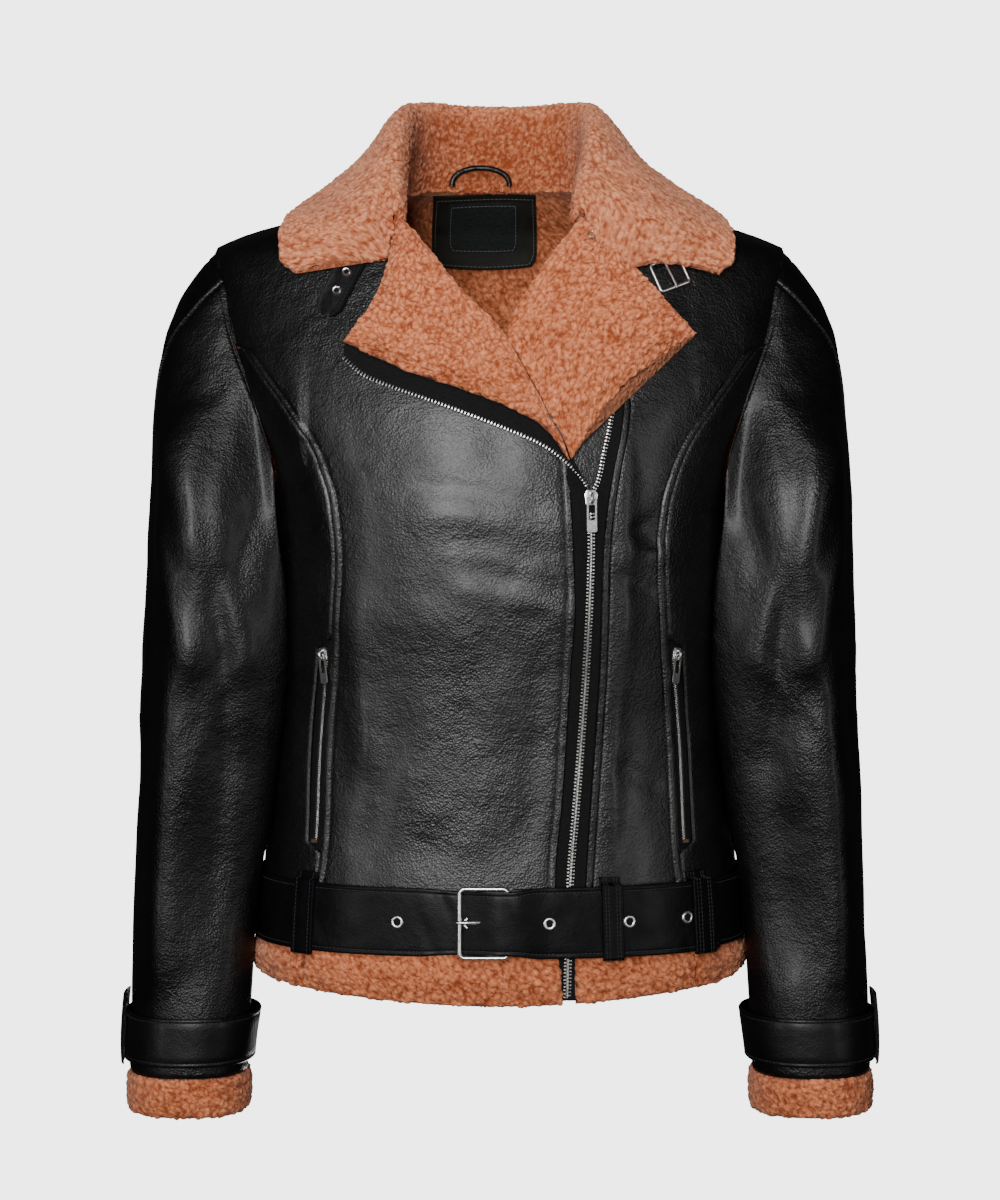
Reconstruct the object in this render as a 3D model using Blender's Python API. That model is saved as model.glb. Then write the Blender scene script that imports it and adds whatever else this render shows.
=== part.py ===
"""A women's zipped shearling jacket, filled out with nobody in it.

The jacket hangs in its worn shape with the front facing -Y, +Z up and the wearer's left at +X.
The origin lies inside the neck, at the height of the back neck seam. Lengths below are in
millimetres and become metres where a mesh is made. The body is a stack of level rings, each a
rounded oval whose size is read from TORSO. Panels are patches of that surface between seam lines.
"""

import math

import bpy
import numpy as np

MM = 0.001
TAU = 2 * math.pi

# Walls and gaps
BODY_WALL = 5.5
SLEEVE_WALL = 4.5
COLLAR_WALL = 7.0
RIGHT_LAPEL_WALL = 10.0
LEFT_LAPEL_WALL = 7.6
SEAM = 0.3
LAID_GAP = 0.7

# Levels
NECK_TOP = -6.0
SHOULDER_POINT = -51.0
PRINCESS_TOP = -122.0
UNDERARM = -242.0
PANEL_END = -550.0
HEM_SIDE = -578.0
HEM_FRONT_DROP = 14.0
HEM_BACK_DROP = 5.0
HEM_SIDE_X = 141.0
HEM_SHARES = (0.0, 0.16, 0.55, 1.0)
HEM_CROWN = (0.3, 0.6, 3.2, 1.2)
HEM_GAP_TURN = 0.003
CUFF_EDGE = -655.0
CUFF_FLEECE_END = -685.0


class Table:
    """Rows of sizes under named columns, read as smooth curves over the first column."""

    def __init__(self, columns, rows):
        self.columns = columns.split()
        self.rows = np.array(sorted(rows), float)

    def read(self, column, at):
        """The named column at each value of the first one, on a curve that never overshoots."""
        key = self.rows[:, 0]
        value = self.rows[:, self.columns.index(column)]
        at = np.clip(np.asarray(at, float), key[0], key[-1])
        step = np.diff(key)
        rise = np.diff(value) / step
        slope = np.empty(len(key))
        slope[0], slope[-1] = rise[0], rise[-1]
        before, after = rise[:-1], rise[1:]
        same_way = before * after > 0
        safe_before = np.where(same_way, before, 1.0)
        safe_after = np.where(same_way, after, 1.0)
        mean = 2 / (1 / safe_before + 1 / safe_after)
        slope[1:-1] = np.where(same_way, mean, 0.0)
        index = np.clip(np.searchsorted(key, at) - 1, 0, len(key) - 2)
        t = (at - key[index]) / step[index]
        start, end = value[index], value[index + 1]
        lead, trail = slope[index] * step[index], slope[index + 1] * step[index]
        return (
            start * (1 + 2 * t) * (1 - t) ** 2
            + lead * t * (1 - t) ** 2
            + end * t * t * (3 - 2 * t)
            + trail * t * t * (t - 1)
        )


# The body's rings: half width, depth to the front and to the back of the ring's middle
TORSO = Table(
    "z half_width front back middle power",
    [
        (60, 62, 46, 66, 2, 2.0),
        (0, 66, 46, 70, 2, 2.1),
        (-10, 90, 55, 77, 2, 2.2),
        (-20, 117, 62, 82, 2, 2.3),
        (-28, 141, 67, 87, 2, 2.35),
        (-35, 166, 71, 91, 2, 2.4),
        (-43, 191, 75, 94, 2, 2.4),
        (-52, 209, 79, 97, 2, 2.4),
        (-70, 212, 86, 101, 2, 2.4),
        (-90, 211, 93, 104, 2, 2.4),
        (-112, 208, 101, 107, 2, 2.4),
        (-140, 200, 109, 110, 1, 2.4),
        (-170, 190, 115, 112, 0, 2.4),
        (-204, 179, 120, 112, 0, 2.4),
        (-242, 171, 123, 110, 0, 2.4),
        (-300, 165, 122, 104, 0, 2.4),
        (-360, 163, 117, 99, 0, 2.4),
        (-420, 167, 114, 98, 0, 2.4),
        (-480, 173, 114, 101, 0, 2.4),
        (-533, 178, 116, 105, 0, 2.4),
        (-595, 182, 118, 108, 0, 2.4),
    ],
)

# The right front's edge: neck, roll line, then the ridge beside the zip
RIGHT_EDGE = Table(
    "z x",
    [
        (0, -77),
        (-15, -77),
        (-28, -75),
        (-36, -67),
        (-48, -55),
        (-72, -36),
        (-98, -12),
        (-112, 3),
        (-142, 21),
        (-170, 36),
        (-198, 49),
        (-212, 50),
        (-245, 52),
        (-300, 54),
        (-350, 51),
        (-400, 48),
        (-440, 45.5),
        (-500, 40.5),
        (-595, 40),
    ],
)

# The left front's edge: neck, roll line, then out under its lapel to the piped edge
LEFT_EDGE = Table(
    "z x",
    [
        (0, 72),
        (-15, 69),
        (-26, 63),
        (-34, 57),
        (-48, 44),
        (-72, 27),
        (-98, 11),
        (-112, 5),
        (-120, 11),
        (-142, 27),
        (-156, 87),
        (-177, 85),
        (-205, 80),
        (-236, 75.5),
        (-266, 73),
        (-300, 72),
        (-350, 70.5),
        (-392, 68),
        (-452, 64),
        (-503, 61),
        (-595, 56),
    ],
)

# The line on which the closed zip's two rows of teeth meet
ZIP_LINE = Table(
    "z x", [(-222, 64), (-260, 65), (-300, 64), (-360, 61), (-450, 54.5), (-503, 50.4), (-595, 48)]
)

# The side-front seam, the same on both sides
PRINCESS = Table(
    "z x",
    [
        (-122, 185.5),
        (-141, 171),
        (-162, 155),
        (-187, 138),
        (-208, 128.5),
        (-231, 122),
        (-272, 118.5),
        (-317, 120.5),
        (-339, 121.5),
        (-413, 127),
        (-478, 130),
        (-560, 141),
        (-595, 142),
    ],
)
POCKET_TOP = -328.0
POCKET_END = -486.0
POCKET_WIDTH = 10.0
POCKET_RAMP = 8.0
LEAST_TURN = 0.01

# The armhole in side view, from the shoulder point down the front and up the back
ARMHOLE = (
    (5, -51),
    (-20, -57),
    (-34, -72),
    (-41, -92),
    (-47, -113),
    (-55, -140),
    (-63, -170),
    (-67, -200),
    (-61, -224),
    (-37, -238),
    (0, -242),
    (36, -237),
    (58, -219),
    (66, -190),
    (65, -155),
    (58, -120),
    (48, -90),
    (35, -66),
    (21, -55),
)
ARMHOLE_MIDDLE = (2, -146)

# The left sleeve's level sections; the right one mirrors them
SLEEVE = Table(
    "z outer inner front back",
    [
        (-51, 209, 150, -50, 56),
        (-59, 216, 149, -53, 59),
        (-73, 227, 148, -58, 63),
        (-87, 236, 147, -62, 66),
        (-99, 241, 146, -65, 67),
        (-115, 247, 144, -68, 67),
        (-140, 251, 142, -71, 66),
        (-203, 256, 139, -77, 60),
        (-283, 260, 139, -80, 48),
        (-340, 263, 143, -80, 42),
        (-385, 265, 150, -78, 39),
        (-461, 268, 163, -73, 36),
        (-538, 271, 174, -70, 33),
        (-603, 273, 180, -68, 31),
        (-655, 275, 186, -68, 31),
        (-690, 275, 187, -67, 30),
    ],
)
SLEEVE_POWER = 2.35
SLEEVE_BLEND = 105.0
SLEEVE_CLEARANCE = 2.0
BELT_CLEARANCE = 4.2
ARMHOLE_GAP = 2.1
ARMHOLE_LIFT = 1.2
OUTER_SEAM_TOP = 26.0
OUTER_SEAM_CUFF = -34.0
INNER_SEAM = 168.0

# Cuffs: distances off the sleeve's surface to the inside and the outside of each piece
BAND_COLUMNS = 20
CUFF_FLEECE = (-8.0, 0.5)
CUFF_STRAP = (1.4, 3.6)
CUFF_STRAP_HEIGHTS = (-610.0, -646.0)
TAB_HALF_ANGLE = 20.0
TAB_TOP = -598.0
TAB_END = -650.0
TAB_LIFT = 4.1
TAB_BOW = 1.2
TAB_WALL = 1.8

# Soft ridges of the cloth, in the surface's own width and height: from, to, half width, height
SLEEVE_FOLDS = (
    {"start": (62, -96), "end": (95, -168), "width": 11, "height": 3.5},
    {"start": (52, -178), "end": (74, -262), "width": 15, "height": 4.0},
    {"start": (74, -262), "end": (112, -352), "width": 15, "height": 3.5},
    {"start": (112, -232), "end": (84, -330), "width": 12, "height": -3.0},
    {"start": (66, -360), "end": (120, -430), "width": 18, "height": -2.5},
    {"start": (228, -250), "end": (262, -330), "width": 17, "height": 3.5},
    {"start": (262, -340), "end": (236, -420), "width": 16, "height": 3.0},
    {"start": (300, -290), "end": (322, -370), "width": 15, "height": -2.5},
)
BODY_FOLDS = (
    {"start": (-66, -216), "end": (40, -232), "width": 9, "height": -2.4},
    {"start": (-40, -252), "end": (44, -268), "width": 10, "height": -2.0},
    {"start": (88, -170), "end": (90, -330), "width": 9, "height": 2.2},
    {"start": (84, -330), "end": (78, -480), "width": 9, "height": 1.8},
    {"start": (100, -244), "end": (112, -262), "width": 10, "height": -2.0},
    {"start": (-104, -300), "end": (-96, -420), "width": 13, "height": 2.0},
)

# The collar's stations, from the middle of the back to the gorge on the right side
COLLAR = Table(
    "station neck_x neck_y neck_z roll_x roll_y roll_z bend_x bend_y bend_z edge_x edge_y edge_z"
    " radius left_roll left_bend left_edge left_bend_up",
    [
        (0.00, 0, 68, -5, 0, 80, 55, 0, 112, 24, 0, 116, -40, 11, 0, 0, 0, 0),
        (0.14, 25, 67, -5, 29, 78, 56, 36, 110, 25, 44, 115, -40, 11, 0, 0, 0, 0),
        (0.28, 47, 59, -5.2, 53, 66, 58, 70, 94, 26, 91, 98, -37, 11, -1, 0, 0, 0),
        (0.42, 61, 41, -6, 67, 43, 56, 95, 62, 22, 127, 66, -28, 11, -2, 2, 2, 0),
        (0.56, 67, 15, -7, 71, 14, 48, 103, 24, 15, 146, 22, -22, 11, -4, 2, 6, 0),
        (0.70, 68.5, -12, -10, 73, -14, 34, 107, -16, 3, 155, -26, -29, 10, -7, 2, 9, 0),
        (0.84, 69, -34, -16, 74, -40, 11, 106, -56, -11, 160, -64, -43, 10, -12, 2, 10, 1),
        (0.93, 68, -50, -23, 74, -57, -6, 98, -77, -27, 159, -75, -56, 9, -16, 5, 10, 1),
        (1.00, 67.5, -59, -29, 74, -69, -24, 84, -82, -46, 147, -80, -67, 8, -18, 4, 10, -5),
    ],
)
COLLAR_CLEARANCE = 5.0
STAND_STATIONS = np.linspace(0, 0.4, 9)

# The hanger loop inside the back neck
LOOP_MIDDLE_X = -14.5
LOOP_HALF_WIDTH = 21.5
LOOP_FOOT_Z = -3.2
LOOP_RISE = 13.5
LOOP_RADIUS = 2.1

# The leather patch inside the back neck: its width, its heights and its distances off the surface
PATCH_X = (-52.0, 28.0)
PATCH_Z = (-5.0, -62.0)
PATCH_BOW = 2.0
PATCH_OUT = (-BODY_WALL - 2.6, -BODY_WALL - 0.8)

# Lapel corners on the front, as x and z: gorge, notch, tip and end of each
RIGHT_LAPEL = {"notch": (-80, -57.5), "tip": (-111, -116), "end": (50, -199)}
LEFT_LAPEL = {"notch": (90, -57), "tip": (139, -111), "end": (52, -199)}
V_POINT = -112.0
LAPEL_OVERHANG = 2.0
LAPEL_STEP = 1.3
RIGHT_LAPEL_TOP = -34.0
LEFT_LAPEL_TOP = -32.0
RIGHT_LAPEL_HOLLOW = 5.0
LEFT_LAPEL_HOLLOW = 10.0

# The right zip band along the lapel's lower edge, and the line of its teeth
BAND_TOP = Table(
    "x z", [(-111, -117), (-70, -136), (-27, -150), (3, -161), (28, -174), (43, -186), (51, -200)]
)
BAND_TEETH = Table(
    "x z",
    [
        (-112, -127),
        (-98, -139),
        (-80, -147),
        (-41, -160.5),
        (3, -177),
        (31, -189.5),
        (51, -205),
        (59, -213.5),
        (64, -222),
    ],
)
LEFT_TEETH = Table("z x", [(-160, 81), (-177, 78), (-194, 74.5), (-214, 70.5), (-222, 66.5)])
BAND_LOWER = Table("z x", [(-207, 55.5), (-214, 59), (-222, 64)])

# The zip: how far each layer of it lies off the fronts' surface
BAND_OUT = 3.0
BAND_TOP_X = (-110.0, 50.6)
BAND_TEETH_X = (-111.0, 60.0)
ZIP_MERGE = (-207.0, -214.0, -222.0, -232.0)
ZIP_START = -245.0
LEFT_TAPE_START = (-166.0, -180.0, -194.0, -208.0, -222.0, -232.0)
FLY_START = -160.0
TEETH_GAP = 0.3
BAND_DROP = 4.5
BAND_WALL = 1.6
LEFT_TAPE = (-3.1, -1.5)
FLY = (-5.4, -3.6)
ZIP_END = -588.0
ZIP_SLIDER_SEAT = (64.5, -226.0, -1.2)
POCKET_TAPE = (-4.2, -2.6)
POCKET_TAPE_MARGIN = 0.9
POCKET_SLIDER_SEAT = (127.5, -341.0, -1.9)
POCKET_SLIDER_LEAN = 9.0
POCKET_SLIDER_SCALE = 0.85
POCKET_STOP_Z = -477.0
POCKET_STOP_OUT = -2.3
POCKET_STOP = (5.2, 2.4, 1.8)
PULL_LENGTH = 24.0
PULL_HALF_WIDTH = 3.1
PULL_WIRE = 0.75
PULL_HEIGHT = 4.0

# A slider's plate outline, then the bridge over it and the room under the bridge, seen from the side
SLIDER_PLATE = ((-3.6, -5), (3.6, -5), (4.4, 2.5), (3.0, 5.5), (-3.0, 5.5), (-4.4, 2.5))
SLIDER_WALL = 2.4
BRIDGE_SIDE = ((-3.4, 2.0), (3.4, 2.0), (3.4, 5.6), (2.4, 6.8), (-2.4, 6.8), (-3.4, 5.6))
BRIDGE_ROOM = ((-2.2, 2.45), (2.2, 2.45), (2.2, 4.9), (1.6, 5.5), (-1.6, 5.5), (-2.2, 4.9))
BRIDGE_HALF_WIDTH = 0.95
PULL_CORNER = 1.3
PULL_DROP = 0.6
POCKET_PULL_DROP = 1.8

# Belt
BELT_TOP = -508.0
BELT_END = -554.0
BELT_WALL = 2.6
BELT_SETTING = 1.2
BELT_STEPS = 66
BELT_LAYER_GAP = 0.6
BELT_BRIDGE_GAP = 1.5
BELT_EASE = 1.4
BUCKLE_X = (-29.0, 6.0)
BUCKLE_WIRE = 1.25
BUCKLE_GAP = 0.45
BUCKLE_OVERHANG = 0.6
BELT_PRONG_WIRE = 1.15
BELT_PRONG_RISE = 1.0
BELT_PRONG = ((-6.0, 1.6), (-9.0, 2.2), (-13.0, 2.75), (-19.9, 2.75))
BELT_TIP_X = 152.0
BELT_LOOPS = {"belt_loop_right": -140.0, "belt_loop_left": 79.0, "belt_loop_side": 143.0}
BACK_LOOPS = {"belt_loop_back_right": 222.0, "belt_loop_back_left": 138.0}
LOOP_WIDTH = 12.0
LOOP_WALL = 2.0
LOOP_GAP = 0.7
LOOP_REACH = 118.0
LOOP_ABOVE = ((9.0, 0.8), (5.0, 0.9), (2.2, 2.2))
LOOP_FLAT = (0.6, 15.0, 31.0, 46.6)
LOOP_BELOW = (2.0, 0.8)
EYELET_X = (-73.0, 35.0, 91.0, 131.5)
EYELET_RADIUS = 4.7
EYELET_HOLE = 2.6
EYELET_WALL = 0.8
EYELET_GAP = 0.35
EYELET_DRAW = 0.4

# Collar fastening: seats on the front as x and z, leans in degrees
STRAP_SEAT = (-112.0, -72.0)
STRAP_LEAN = 24.0
STRAP_WALL = 2.2
STRAP_WIDTH = 20.0
STRAP_RUN = (20.0, -29.0)
STRAP_EYELETS = (5.5, -9.5)
STRAP_EYELET_RADIUS = 3.4
STRAP_EYELET_HOLE = 1.7
COLLAR_BUCKLE_SEAT = (121.0, -68.5)
COLLAR_BUCKLE_LEAN = -20.0
COLLAR_BUCKLE_HALF = (11.5, 10.5)
COLLAR_BUCKLE_WIRE = 1.1
BUCKLE_STRAP_WALL = 1.3
BUCKLE_STRAP_WIDTH = 15.0
BUCKLE_STRAP_RUN = (24.0, 7.0)
PRONG_WIRE = 0.9
HOOK_SEAT = (65.0, -43.0)
HOOK_WIRE = 0.55
HOOK_SINK = 1.1
HOOK_RADIUS = 2.4
HOOK_ARC = (36.0, 306.0)
HOOK_SHANK = ((-0.2, -4.4, 0.0), (-1.0, -6.5, 0.0))
HOOK_LEAN = -30.0

# Materials: base colour, roughness and metallic of each
FINISHES = {
    "leather": ((0.012, 0.012, 0.013), 0.38, 0.0),
    "belt_leather": ((0.014, 0.014, 0.015), 0.46, 0.0),
    "fleece": ((0.60, 0.27, 0.16), 0.95, 0.0),
    "zip_tape": ((0.012, 0.012, 0.012), 0.85, 0.0),
    "metal": ((0.62, 0.62, 0.61), 0.24, 1.0),
    "patch": ((0.02, 0.02, 0.021), 0.6, 0.0),
}


def clear_scene():
    """Remove everything that the file starts with."""
    for obj in list(bpy.data.objects):
        bpy.data.objects.remove(obj, do_unlink=True)


def finish(name):
    """The material of that name, made the first time it is asked for."""
    material = bpy.data.materials.get(name)
    if material is None:
        material = bpy.data.materials.new(name)
        material.use_nodes = True
        color, roughness, metallic = FINISHES[name]
        shader = material.node_tree.nodes["Principled BSDF"]
        shader.inputs["Base Color"].default_value = (*color, 1)
        shader.inputs["Roughness"].default_value = roughness
        shader.inputs["Metallic"].default_value = metallic
        material.diffuse_color = (*color, 1)
    return material


def add_piece(name, points, faces, material):
    """One closed piece from points in millimetres, turned so that its faces point out."""
    points = np.asarray(points, float) * MM
    volume = 0.0
    for face in faces:
        for k in range(1, len(face) - 1):
            volume += np.dot(points[face[0]], np.cross(points[face[k]], points[face[k + 1]]))
    if volume < 0:
        faces = [tuple(reversed(face)) for face in faces]
    mesh = bpy.data.meshes.new(name)
    mesh.from_pydata([tuple(point) for point in points], [], [tuple(map(int, face)) for face in faces])
    mesh.materials.append(finish(material))
    mesh.shade_smooth()
    mesh.set_sharp_from_angle(angle=math.radians(40))
    obj = bpy.data.objects.new(name, mesh)
    bpy.context.scene.collection.objects.link(obj)
    return obj


def add_shell(name, outer, inner, material, ring=False):
    """A wall between two grids of points; a ring's last column joins its first."""
    rows, columns = outer.shape[:2]
    points = np.concatenate([outer.reshape(-1, 3), inner.reshape(-1, 3)])
    lift = rows * columns
    last = columns if ring else columns - 1
    faces = []
    for i in range(rows - 1):
        for j in range(last):
            k = (j + 1) % columns
            a, b = i * columns + j, i * columns + k
            c, d = (i + 1) * columns + k, (i + 1) * columns + j
            faces.append((a, b, c, d))
            faces.append((lift + d, lift + c, lift + b, lift + a))
    for j in range(last):
        k = (j + 1) % columns
        end = (rows - 1) * columns
        faces.append((lift + j, lift + k, k, j))
        faces.append((end + j, end + k, lift + end + k, lift + end + j))
    if not ring:
        for i in range(rows - 1):
            a, d = i * columns, (i + 1) * columns
            b, c = a + columns - 1, d + columns - 1
            faces.append((a, d, lift + d, lift + a))
            faces.append((c, b, lift + b, lift + c))
    return add_piece(name, points, faces, material)


def add_tube(name, path, radius, material, sides=8, closed=False):
    """A round bar along a path, closed into a loop or with flat ends."""
    path = np.asarray(path, float)
    count = len(path)
    if closed:
        ahead = np.roll(path, -1, 0) - np.roll(path, 1, 0)
    else:
        ahead = np.gradient(path, axis=0)
    ahead /= np.linalg.norm(ahead, axis=1)[:, None]
    spread = path - path.mean(0)
    flat = np.linalg.svd(spread)[2][-1]
    across = np.cross(ahead, flat)
    across /= np.linalg.norm(across, axis=1)[:, None]
    up = np.cross(across, ahead)
    angle = np.arange(sides) * TAU / sides + TAU / (2 * sides)
    rings = (
        path[:, None]
        + radius * np.cos(angle)[None, :, None] * across[:, None]
        + radius * np.sin(angle)[None, :, None] * up[:, None]
    )
    points = rings.reshape(-1, 3)
    faces = []
    for i in range(count if closed else count - 1):
        for j in range(sides):
            k = (j + 1) % sides
            n = (i + 1) % count
            faces.append((i * sides + j, i * sides + k, n * sides + k, n * sides + j))
    if not closed:
        faces.append(tuple(range(sides - 1, -1, -1)))
        faces.append(tuple((count - 1) * sides + j for j in range(sides)))
    return add_piece(name, points, faces, material)


def ridges(folds, across, height):
    """The summed lift of the folds: a soft bell round each fold's line that fades at both ends."""
    across, height = np.broadcast_arrays(np.asarray(across, float), np.asarray(height, float))
    total = np.zeros(across.shape)
    for fold in folds:
        start, end = np.array(fold["start"], float), np.array(fold["end"], float)
        run = end - start
        length = np.linalg.norm(run)
        along = ((across - start[0]) * run[0] + (height - start[1]) * run[1]) / length
        aside = ((across - start[0]) * run[1] - (height - start[1]) * run[0]) / length
        beyond = np.maximum(0, np.abs(along - length / 2) - length / 3)
        total += fold["height"] * np.exp(-((aside / fold["width"]) ** 2) - (beyond / (length / 4)) ** 2)
    return total


def torso_level(z):
    """The sizes of the body's ring at height z."""
    return [TORSO.read(column, z) for column in ("half_width", "front", "back", "middle", "power")]


def torso_skin(turn, z):
    """The body's outer surface. turn is 0 at the front middle and a quarter turn at the wearer's left."""
    turn, z = np.broadcast_arrays(np.asarray(turn, float), np.asarray(z, float))
    half, front, back, middle, power = torso_level(z)
    side, ahead = np.sin(turn), np.cos(turn)
    depth = np.where(ahead > 0, front, back)
    reach = ((np.abs(side) / half) ** power + (np.abs(ahead) / depth) ** power) ** (-1 / power)
    x = reach * side
    lift = np.where(ahead > 0, ridges(BODY_FOLDS, x, z), 0.0)
    reach = reach + lift
    return np.stack([reach * side, middle - reach * ahead, z], -1)


def torso(turn, z, out=0.0):
    """A point of the body's surface, moved out along the surface's normal."""
    turn, z = np.broadcast_arrays(np.asarray(turn, float), np.asarray(z, float))
    here = torso_skin(turn, z)
    around = torso_skin(turn + 0.004, z) - torso_skin(turn - 0.004, z)
    upward = torso_skin(turn, z + 0.5) - torso_skin(turn, z - 0.5)
    normal = np.cross(around, upward)
    normal /= np.linalg.norm(normal, axis=-1)[..., None]
    out = np.broadcast_to(np.asarray(out, float), turn.shape)
    return here + out[..., None] * normal


def turn_at_x(x, z):
    """The turn at which the front of the ring at height z has that x."""
    half, front, _, _, power = torso_level(z)
    share = np.clip(np.abs(x) / half, 0, 1)
    ahead = front * (1 - share**power) ** (1 / power)
    return np.arctan2(x, ahead)


def turn_at_y(y, z):
    """The turn at which the left side of the ring at height z has that y."""
    half, front, back, middle, power = torso_level(z)
    away = np.asarray(y, float) - middle
    depth = np.where(away < 0, front, back)
    side = half * (1 - np.clip(np.abs(away) / depth, 0, 1) ** power) ** (1 / power)
    return np.arctan2(side, -away)


def on_front(x, z, out=0.0):
    """A point of the front by its x and height, moved out along the normal."""
    return torso(turn_at_x(x, z), z, out)


def ring_share(points):
    """How far out each point lies, as a share of the ring at its height: 1 on the surface."""
    x, y, z = np.moveaxis(points, -1, 0)
    half, front, back, middle, power = torso_level(z)
    away = y - middle
    depth = np.where(away < 0, front, back)
    return ((np.abs(x) / half) ** power + (np.abs(away) / depth) ** power) ** (1 / power)


def push_out(points, clearance):
    """Move the points that lie nearer the body than the clearance straight away from it."""
    points = np.array(points, float)
    for _ in range(6):
        share = ring_share(points)
        slope = np.empty(points.shape)
        for axis in range(3):
            step = np.zeros(3)
            step[axis] = 0.5
            slope[..., axis] = ring_share(points + step) - ring_share(points - step)
        size = np.linalg.norm(slope, axis=-1)
        distance = (share - 1) / np.maximum(size, 1e-6)
        short = np.maximum(0, clearance - distance)
        points += slope / np.maximum(size, 1e-6)[..., None] * short[..., None]
    return points


def spread_turns(first, last, z, count):
    """Turns from first to last on the ring at height z, at equal steps along the cloth."""
    fine = np.linspace(first, last, 81)
    walk = np.linalg.norm(np.diff(torso_skin(fine, z), axis=0), axis=1)
    walk = np.concatenate([[0], np.cumsum(walk)])
    return np.interp(np.linspace(0, walk[-1], count), walk, fine)


def armhole_loop(count, shrink=0.0):
    """The armhole as points evenly turned round its middle, as y and z."""
    rough = np.array(ARMHOLE, float)
    size = len(rough)
    at = np.linspace(0, size, 400, endpoint=False)
    index = at.astype(int)
    t = (at - index)[:, None]
    p0, p1, p2, p3 = (rough[(index + k) % size] for k in (-1, 0, 1, 2))
    fine = 0.5 * (
        2 * p1 + (p2 - p0) * t + (2 * p0 - 5 * p1 + 4 * p2 - p3) * t**2 + (3 * p1 - p0 - 3 * p2 + p3) * t**3
    )
    spoke = fine - np.array(ARMHOLE_MIDDLE)
    around = np.unwrap(np.arctan2(-spoke[:, 0], spoke[:, 1]))
    reach = np.linalg.norm(spoke, axis=1) - shrink
    order = np.argsort(around % TAU)
    angle = np.linspace(0, TAU, count, endpoint=False) if np.isscalar(count) else count % TAU
    reach = np.interp(angle, (around % TAU)[order], reach[order], period=TAU)
    y = ARMHOLE_MIDDLE[0] - reach * np.sin(angle)
    z = ARMHOLE_MIDDLE[1] + reach * np.cos(angle)
    return y, z


def armhole_turn(z, behind=False):
    """The turn of the armhole's front or back line at height z, on the left side."""
    y, height = armhole_loop(720, shrink=-0.5)
    half = slice(0, 361) if not behind else slice(360, 720)
    y, height = y[half], height[half]
    order = np.argsort(height)
    return turn_at_y(np.interp(z, height[order], y[order]), z)


def body_rows():
    """The heights at which every body panel has a row of points, so that seams match."""
    spans = ((NECK_TOP, -51, 6), (-51, -55, 2), (-55, -63, 2), (-63, -122, 4), (-122, -142, 2))
    spans += ((-142, -212, 4),)
    spans += ((-212, -232, 2), (-232, -242, 3), (-242, -328, 3), (-328, -336, 1), (-336, -478, 4))
    spans += ((-478, -486, 1), (-486, PANEL_END, 3))
    rows = [np.linspace(start, end, count, endpoint=False) for start, end, count in spans]
    return np.concatenate(rows + [[PANEL_END]])


def gap_turn(z):
    """Half a seam's gap as a turn on the ring at height z."""
    return 0.5 * SEAM / np.minimum(TORSO.read("front", z), TORSO.read("half_width", z))


def outer_line(z):
    """The outer edge of the middle front panels: shoulder seam, armhole, then side-front seam."""
    if z > SHOULDER_POINT:
        return TAU / 4
    if z > PRINCESS_TOP:
        return float(armhole_turn(z))
    return float(turn_at_x(PRINCESS.read("x", z), z))


def pocket_share(z):
    """How far the pocket's slit is open at height z, from 0 to 1."""
    ramp = min((POCKET_TOP - z) / POCKET_RAMP, (z - POCKET_END) / POCKET_RAMP)
    return float(np.clip(ramp, 0, 1))


def side_line(z):
    """The outer edge of the side panels: the armhole, then the side seam."""
    return float(armhole_turn(z)) if z > UNDERARM else TAU / 4


def panel(name, rows, lines, columns):
    """A body panel between two lines of turns, as a wall with its outer face on the surface."""
    turns = np.array([spread_turns(first, last, z, columns) for z, (first, last) in zip(rows, lines)])
    heights = np.repeat(rows[:, None], columns, 1)
    add_shell(name, torso(turns, heights), torso(turns, heights, -BODY_WALL), "leather")


def build_fronts(rows):
    """The two middle fronts, from the neck and roll line to the side-front seam."""
    lines = []
    for z in rows:
        edge = float(turn_at_x(RIGHT_EDGE.read("x", z), z)) - gap_turn(z)
        lines.append((-outer_line(z) + gap_turn(z), edge))
    panel("front_right", rows, lines, 10)
    lines = []
    for z in rows:
        edge = float(turn_at_x(LEFT_EDGE.read("x", z), z)) + gap_turn(z)
        lines.append((edge, outer_line(z) - gap_turn(z)))
    panel("front_left", rows, lines, 8)


def build_side_fronts(rows):
    """The side fronts, which leave a slit along the seam for the pocket zip."""
    rows = rows[rows < PRINCESS_TOP + 0.5]
    lines = []
    for z in rows:
        seam_x = PRINCESS.read("x", z) + POCKET_WIDTH * pocket_share(z)
        outer = side_line(z) - gap_turn(z)
        inner = min(float(turn_at_x(seam_x, z)) + gap_turn(z), outer - LEAST_TURN)
        lines.append((inner, outer))
    panel("side_front_left", rows, lines, 5)
    panel("side_front_right", rows, [(-last, -first) for first, last in lines], 5)


def build_back(rows):
    """The back in one panel, cut round both armholes."""
    lines = []
    for z in rows:
        edge = TAU / 4
        if UNDERARM < z < SHOULDER_POINT:
            edge = float(armhole_turn(z, behind=True))
        edge += gap_turn(z)
        lines.append((edge, TAU - edge))
    panel("back", rows, lines, 14)


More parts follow.
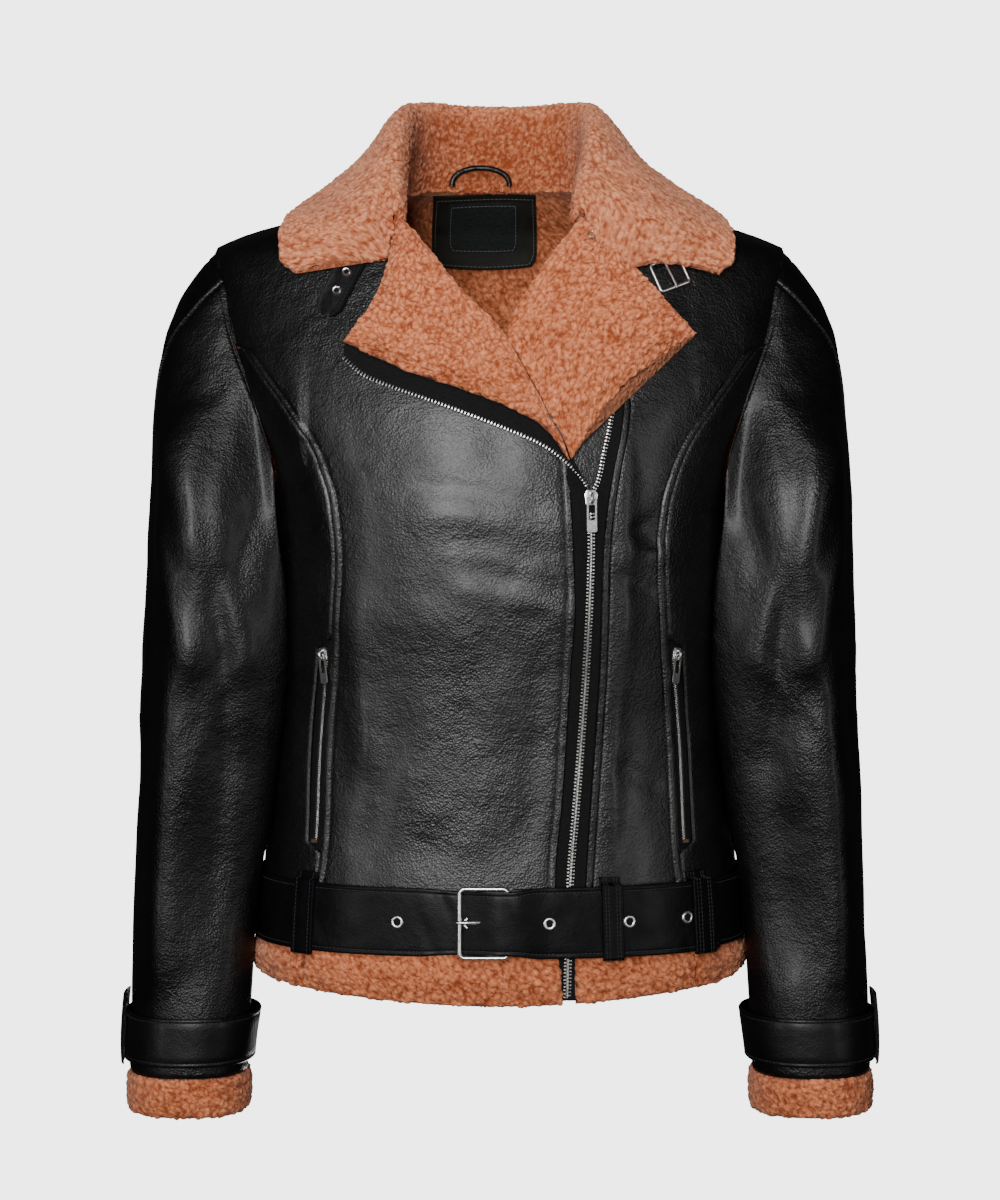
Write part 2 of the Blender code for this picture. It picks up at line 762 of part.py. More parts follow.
def sleeve_skin(around, down, out=0.0):
    """The left sleeve's surface: around is 0 outside and 90 at the front, down is 0 at the armhole."""
    around, down = np.broadcast_arrays(np.asarray(around, float), np.asarray(down, float))
    angle = np.radians(around)
    y0, z0 = armhole_loop(angle, shrink=ARMHOLE_GAP)
    start = torso(turn_at_y(y0, z0), z0, ARMHOLE_LIFT)
    z = z0 + down * (CUFF_EDGE - z0)
    level = sleeve_ring(angle, z)
    origin = sleeve_ring(angle, z0)
    fade = np.clip(down * (z0 - CUFF_EDGE) / SLEEVE_BLEND, 0, 1)
    fade = 1 - fade * fade * (3 - 2 * fade)
    points = level + fade[..., None] * (start - origin)
    points[..., 2] = z
    lift = ridges(SLEEVE_FOLDS, around % 360, z) * (1 - fade)
    points = points + lift[..., None] * ring_out(angle)
    over_belt = np.clip((-470 - z) / 30, 0, 1)
    near = push_out(points, SLEEVE_CLEARANCE + BELT_CLEARANCE * over_belt)
    near[..., 2] = z
    points = np.where((down > 0.012)[..., None], near, points)
    out = np.broadcast_to(np.asarray(out, float), z.shape)
    return points + out[..., None] * ring_out(angle)


def ring_out(angle):
    """The level direction away from the sleeve's middle."""
    return np.stack([np.cos(angle), -np.sin(angle), np.zeros_like(angle)], -1)


def sleeve_ring(angle, z):
    """A level section of the sleeve as a rounded oval between its outer, inner, front and back."""
    outer, inner, front, back = (SLEEVE.read(column, z) for column in ("outer", "inner", "front", "back"))
    half, depth = (outer - inner) / 2, (back - front) / 2
    side, ahead = np.cos(angle), np.sin(angle)
    power = SLEEVE_POWER
    reach = ((np.abs(side) / half) ** power + (np.abs(ahead) / depth) ** power) ** (-1 / power)
    return np.stack([(outer + inner) / 2 + reach * side, (back + front) / 2 - reach * ahead, z], -1)


def sleeve_rows(count):
    """Shares of the sleeve's length, closer together near the armhole."""
    return np.linspace(0, 1, count) ** 1.25


def mirrored(points, side):
    """Points of the left side for the side asked for."""
    return points * np.array([1 if side == "left" else -1, 1, 1])


def build_sleeves():
    """Each sleeve in two pieces, with seams down the outside and the inside of the arm."""
    rows = sleeve_rows(18)
    outer_seam = OUTER_SEAM_TOP + (OUTER_SEAM_CUFF - OUTER_SEAM_TOP) * np.minimum(1, rows * 1.4)
    gap = np.degrees(0.5 * SEAM / 45)
    for side in ("right", "left"):
        for part, columns in (("top", 10), ("under", 11)):
            if part == "top":
                first, last = outer_seam + gap, np.full(len(rows), INNER_SEAM - gap)
            else:
                first, last = np.full(len(rows), INNER_SEAM + gap), outer_seam + 360 - gap
            share = np.linspace(0, 1, columns)
            around = first[:, None] + (last - first)[:, None] * share
            down = np.repeat(rows[:, None], columns, 1)
            outer = mirrored(sleeve_skin(around, down), side)
            inner = mirrored(sleeve_skin(around, down, -SLEEVE_WALL), side)
            add_shell(f"{part}_sleeve_{side}", outer, inner, "leather")


def sleeve_band(name, side, top, end, inside, outside, material):
    """A ring round the sleeve between two heights, from one distance off its surface to another."""
    around = np.linspace(0, 360, BAND_COLUMNS, endpoint=False)
    heights = np.linspace(top, end, 3)
    around, heights = np.meshgrid(around, heights)
    angle = np.radians(around)
    base = sleeve_ring(angle, heights) + ridges(SLEEVE_FOLDS, around, heights)[..., None] * ring_out(angle)
    outer = base + outside * ring_out(angle)
    inner = base + inside * ring_out(angle)
    add_shell(name, mirrored(outer, side), mirrored(inner, side), material, ring=True)


def build_cuffs():
    """The fleece cuff, the strap round the sleeve and the bowed tab at its outer side."""
    for side in ("right", "left"):
        sleeve_band(f"cuff_fleece_{side}", side, CUFF_EDGE - SEAM, CUFF_FLEECE_END, *CUFF_FLEECE, "fleece")
        sleeve_band(f"cuff_strap_{side}", side, *CUFF_STRAP_HEIGHTS, *CUFF_STRAP, "leather")
        around, share = np.meshgrid(np.linspace(-TAB_HALF_ANGLE, TAB_HALF_ANGLE, 6), np.linspace(0, 1, 6))
        heights = TAB_TOP + (TAB_END - TAB_TOP) * share
        angle = np.radians(around)
        base = sleeve_ring(angle, heights)
        lift = TAB_LIFT + TAB_BOW * np.sin(np.pi * share) ** 0.7
        outer = base + (lift + TAB_WALL)[..., None] * ring_out(angle)
        inner = base + lift[..., None] * ring_out(angle)
        add_shell(f"cuff_tab_{side}", mirrored(outer, side), mirrored(inner, side), "leather")


def spline(controls, count):
    """Points on a smooth curve that runs near its control points and through its ends."""
    controls = np.asarray(controls, float)
    first = 2 * controls[0] - controls[1]
    last = 2 * controls[-1] - controls[-2]
    padded = np.concatenate([[first], controls, [last]])
    at = np.linspace(0, len(controls) - 1, count)
    index = np.minimum(at.astype(int), len(controls) - 2)
    t = (at - index).reshape((-1,) + (1,) * (controls.ndim - 1))
    p0, p1, p2, p3 = (padded[index + k] for k in range(4))
    first_share, last_share = (1 - t) ** 3, t**3
    near_share = 3 * t**3 - 6 * t**2 + 4
    far_share = -3 * t**3 + 3 * t**2 + 3 * t + 1
    return (p0 * first_share + p1 * near_share + p2 * far_share + p3 * last_share) / 6


def grid_normals(grid):
    """Unit normals of a grid of points."""
    normal = np.cross(np.gradient(grid, axis=0), np.gradient(grid, axis=1))
    return normal / np.linalg.norm(normal, axis=-1)[..., None]


def collar_face(count, across):
    """The collar's fleece face: rows from the right gorge round the back to the left one."""
    station = np.linspace(-1, 1, count)
    read = {name: COLLAR.read(name, np.abs(station)) for name in COLLAR.columns[1:]}
    side = np.sign(station)
    left = station > 0
    roll_shift = np.where(left, read["left_roll"], 0)
    edge_shift = np.where(left, read["left_edge"], 0)

    def point(name, shift):
        x = side * read[name + "_x"] + shift
        return np.stack([x, read[name + "_y"], read[name + "_z"]], -1)

    neck, roll = point("neck", roll_shift), point("roll", roll_shift)
    bend, edge = point("bend", np.where(left, read["left_bend"], 0)), point("edge", edge_shift)
    bend[:, 2] += np.where(left, read["left_bend_up"], 0)
    away = edge - roll
    away[:, 2] = 0
    away /= np.linalg.norm(away, axis=1)[:, None]
    radius = read["radius"][:, None]
    up = np.array([0, 0, 1.0])
    inside = roll - away * radius * 0.9 - up * radius * 1.1
    top = roll + up * radius * 0.55
    outside = roll + away * radius * 1.15 - up * radius * 0.4
    low = neck + (inside - neck) * 0.4
    controls = np.stack([neck, low, inside, top, outside, bend, (bend + edge) / 2, edge])
    face = np.swapaxes(spline(controls, across), 0, 1)
    fall = np.linspace(0, 1, across) > 0.55
    pushed = push_out(face, COLLAR_WALL + COLLAR_CLEARANCE)
    return np.where(fall[None, :, None], pushed, face)


def build_collar():
    """The collar: stand and fall in one wall that rolls over at the top."""
    face = collar_face(29, 13)
    normal = grid_normals(face)
    middle = normal[14, 3]
    if middle[1] > 0:
        normal = -normal
    add_shell("collar", face, face - normal * COLLAR_WALL, "fleece")


def overhang(z):
    """How far the right lapel rolls past the panel's edge: only above the point of the V."""
    return LAPEL_OVERHANG * np.clip((z - V_POINT + 8) / 20, 0, 1) - 0.4


def bowed(start, end, bow, count):
    """A line between two points of the front that bows sideways in its middle."""
    t = np.linspace(0, 1, count)[:, None]
    start, end = np.asarray(start, float), np.asarray(end, float)
    run = (end - start) / np.linalg.norm(end - start)
    aside = np.array([-run[1], run[0]])
    return start + (end - start) * t + aside * bow * np.sin(np.pi * t)


def lapel(name, roll, notch_side, end_side, outer_side, wall, lift):
    """A folded lapel on the front, spread between its four edges, with rounded rims."""
    rows, columns = len(roll), len(end_side)
    u = np.linspace(0, 1, rows)[:, None, None]
    v = np.linspace(0, 1, columns)[None, :, None]
    across = (1 - v) * roll[:, None] + v * outer_side[:, None]
    along = (1 - u) * notch_side[None] + u * end_side[None]
    corners = (
        (1 - u) * (1 - v) * roll[0]
        + u * (1 - v) * roll[-1]
        + (1 - u) * v * outer_side[0]
        + u * v * outer_side[-1]
    )
    flat = across + along - corners
    rim = np.minimum(np.minimum(v, 1 - v) * columns, np.minimum(u, 1 - u) * rows)[..., 0]
    crown = np.clip(0.62 + 0.38 * rim / 1.5, 0, 1)
    x, z = flat[..., 0], flat[..., 1]
    outer = on_front(x, z, lift + wall * crown)
    inner = on_front(x, z, lift)
    add_shell(name, outer, inner, "fleece")


def build_lapels():
    """Both lapels, folded back from the roll line; the right one lies over the left one's edge."""
    count = 13
    z = np.linspace(RIGHT_LAPEL_TOP, RIGHT_LAPEL["end"][1], count)
    roll = np.stack([RIGHT_EDGE.read("x", z) + overhang(z), z], -1)
    notch, tip, end = (np.array(RIGHT_LAPEL[key], float) for key in ("notch", "tip", "end"))
    outer_side = bowed(notch, tip, RIGHT_LAPEL_HOLLOW, count)
    lower_x = np.linspace(roll[-1][0], tip[0], 9)
    lower = np.stack([lower_x, BAND_TOP.read("z", lower_x) + 0.5], -1)
    lower[0] = roll[-1]
    gorge = bowed(roll[0], notch, 0, 9)
    lapel("lapel_right", roll, gorge, lower, outer_side, RIGHT_LAPEL_WALL, LAID_GAP)

    z = np.linspace(LEFT_LAPEL_TOP, LEFT_LAPEL["end"][1], count)
    beside_right = RIGHT_EDGE.read("x", z) + overhang(z) + LAPEL_STEP
    x = np.maximum(LEFT_EDGE.read("x", z) - LAPEL_OVERHANG, beside_right)
    x = np.where(z < V_POINT, beside_right, x)
    roll = np.stack([x, z], -1)
    notch, tip, end = (np.array(LEFT_LAPEL[key], float) for key in ("notch", "tip", "end"))
    outer_side = bowed(notch, tip, 0, count)
    lower = bowed(roll[-1], tip, LEFT_LAPEL_HOLLOW, 9)
    gorge = bowed(roll[0], notch, 0, 9)
    lapel("lapel_left", roll, gorge, lower, outer_side, LEFT_LAPEL_WALL, LAID_GAP)


def strip(name, first, last, inner_out, outer_out, material, columns=2):
    """A flat strip of the front between two lines of x and z, at a distance off the surface."""
    share = np.linspace(0, 1, columns)[None, :, None]
    flat = first[:, None] * (1 - share) + last[:, None] * share
    x, z = flat[..., 0], flat[..., 1]
    low = np.broadcast_to(np.asarray(inner_out, float).reshape(-1, 1), x.shape)
    high = np.broadcast_to(np.asarray(outer_out, float).reshape(-1, 1), x.shape)
    add_shell(name, on_front(x, z, high), on_front(x, z, low), material)


def build_zip():
    """The front zip: the band on the folded edge, both tapes and the fly behind them."""
    x_top = np.linspace(*BAND_TOP_X, 15)
    x_teeth = np.linspace(*BAND_TEETH_X, 15)
    first = np.stack([x_top, BAND_TOP.read("z", x_top) - 1.0], -1)
    last = np.stack([x_teeth, BAND_TEETH.read("z", x_teeth)], -1)
    z = np.concatenate([ZIP_MERGE, np.linspace(ZIP_START, ZIP_END, 19)])
    ridge = np.stack([RIGHT_EDGE.read("x", z) + 0.6, z], -1)
    meet_x = np.where(z > -222, BAND_LOWER.read("x", z), ZIP_LINE.read("x", z)) - TEETH_GAP
    first = np.concatenate([first, ridge])
    last = np.concatenate([last, np.stack([meet_x, z], -1)])
    drop = np.clip((-199 - first[:, 1]) / 20, 0, 1)
    high = BAND_OUT - BAND_DROP * drop
    strip("zip_band_right", first, last, high - BAND_WALL, high, "zip_tape")

    z = np.concatenate([LEFT_TAPE_START, np.linspace(ZIP_START, ZIP_END, 19)])
    teeth_x = np.where(z > -222, LEFT_TEETH.read("x", z), ZIP_LINE.read("x", z) + TEETH_GAP)
    teeth_x = np.maximum(teeth_x, ZIP_LINE.read("x", z) + TEETH_GAP)
    first = np.stack([teeth_x, z], -1)
    last = np.stack([LEFT_EDGE.read("x", z) - 0.5, z], -1)
    strip("zip_tape_left", first, last, *LEFT_TAPE, "zip_tape")

    z = np.concatenate([np.linspace(FLY_START, ZIP_START, 9), np.linspace(ZIP_START - 21, ZIP_END, 14)])
    first = np.stack([RIGHT_EDGE.read("x", z) + 0.6, z], -1)
    last = np.stack([LEFT_EDGE.read("x", z) - 0.6, z], -1)
    strip("zip_fly", first, last, *FLY, "leather")


def seat(x, z, out):
    """A place on the front: its point, and the directions sideways, up and out there."""
    point = on_front(x, z, out)
    aside = on_front(x + 0.5, z, out) - on_front(x - 0.5, z, out)
    up = on_front(x, z + 0.5, out) - on_front(x, z - 0.5, out)
    aside /= np.linalg.norm(aside)
    normal = np.cross(aside, up)
    normal /= np.linalg.norm(normal)
    return point, aside, np.cross(normal, aside), normal


def placed(where, local, lean=0.0):
    """Local points (sideways, up, out) at a seat, leaned round its normal."""
    point, aside, up, normal = where
    c, s = math.cos(lean), math.sin(lean)
    local = np.asarray(local, float)
    a = local[..., 0] * c + local[..., 1] * s
    b = local[..., 1] * c - local[..., 0] * s
    return point + a[..., None] * aside + b[..., None] * up + local[..., 2][..., None] * normal


def prism(outline, low, high):
    """Points and faces of an outline raised between two heights."""
    outline = np.asarray(outline, float)
    count = len(outline)
    bottom = np.column_stack([outline, np.full(count, low)])
    top = np.column_stack([outline, np.full(count, high)])
    faces = [tuple(range(count - 1, -1, -1)), tuple(range(count, 2 * count))]
    faces += [(j, (j + 1) % count, count + (j + 1) % count, count + j) for j in range(count)]
    return np.concatenate([bottom, top]), faces


def slider(name, where, lean, scale):
    """A zip slider: a shield plate with a bridge that the pull's bar passes under."""
    plate, faces = prism(np.array(SLIDER_PLATE) * scale, 0.0, SLIDER_WALL * scale)
    body = add_piece(name, placed(where, plate, lean), faces, "metal")
    half = BRIDGE_HALF_WIDTH * scale
    rings = []
    for profile in (np.array(BRIDGE_SIDE) * scale, np.array(BRIDGE_ROOM) * scale):
        for across in (-half, half):
            rings.append(np.column_stack([np.full(6, across), profile]))
    local = np.concatenate(rings)
    faces = []
    for j in range(6):
        k = (j + 1) % 6
        faces.append((j, k, 12 + k, 12 + j))
        faces.append((6 + k, 6 + j, 18 + j, 18 + k))
        faces.append((k, j, 6 + j, 6 + k))
        faces.append((12 + j, 12 + k, 18 + k, 18 + j))
    bridge = add_piece(name + "_bridge", placed(where, local, lean), faces, "metal")
    join = body.modifiers.new("bridge", "BOOLEAN")
    join.operation = "UNION"
    join.solver = "EXACT"
    join.object = bridge
    bridge.hide_render = True
    bridge.display_type = "WIRE"
    return body


def pull(name, where, lean, scale, drop):
    """The pull: a long open ring of flat wire that hangs from the bridge and turns on its top bar."""
    high = PULL_HEIGHT * scale
    radius = PULL_WIRE * scale
    width, length = PULL_HALF_WIDTH * scale, PULL_LENGTH * scale
    corner = PULL_CORNER
    path = []
    for cx, cy, start in ((width - corner, -corner, 90), (width - corner, -length + corner, 0)):
        for step in range(3):
            angle = math.radians(start - step * 45)
            path.append((cx + corner * math.cos(angle), cy + corner * math.sin(angle)))
    path += [(-x, y) for x, y in reversed(path)]
    flat = np.array(path)
    local = np.column_stack([flat[:, 0], flat[:, 1], np.full(len(flat), high)])
    local[:, 2] += -flat[:, 1] / length * drop
    add_tube(name, placed(where, local, lean), radius, "metal", sides=6, closed=True)


def build_sliders():
    """The front slider and the two pocket sliders with their pulls and end stops."""
    where = seat(*ZIP_SLIDER_SEAT)
    slider("zip_slider", where, 0.0, 1.0)
    pull("zip_pull", where, 0.0, 1.0, PULL_DROP)
    for side, sign in (("right", -1), ("left", 1)):
        first, last = [], []
        for z in np.linspace(POCKET_TOP - 3, POCKET_END + 3, 14):
            seam = PRINCESS.read("x", z)
            open_width = POCKET_WIDTH * max(pocket_share(z), 0.3)
            first.append((sign * (seam + POCKET_TAPE_MARGIN), z))
            last.append((sign * (seam + open_width - POCKET_TAPE_MARGIN), z))
        strip(f"pocket_tape_{side}", np.array(first), np.array(last), *POCKET_TAPE, "zip_tape")
        x, z, out = POCKET_SLIDER_SEAT
        where = seat(sign * x, z, out)
        lean = math.radians(POCKET_SLIDER_LEAN) * sign
        slider(f"pocket_slider_{side}", where, lean, POCKET_SLIDER_SCALE)
        pull(f"pocket_pull_{side}", where, lean, POCKET_SLIDER_SCALE, POCKET_PULL_DROP)
        middle = sign * (PRINCESS.read("x", POCKET_STOP_Z) + POCKET_WIDTH / 2)
        stop = seat(middle, POCKET_STOP_Z, POCKET_STOP_OUT)
        width, height, depth = POCKET_STOP
        points, faces = prism([(-width / 2, -height / 2), (width / 2, -height / 2), (width / 2, height / 2),
                               (-width / 2, height / 2)], 0, depth)
        add_piece(f"pocket_stop_{side}", placed(stop, points), faces, "metal")


def belt_turns():
    """The belt's way round: turns from the tip on the left side back round to the buckle's bar."""
    start = float(turn_at_x(BELT_TIP_X, BELT_TOP))
    bar = float(turn_at_x(BUCKLE_X[1] + 3.2, BELT_TOP))
    return np.linspace(start, bar - TAU, BELT_STEPS)


def belt_lift(turn):
    """The belt's distance off the body: two layers on the left front, over the bar, then one."""
    over = float(turn_at_x(BUCKLE_X[1], BELT_TOP))
    under = float(turn_at_x(BUCKLE_X[0], BELT_TOP))
    knots = np.array([-TAU, under - 0.02, under + 0.10, over - 0.05, over + 0.03, over + 0.22, TAU])
    first = BELT_SETTING
    second = BELT_SETTING + BELT_WALL + BELT_LAYER_GAP
    bridge = BELT_SETTING + BELT_WALL + 2 * BUCKLE_WIRE + BELT_BRIDGE_GAP
    lifts = np.array([first, first, first + BELT_EASE, bridge, bridge, second, second])
    return np.interp(turn, knots, lifts)


def wire_frame(half_width, half_height, corner, steps):
    """A closed path round a rectangle with rounded corners."""
    path = []
    for cx, cy, start in (
        (half_width - corner, half_height - corner, 0),
        (corner - half_width, half_height - corner, 90),
        (corner - half_width, corner - half_height, 180),
        (half_width - corner, corner - half_height, 270),
    ):
        for step in range(steps):
            angle = math.radians(start + step * 90 / (steps - 1))
            path.append((cx + corner * math.cos(angle), cy + corner * math.sin(angle), 0))
    return path


def eyelet(name, where, outside, hole):
    """A flat metal ring with a slightly drawn-in rim."""
    angle = np.linspace(0, TAU, 10, endpoint=False)
    ring = np.stack([np.cos(angle), np.sin(angle), np.zeros(10)], -1)
    lift = np.array([0, 0, EYELET_WALL])
    outer = np.stack([ring * outside, ring * (outside - EYELET_DRAW) + lift])
    inner = np.stack([ring * hole, ring * hole + lift])
    add_shell(name, placed(where, outer), placed(where, inner), "metal", ring=True)


def build_belt():
    """The belt with its buckle, prong, eyelets and loops."""
    turns = belt_turns()
    lift = belt_lift(turns)
    heights = np.array([BELT_TOP, BELT_TOP - 2, BELT_END + 2, BELT_END])
    round_edge = np.array([0.5, 0, 0, 0.5])
    grid_turn = np.repeat(turns[None], 4, 0)
    grid_z = np.repeat(heights[:, None], len(turns), 1)
    high = lift[None] + BELT_WALL - round_edge[:, None]
    low = lift[None] + round_edge[:, None]
    outer, inner = torso(grid_turn, grid_z, high), torso(grid_turn, grid_z, low)
    add_shell("belt", outer, inner, "belt_leather")

    middle_z = (BELT_TOP + BELT_END) / 2
    middle_x = sum(BUCKLE_X) / 2
    where = seat(middle_x, middle_z, BELT_SETTING + BELT_WALL + BUCKLE_GAP + BUCKLE_WIRE)
    half_width = (BUCKLE_X[1] - BUCKLE_X[0]) / 2
    half_height = (BELT_TOP - BELT_END) / 2 + BUCKLE_WIRE + BUCKLE_OVERHANG
    path = wire_frame(half_width, half_height, 4.0, 4)
    add_tube("belt_buckle", placed(where, path), BUCKLE_WIRE, "metal", sides=6, closed=True)

    path = [(x, BELT_PRONG_RISE, out) for x, out in BELT_PRONG]
    add_tube("belt_prong", placed(where, path), BELT_PRONG_WIRE, "metal", sides=6)

    for number, x in enumerate(EYELET_X, 1):
        z = middle_z
        turn = float(turn_at_x(x, z))
        out = float(belt_lift(turn)) + BELT_WALL + EYELET_GAP
        eyelet(f"belt_eyelet_{number}", seat(x, z, out), EYELET_RADIUS, EYELET_HOLE)

    for name, x in BELT_LOOPS.items():
        build_loop(name, float(turn_at_x(x, middle_z)), x > 0)
    for name, degrees in BACK_LOOPS.items():
        build_loop(name, math.radians(degrees), False)


def build_loop(name, turn, double):
    """A belt loop: a narrow strip that stands over the belt and is sewn down above and below it."""
    half = LOOP_WIDTH / 2 / LOOP_REACH
    over = BELT_SETTING + (BELT_WALL + LOOP_GAP) * (2 if double else 1)
    drop, sink = LOOP_BELOW
    rise = [BELT_TOP + up for up, _ in LOOP_ABOVE]
    flat = [BELT_TOP + LOOP_FLAT[0]] + [BELT_TOP - down for down in LOOP_FLAT[1:]]
    heights = np.array(rise + flat + [BELT_END - drop])
    lifts = np.array([lift for _, lift in LOOP_ABOVE] + [over] * len(LOOP_FLAT) + [over - sink])
    turns, grid_z = np.meshgrid(turn + np.array([-half, -half / 3, half / 3, half]), heights)
    grid_lift = np.repeat(lifts[:, None], 4, 1)
    outer = torso(turns, grid_z, grid_lift + LOOP_WALL)
    inner = torso(turns, grid_z, grid_lift)
    add_shell(name, outer, inner, "belt_leather")


def hem_end(turn):
    """The hem's lower edge: lowest at the front middle."""
    front, back = np.clip(np.cos(turn), 0, 1), np.clip(-np.cos(turn), 0, 1)
    return HEM_SIDE - HEM_FRONT_DROP * front**1.2 - HEM_BACK_DROP * back


def hem_band(name, first, last, columns):
    """A stretch of the fleece hem between two turns, under the belt's lower edge."""
    turns = np.linspace(first, last, columns)
    share = np.array(HEM_SHARES)
    grid_turn = np.repeat(turns[None], 4, 0)
    top = PANEL_END - SEAM
    grid_z = top + (hem_end(turns)[None] - top) * share[:, None]
    crown = np.array(HEM_CROWN)[:, None]
    outer = torso(grid_turn, grid_z, np.broadcast_to(crown, grid_z.shape))
    inner = torso(grid_turn, grid_z, np.full(grid_z.shape, -BODY_WALL))
    add_shell(name, outer, inner, "fleece")


def build_hem():
    """The fleece hem in three lengths, open at the zip."""
    seam = float(turn_at_x(HEM_SIDE_X, PANEL_END))
    gap = HEM_GAP_TURN
    right_end = float(turn_at_x(RIGHT_EDGE.read("x", -570) - 0.6, -570))
    left_start = float(turn_at_x(LEFT_EDGE.read("x", PANEL_END) + 0.8, PANEL_END))
    hem_band("hem_right", -seam + gap, right_end, 11)
    hem_band("hem_left", left_start, seam - gap, 7)
    hem_band("hem_back", seam + gap, TAU - seam - gap, 19)


def build_neck():
    """The bare leather patch inside the back neck and the hanger loop above it."""
    x, z = np.meshgrid(np.linspace(*PATCH_X, 7), np.linspace(*PATCH_Z, 5))
    z = z - PATCH_BOW * np.cos(x / PATCH_X[1] * 0.7 + 0.3) * (z == PATCH_Z[1])
    half, _, back, middle, power = torso_level(z)
    depth = back * (1 - (np.abs(x) / half) ** power) ** (1 / power)
    turn = np.arctan2(x, -depth)
    inside, outside = PATCH_OUT
    add_shell("neck_patch", torso(turn, z, inside), torso(turn, z, outside), "patch")
    angle = np.linspace(0, math.pi, 11)
    x = LOOP_MIDDLE_X + LOOP_HALF_WIDTH * np.cos(angle)
    z = LOOP_FOOT_Z + LOOP_RISE * np.sin(angle) ** 0.8
    stand = np.interp(np.abs(x), COLLAR.read("neck_x", STAND_STATIONS), COLLAR.read("neck_y", STAND_STATIONS))
    y = stand - LOOP_RADIUS - 0.5 - 1.5 * np.sin(angle)
    add_tube("hanger_loop", np.stack([x, y, z], -1), LOOP_RADIUS, "leather", sides=8)


def leaning_strap(name, where, width, run, wall, lean, rows, round_tip=False):
    """A flat strap at a seat, from one height to another, with a square or a rounded end."""
    half = width / 2
    narrow = np.ones(rows)
    if round_tip:
        narrow[-2:] = (0.85, 0.5)
    rows = np.linspace(*run, rows)
    across = np.linspace(-1, 1, 4)
    grid = np.stack(np.meshgrid(across, rows), -1)
    flat_x = grid[..., 0] * half * narrow[:, None]
    local = np.stack([flat_x, grid[..., 1], np.zeros(flat_x.shape)], -1)
    points = placed(where, local, lean)
    x, z = points[..., 0], points[..., 2]
    add_shell(name, on_front(x, z, LAID_GAP + wall), on_front(x, z, np.full(x.shape, LAID_GAP)), "leather")


def build_collar_fastening():
    """The eyelet strap under the right collar point, and the loose buckle under the left one."""
    where = seat(*STRAP_SEAT, 0)
    lean = math.radians(STRAP_LEAN)
    leaning_strap("collar_strap", where, STRAP_WIDTH, STRAP_RUN, STRAP_WALL, lean, 7, round_tip=True)
    for number, up in enumerate(STRAP_EYELETS, 1):
        spot = placed(where, np.array([[0, up, 0]]), lean)[0]
        place = seat(spot[0], spot[2], LAID_GAP + STRAP_WALL + EYELET_GAP)
        eyelet(f"collar_eyelet_{number}", place, STRAP_EYELET_RADIUS, STRAP_EYELET_HOLE)

    lean = math.radians(COLLAR_BUCKLE_LEAN)
    half_width, half_height = COLLAR_BUCKLE_HALF
    on_panel = seat(*COLLAR_BUCKLE_SEAT, 0)
    width, wall = BUCKLE_STRAP_WIDTH, BUCKLE_STRAP_WALL
    leaning_strap("collar_buckle_strap", on_panel, width, BUCKLE_STRAP_RUN, wall, lean, 4)
    where = seat(*COLLAR_BUCKLE_SEAT, LAID_GAP + BUCKLE_STRAP_WALL + SEAM + COLLAR_BUCKLE_WIRE)
    path = wire_frame(half_width, half_height, 2.0, 3)
    add_tube("collar_buckle", placed(where, path, lean), COLLAR_BUCKLE_WIRE, "metal", sides=6, closed=True)
    root = half_height - COLLAR_BUCKLE_WIRE - SEAM
    path = [(0.0, root, 0.0), (0.0, 4.0, 0.5), (0.0, -4.0, 1.7), (0.0, -half_height - 1.5, 2.45)]
    add_tube("collar_prong", placed(where, path, lean), PRONG_WIRE, "metal", sides=6)


def build_lapel_hook():
    """The small metal hook sewn on the left lapel near the gorge."""
    where = seat(*HOOK_SEAT, LAID_GAP + LEFT_LAPEL_WALL - HOOK_SINK)
    angle = np.radians(np.linspace(*HOOK_ARC, 9))
    ring = HOOK_RADIUS * np.stack([np.cos(angle), np.sin(angle), np.zeros(9)], -1)
    local = np.concatenate([ring, HOOK_SHANK])
    add_tube("lapel_hook", placed(where, local, math.radians(HOOK_LEAN)), HOOK_WIRE, "metal", sides=6)


def main():
    """Build every piece of the jacket."""
    clear_scene()
    rows = body_rows()
    build_fronts(rows)
    build_side_fronts(rows)
    build_back(rows)
    build_sleeves()
    build_cuffs()
    build_collar()
    build_lapels()
    build_zip()
    build_sliders()
    build_belt()
    build_hem()
    build_neck()
    build_collar_fastening()
    build_lapel_hook()


main()
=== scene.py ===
"""Looks of a zipped leather jacket with fleece trim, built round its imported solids.

Lengths in this file are millimetres in the solids' own frame (front at -Y, up +Z, the wearer's
left at +X) and become metres where a mesh is made. The body is a stack of level rounded ovals, and
every panel, lapel, zip and belt piece is worked out as a patch or strip of that one surface.
"""

import logging
import math
from dataclasses import dataclass
from enum import Enum
from typing import Callable, Sequence

import bpy
import numpy as np
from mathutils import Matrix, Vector


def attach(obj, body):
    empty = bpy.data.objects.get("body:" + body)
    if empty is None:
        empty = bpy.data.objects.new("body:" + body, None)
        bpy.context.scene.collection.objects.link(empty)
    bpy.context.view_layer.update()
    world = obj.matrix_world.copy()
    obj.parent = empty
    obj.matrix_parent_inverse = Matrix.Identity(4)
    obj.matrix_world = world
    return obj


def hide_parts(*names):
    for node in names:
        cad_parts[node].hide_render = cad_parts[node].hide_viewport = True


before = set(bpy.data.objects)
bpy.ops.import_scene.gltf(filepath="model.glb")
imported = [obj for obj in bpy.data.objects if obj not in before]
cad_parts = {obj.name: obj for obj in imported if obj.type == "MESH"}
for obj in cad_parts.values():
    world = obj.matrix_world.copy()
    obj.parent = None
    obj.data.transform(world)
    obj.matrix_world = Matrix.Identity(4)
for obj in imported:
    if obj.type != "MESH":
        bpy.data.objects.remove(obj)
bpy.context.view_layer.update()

Array = np.ndarray
MM = 0.001
TAU = 2 * math.pi
SEAM = 0.3
log = logging.getLogger("jacket")


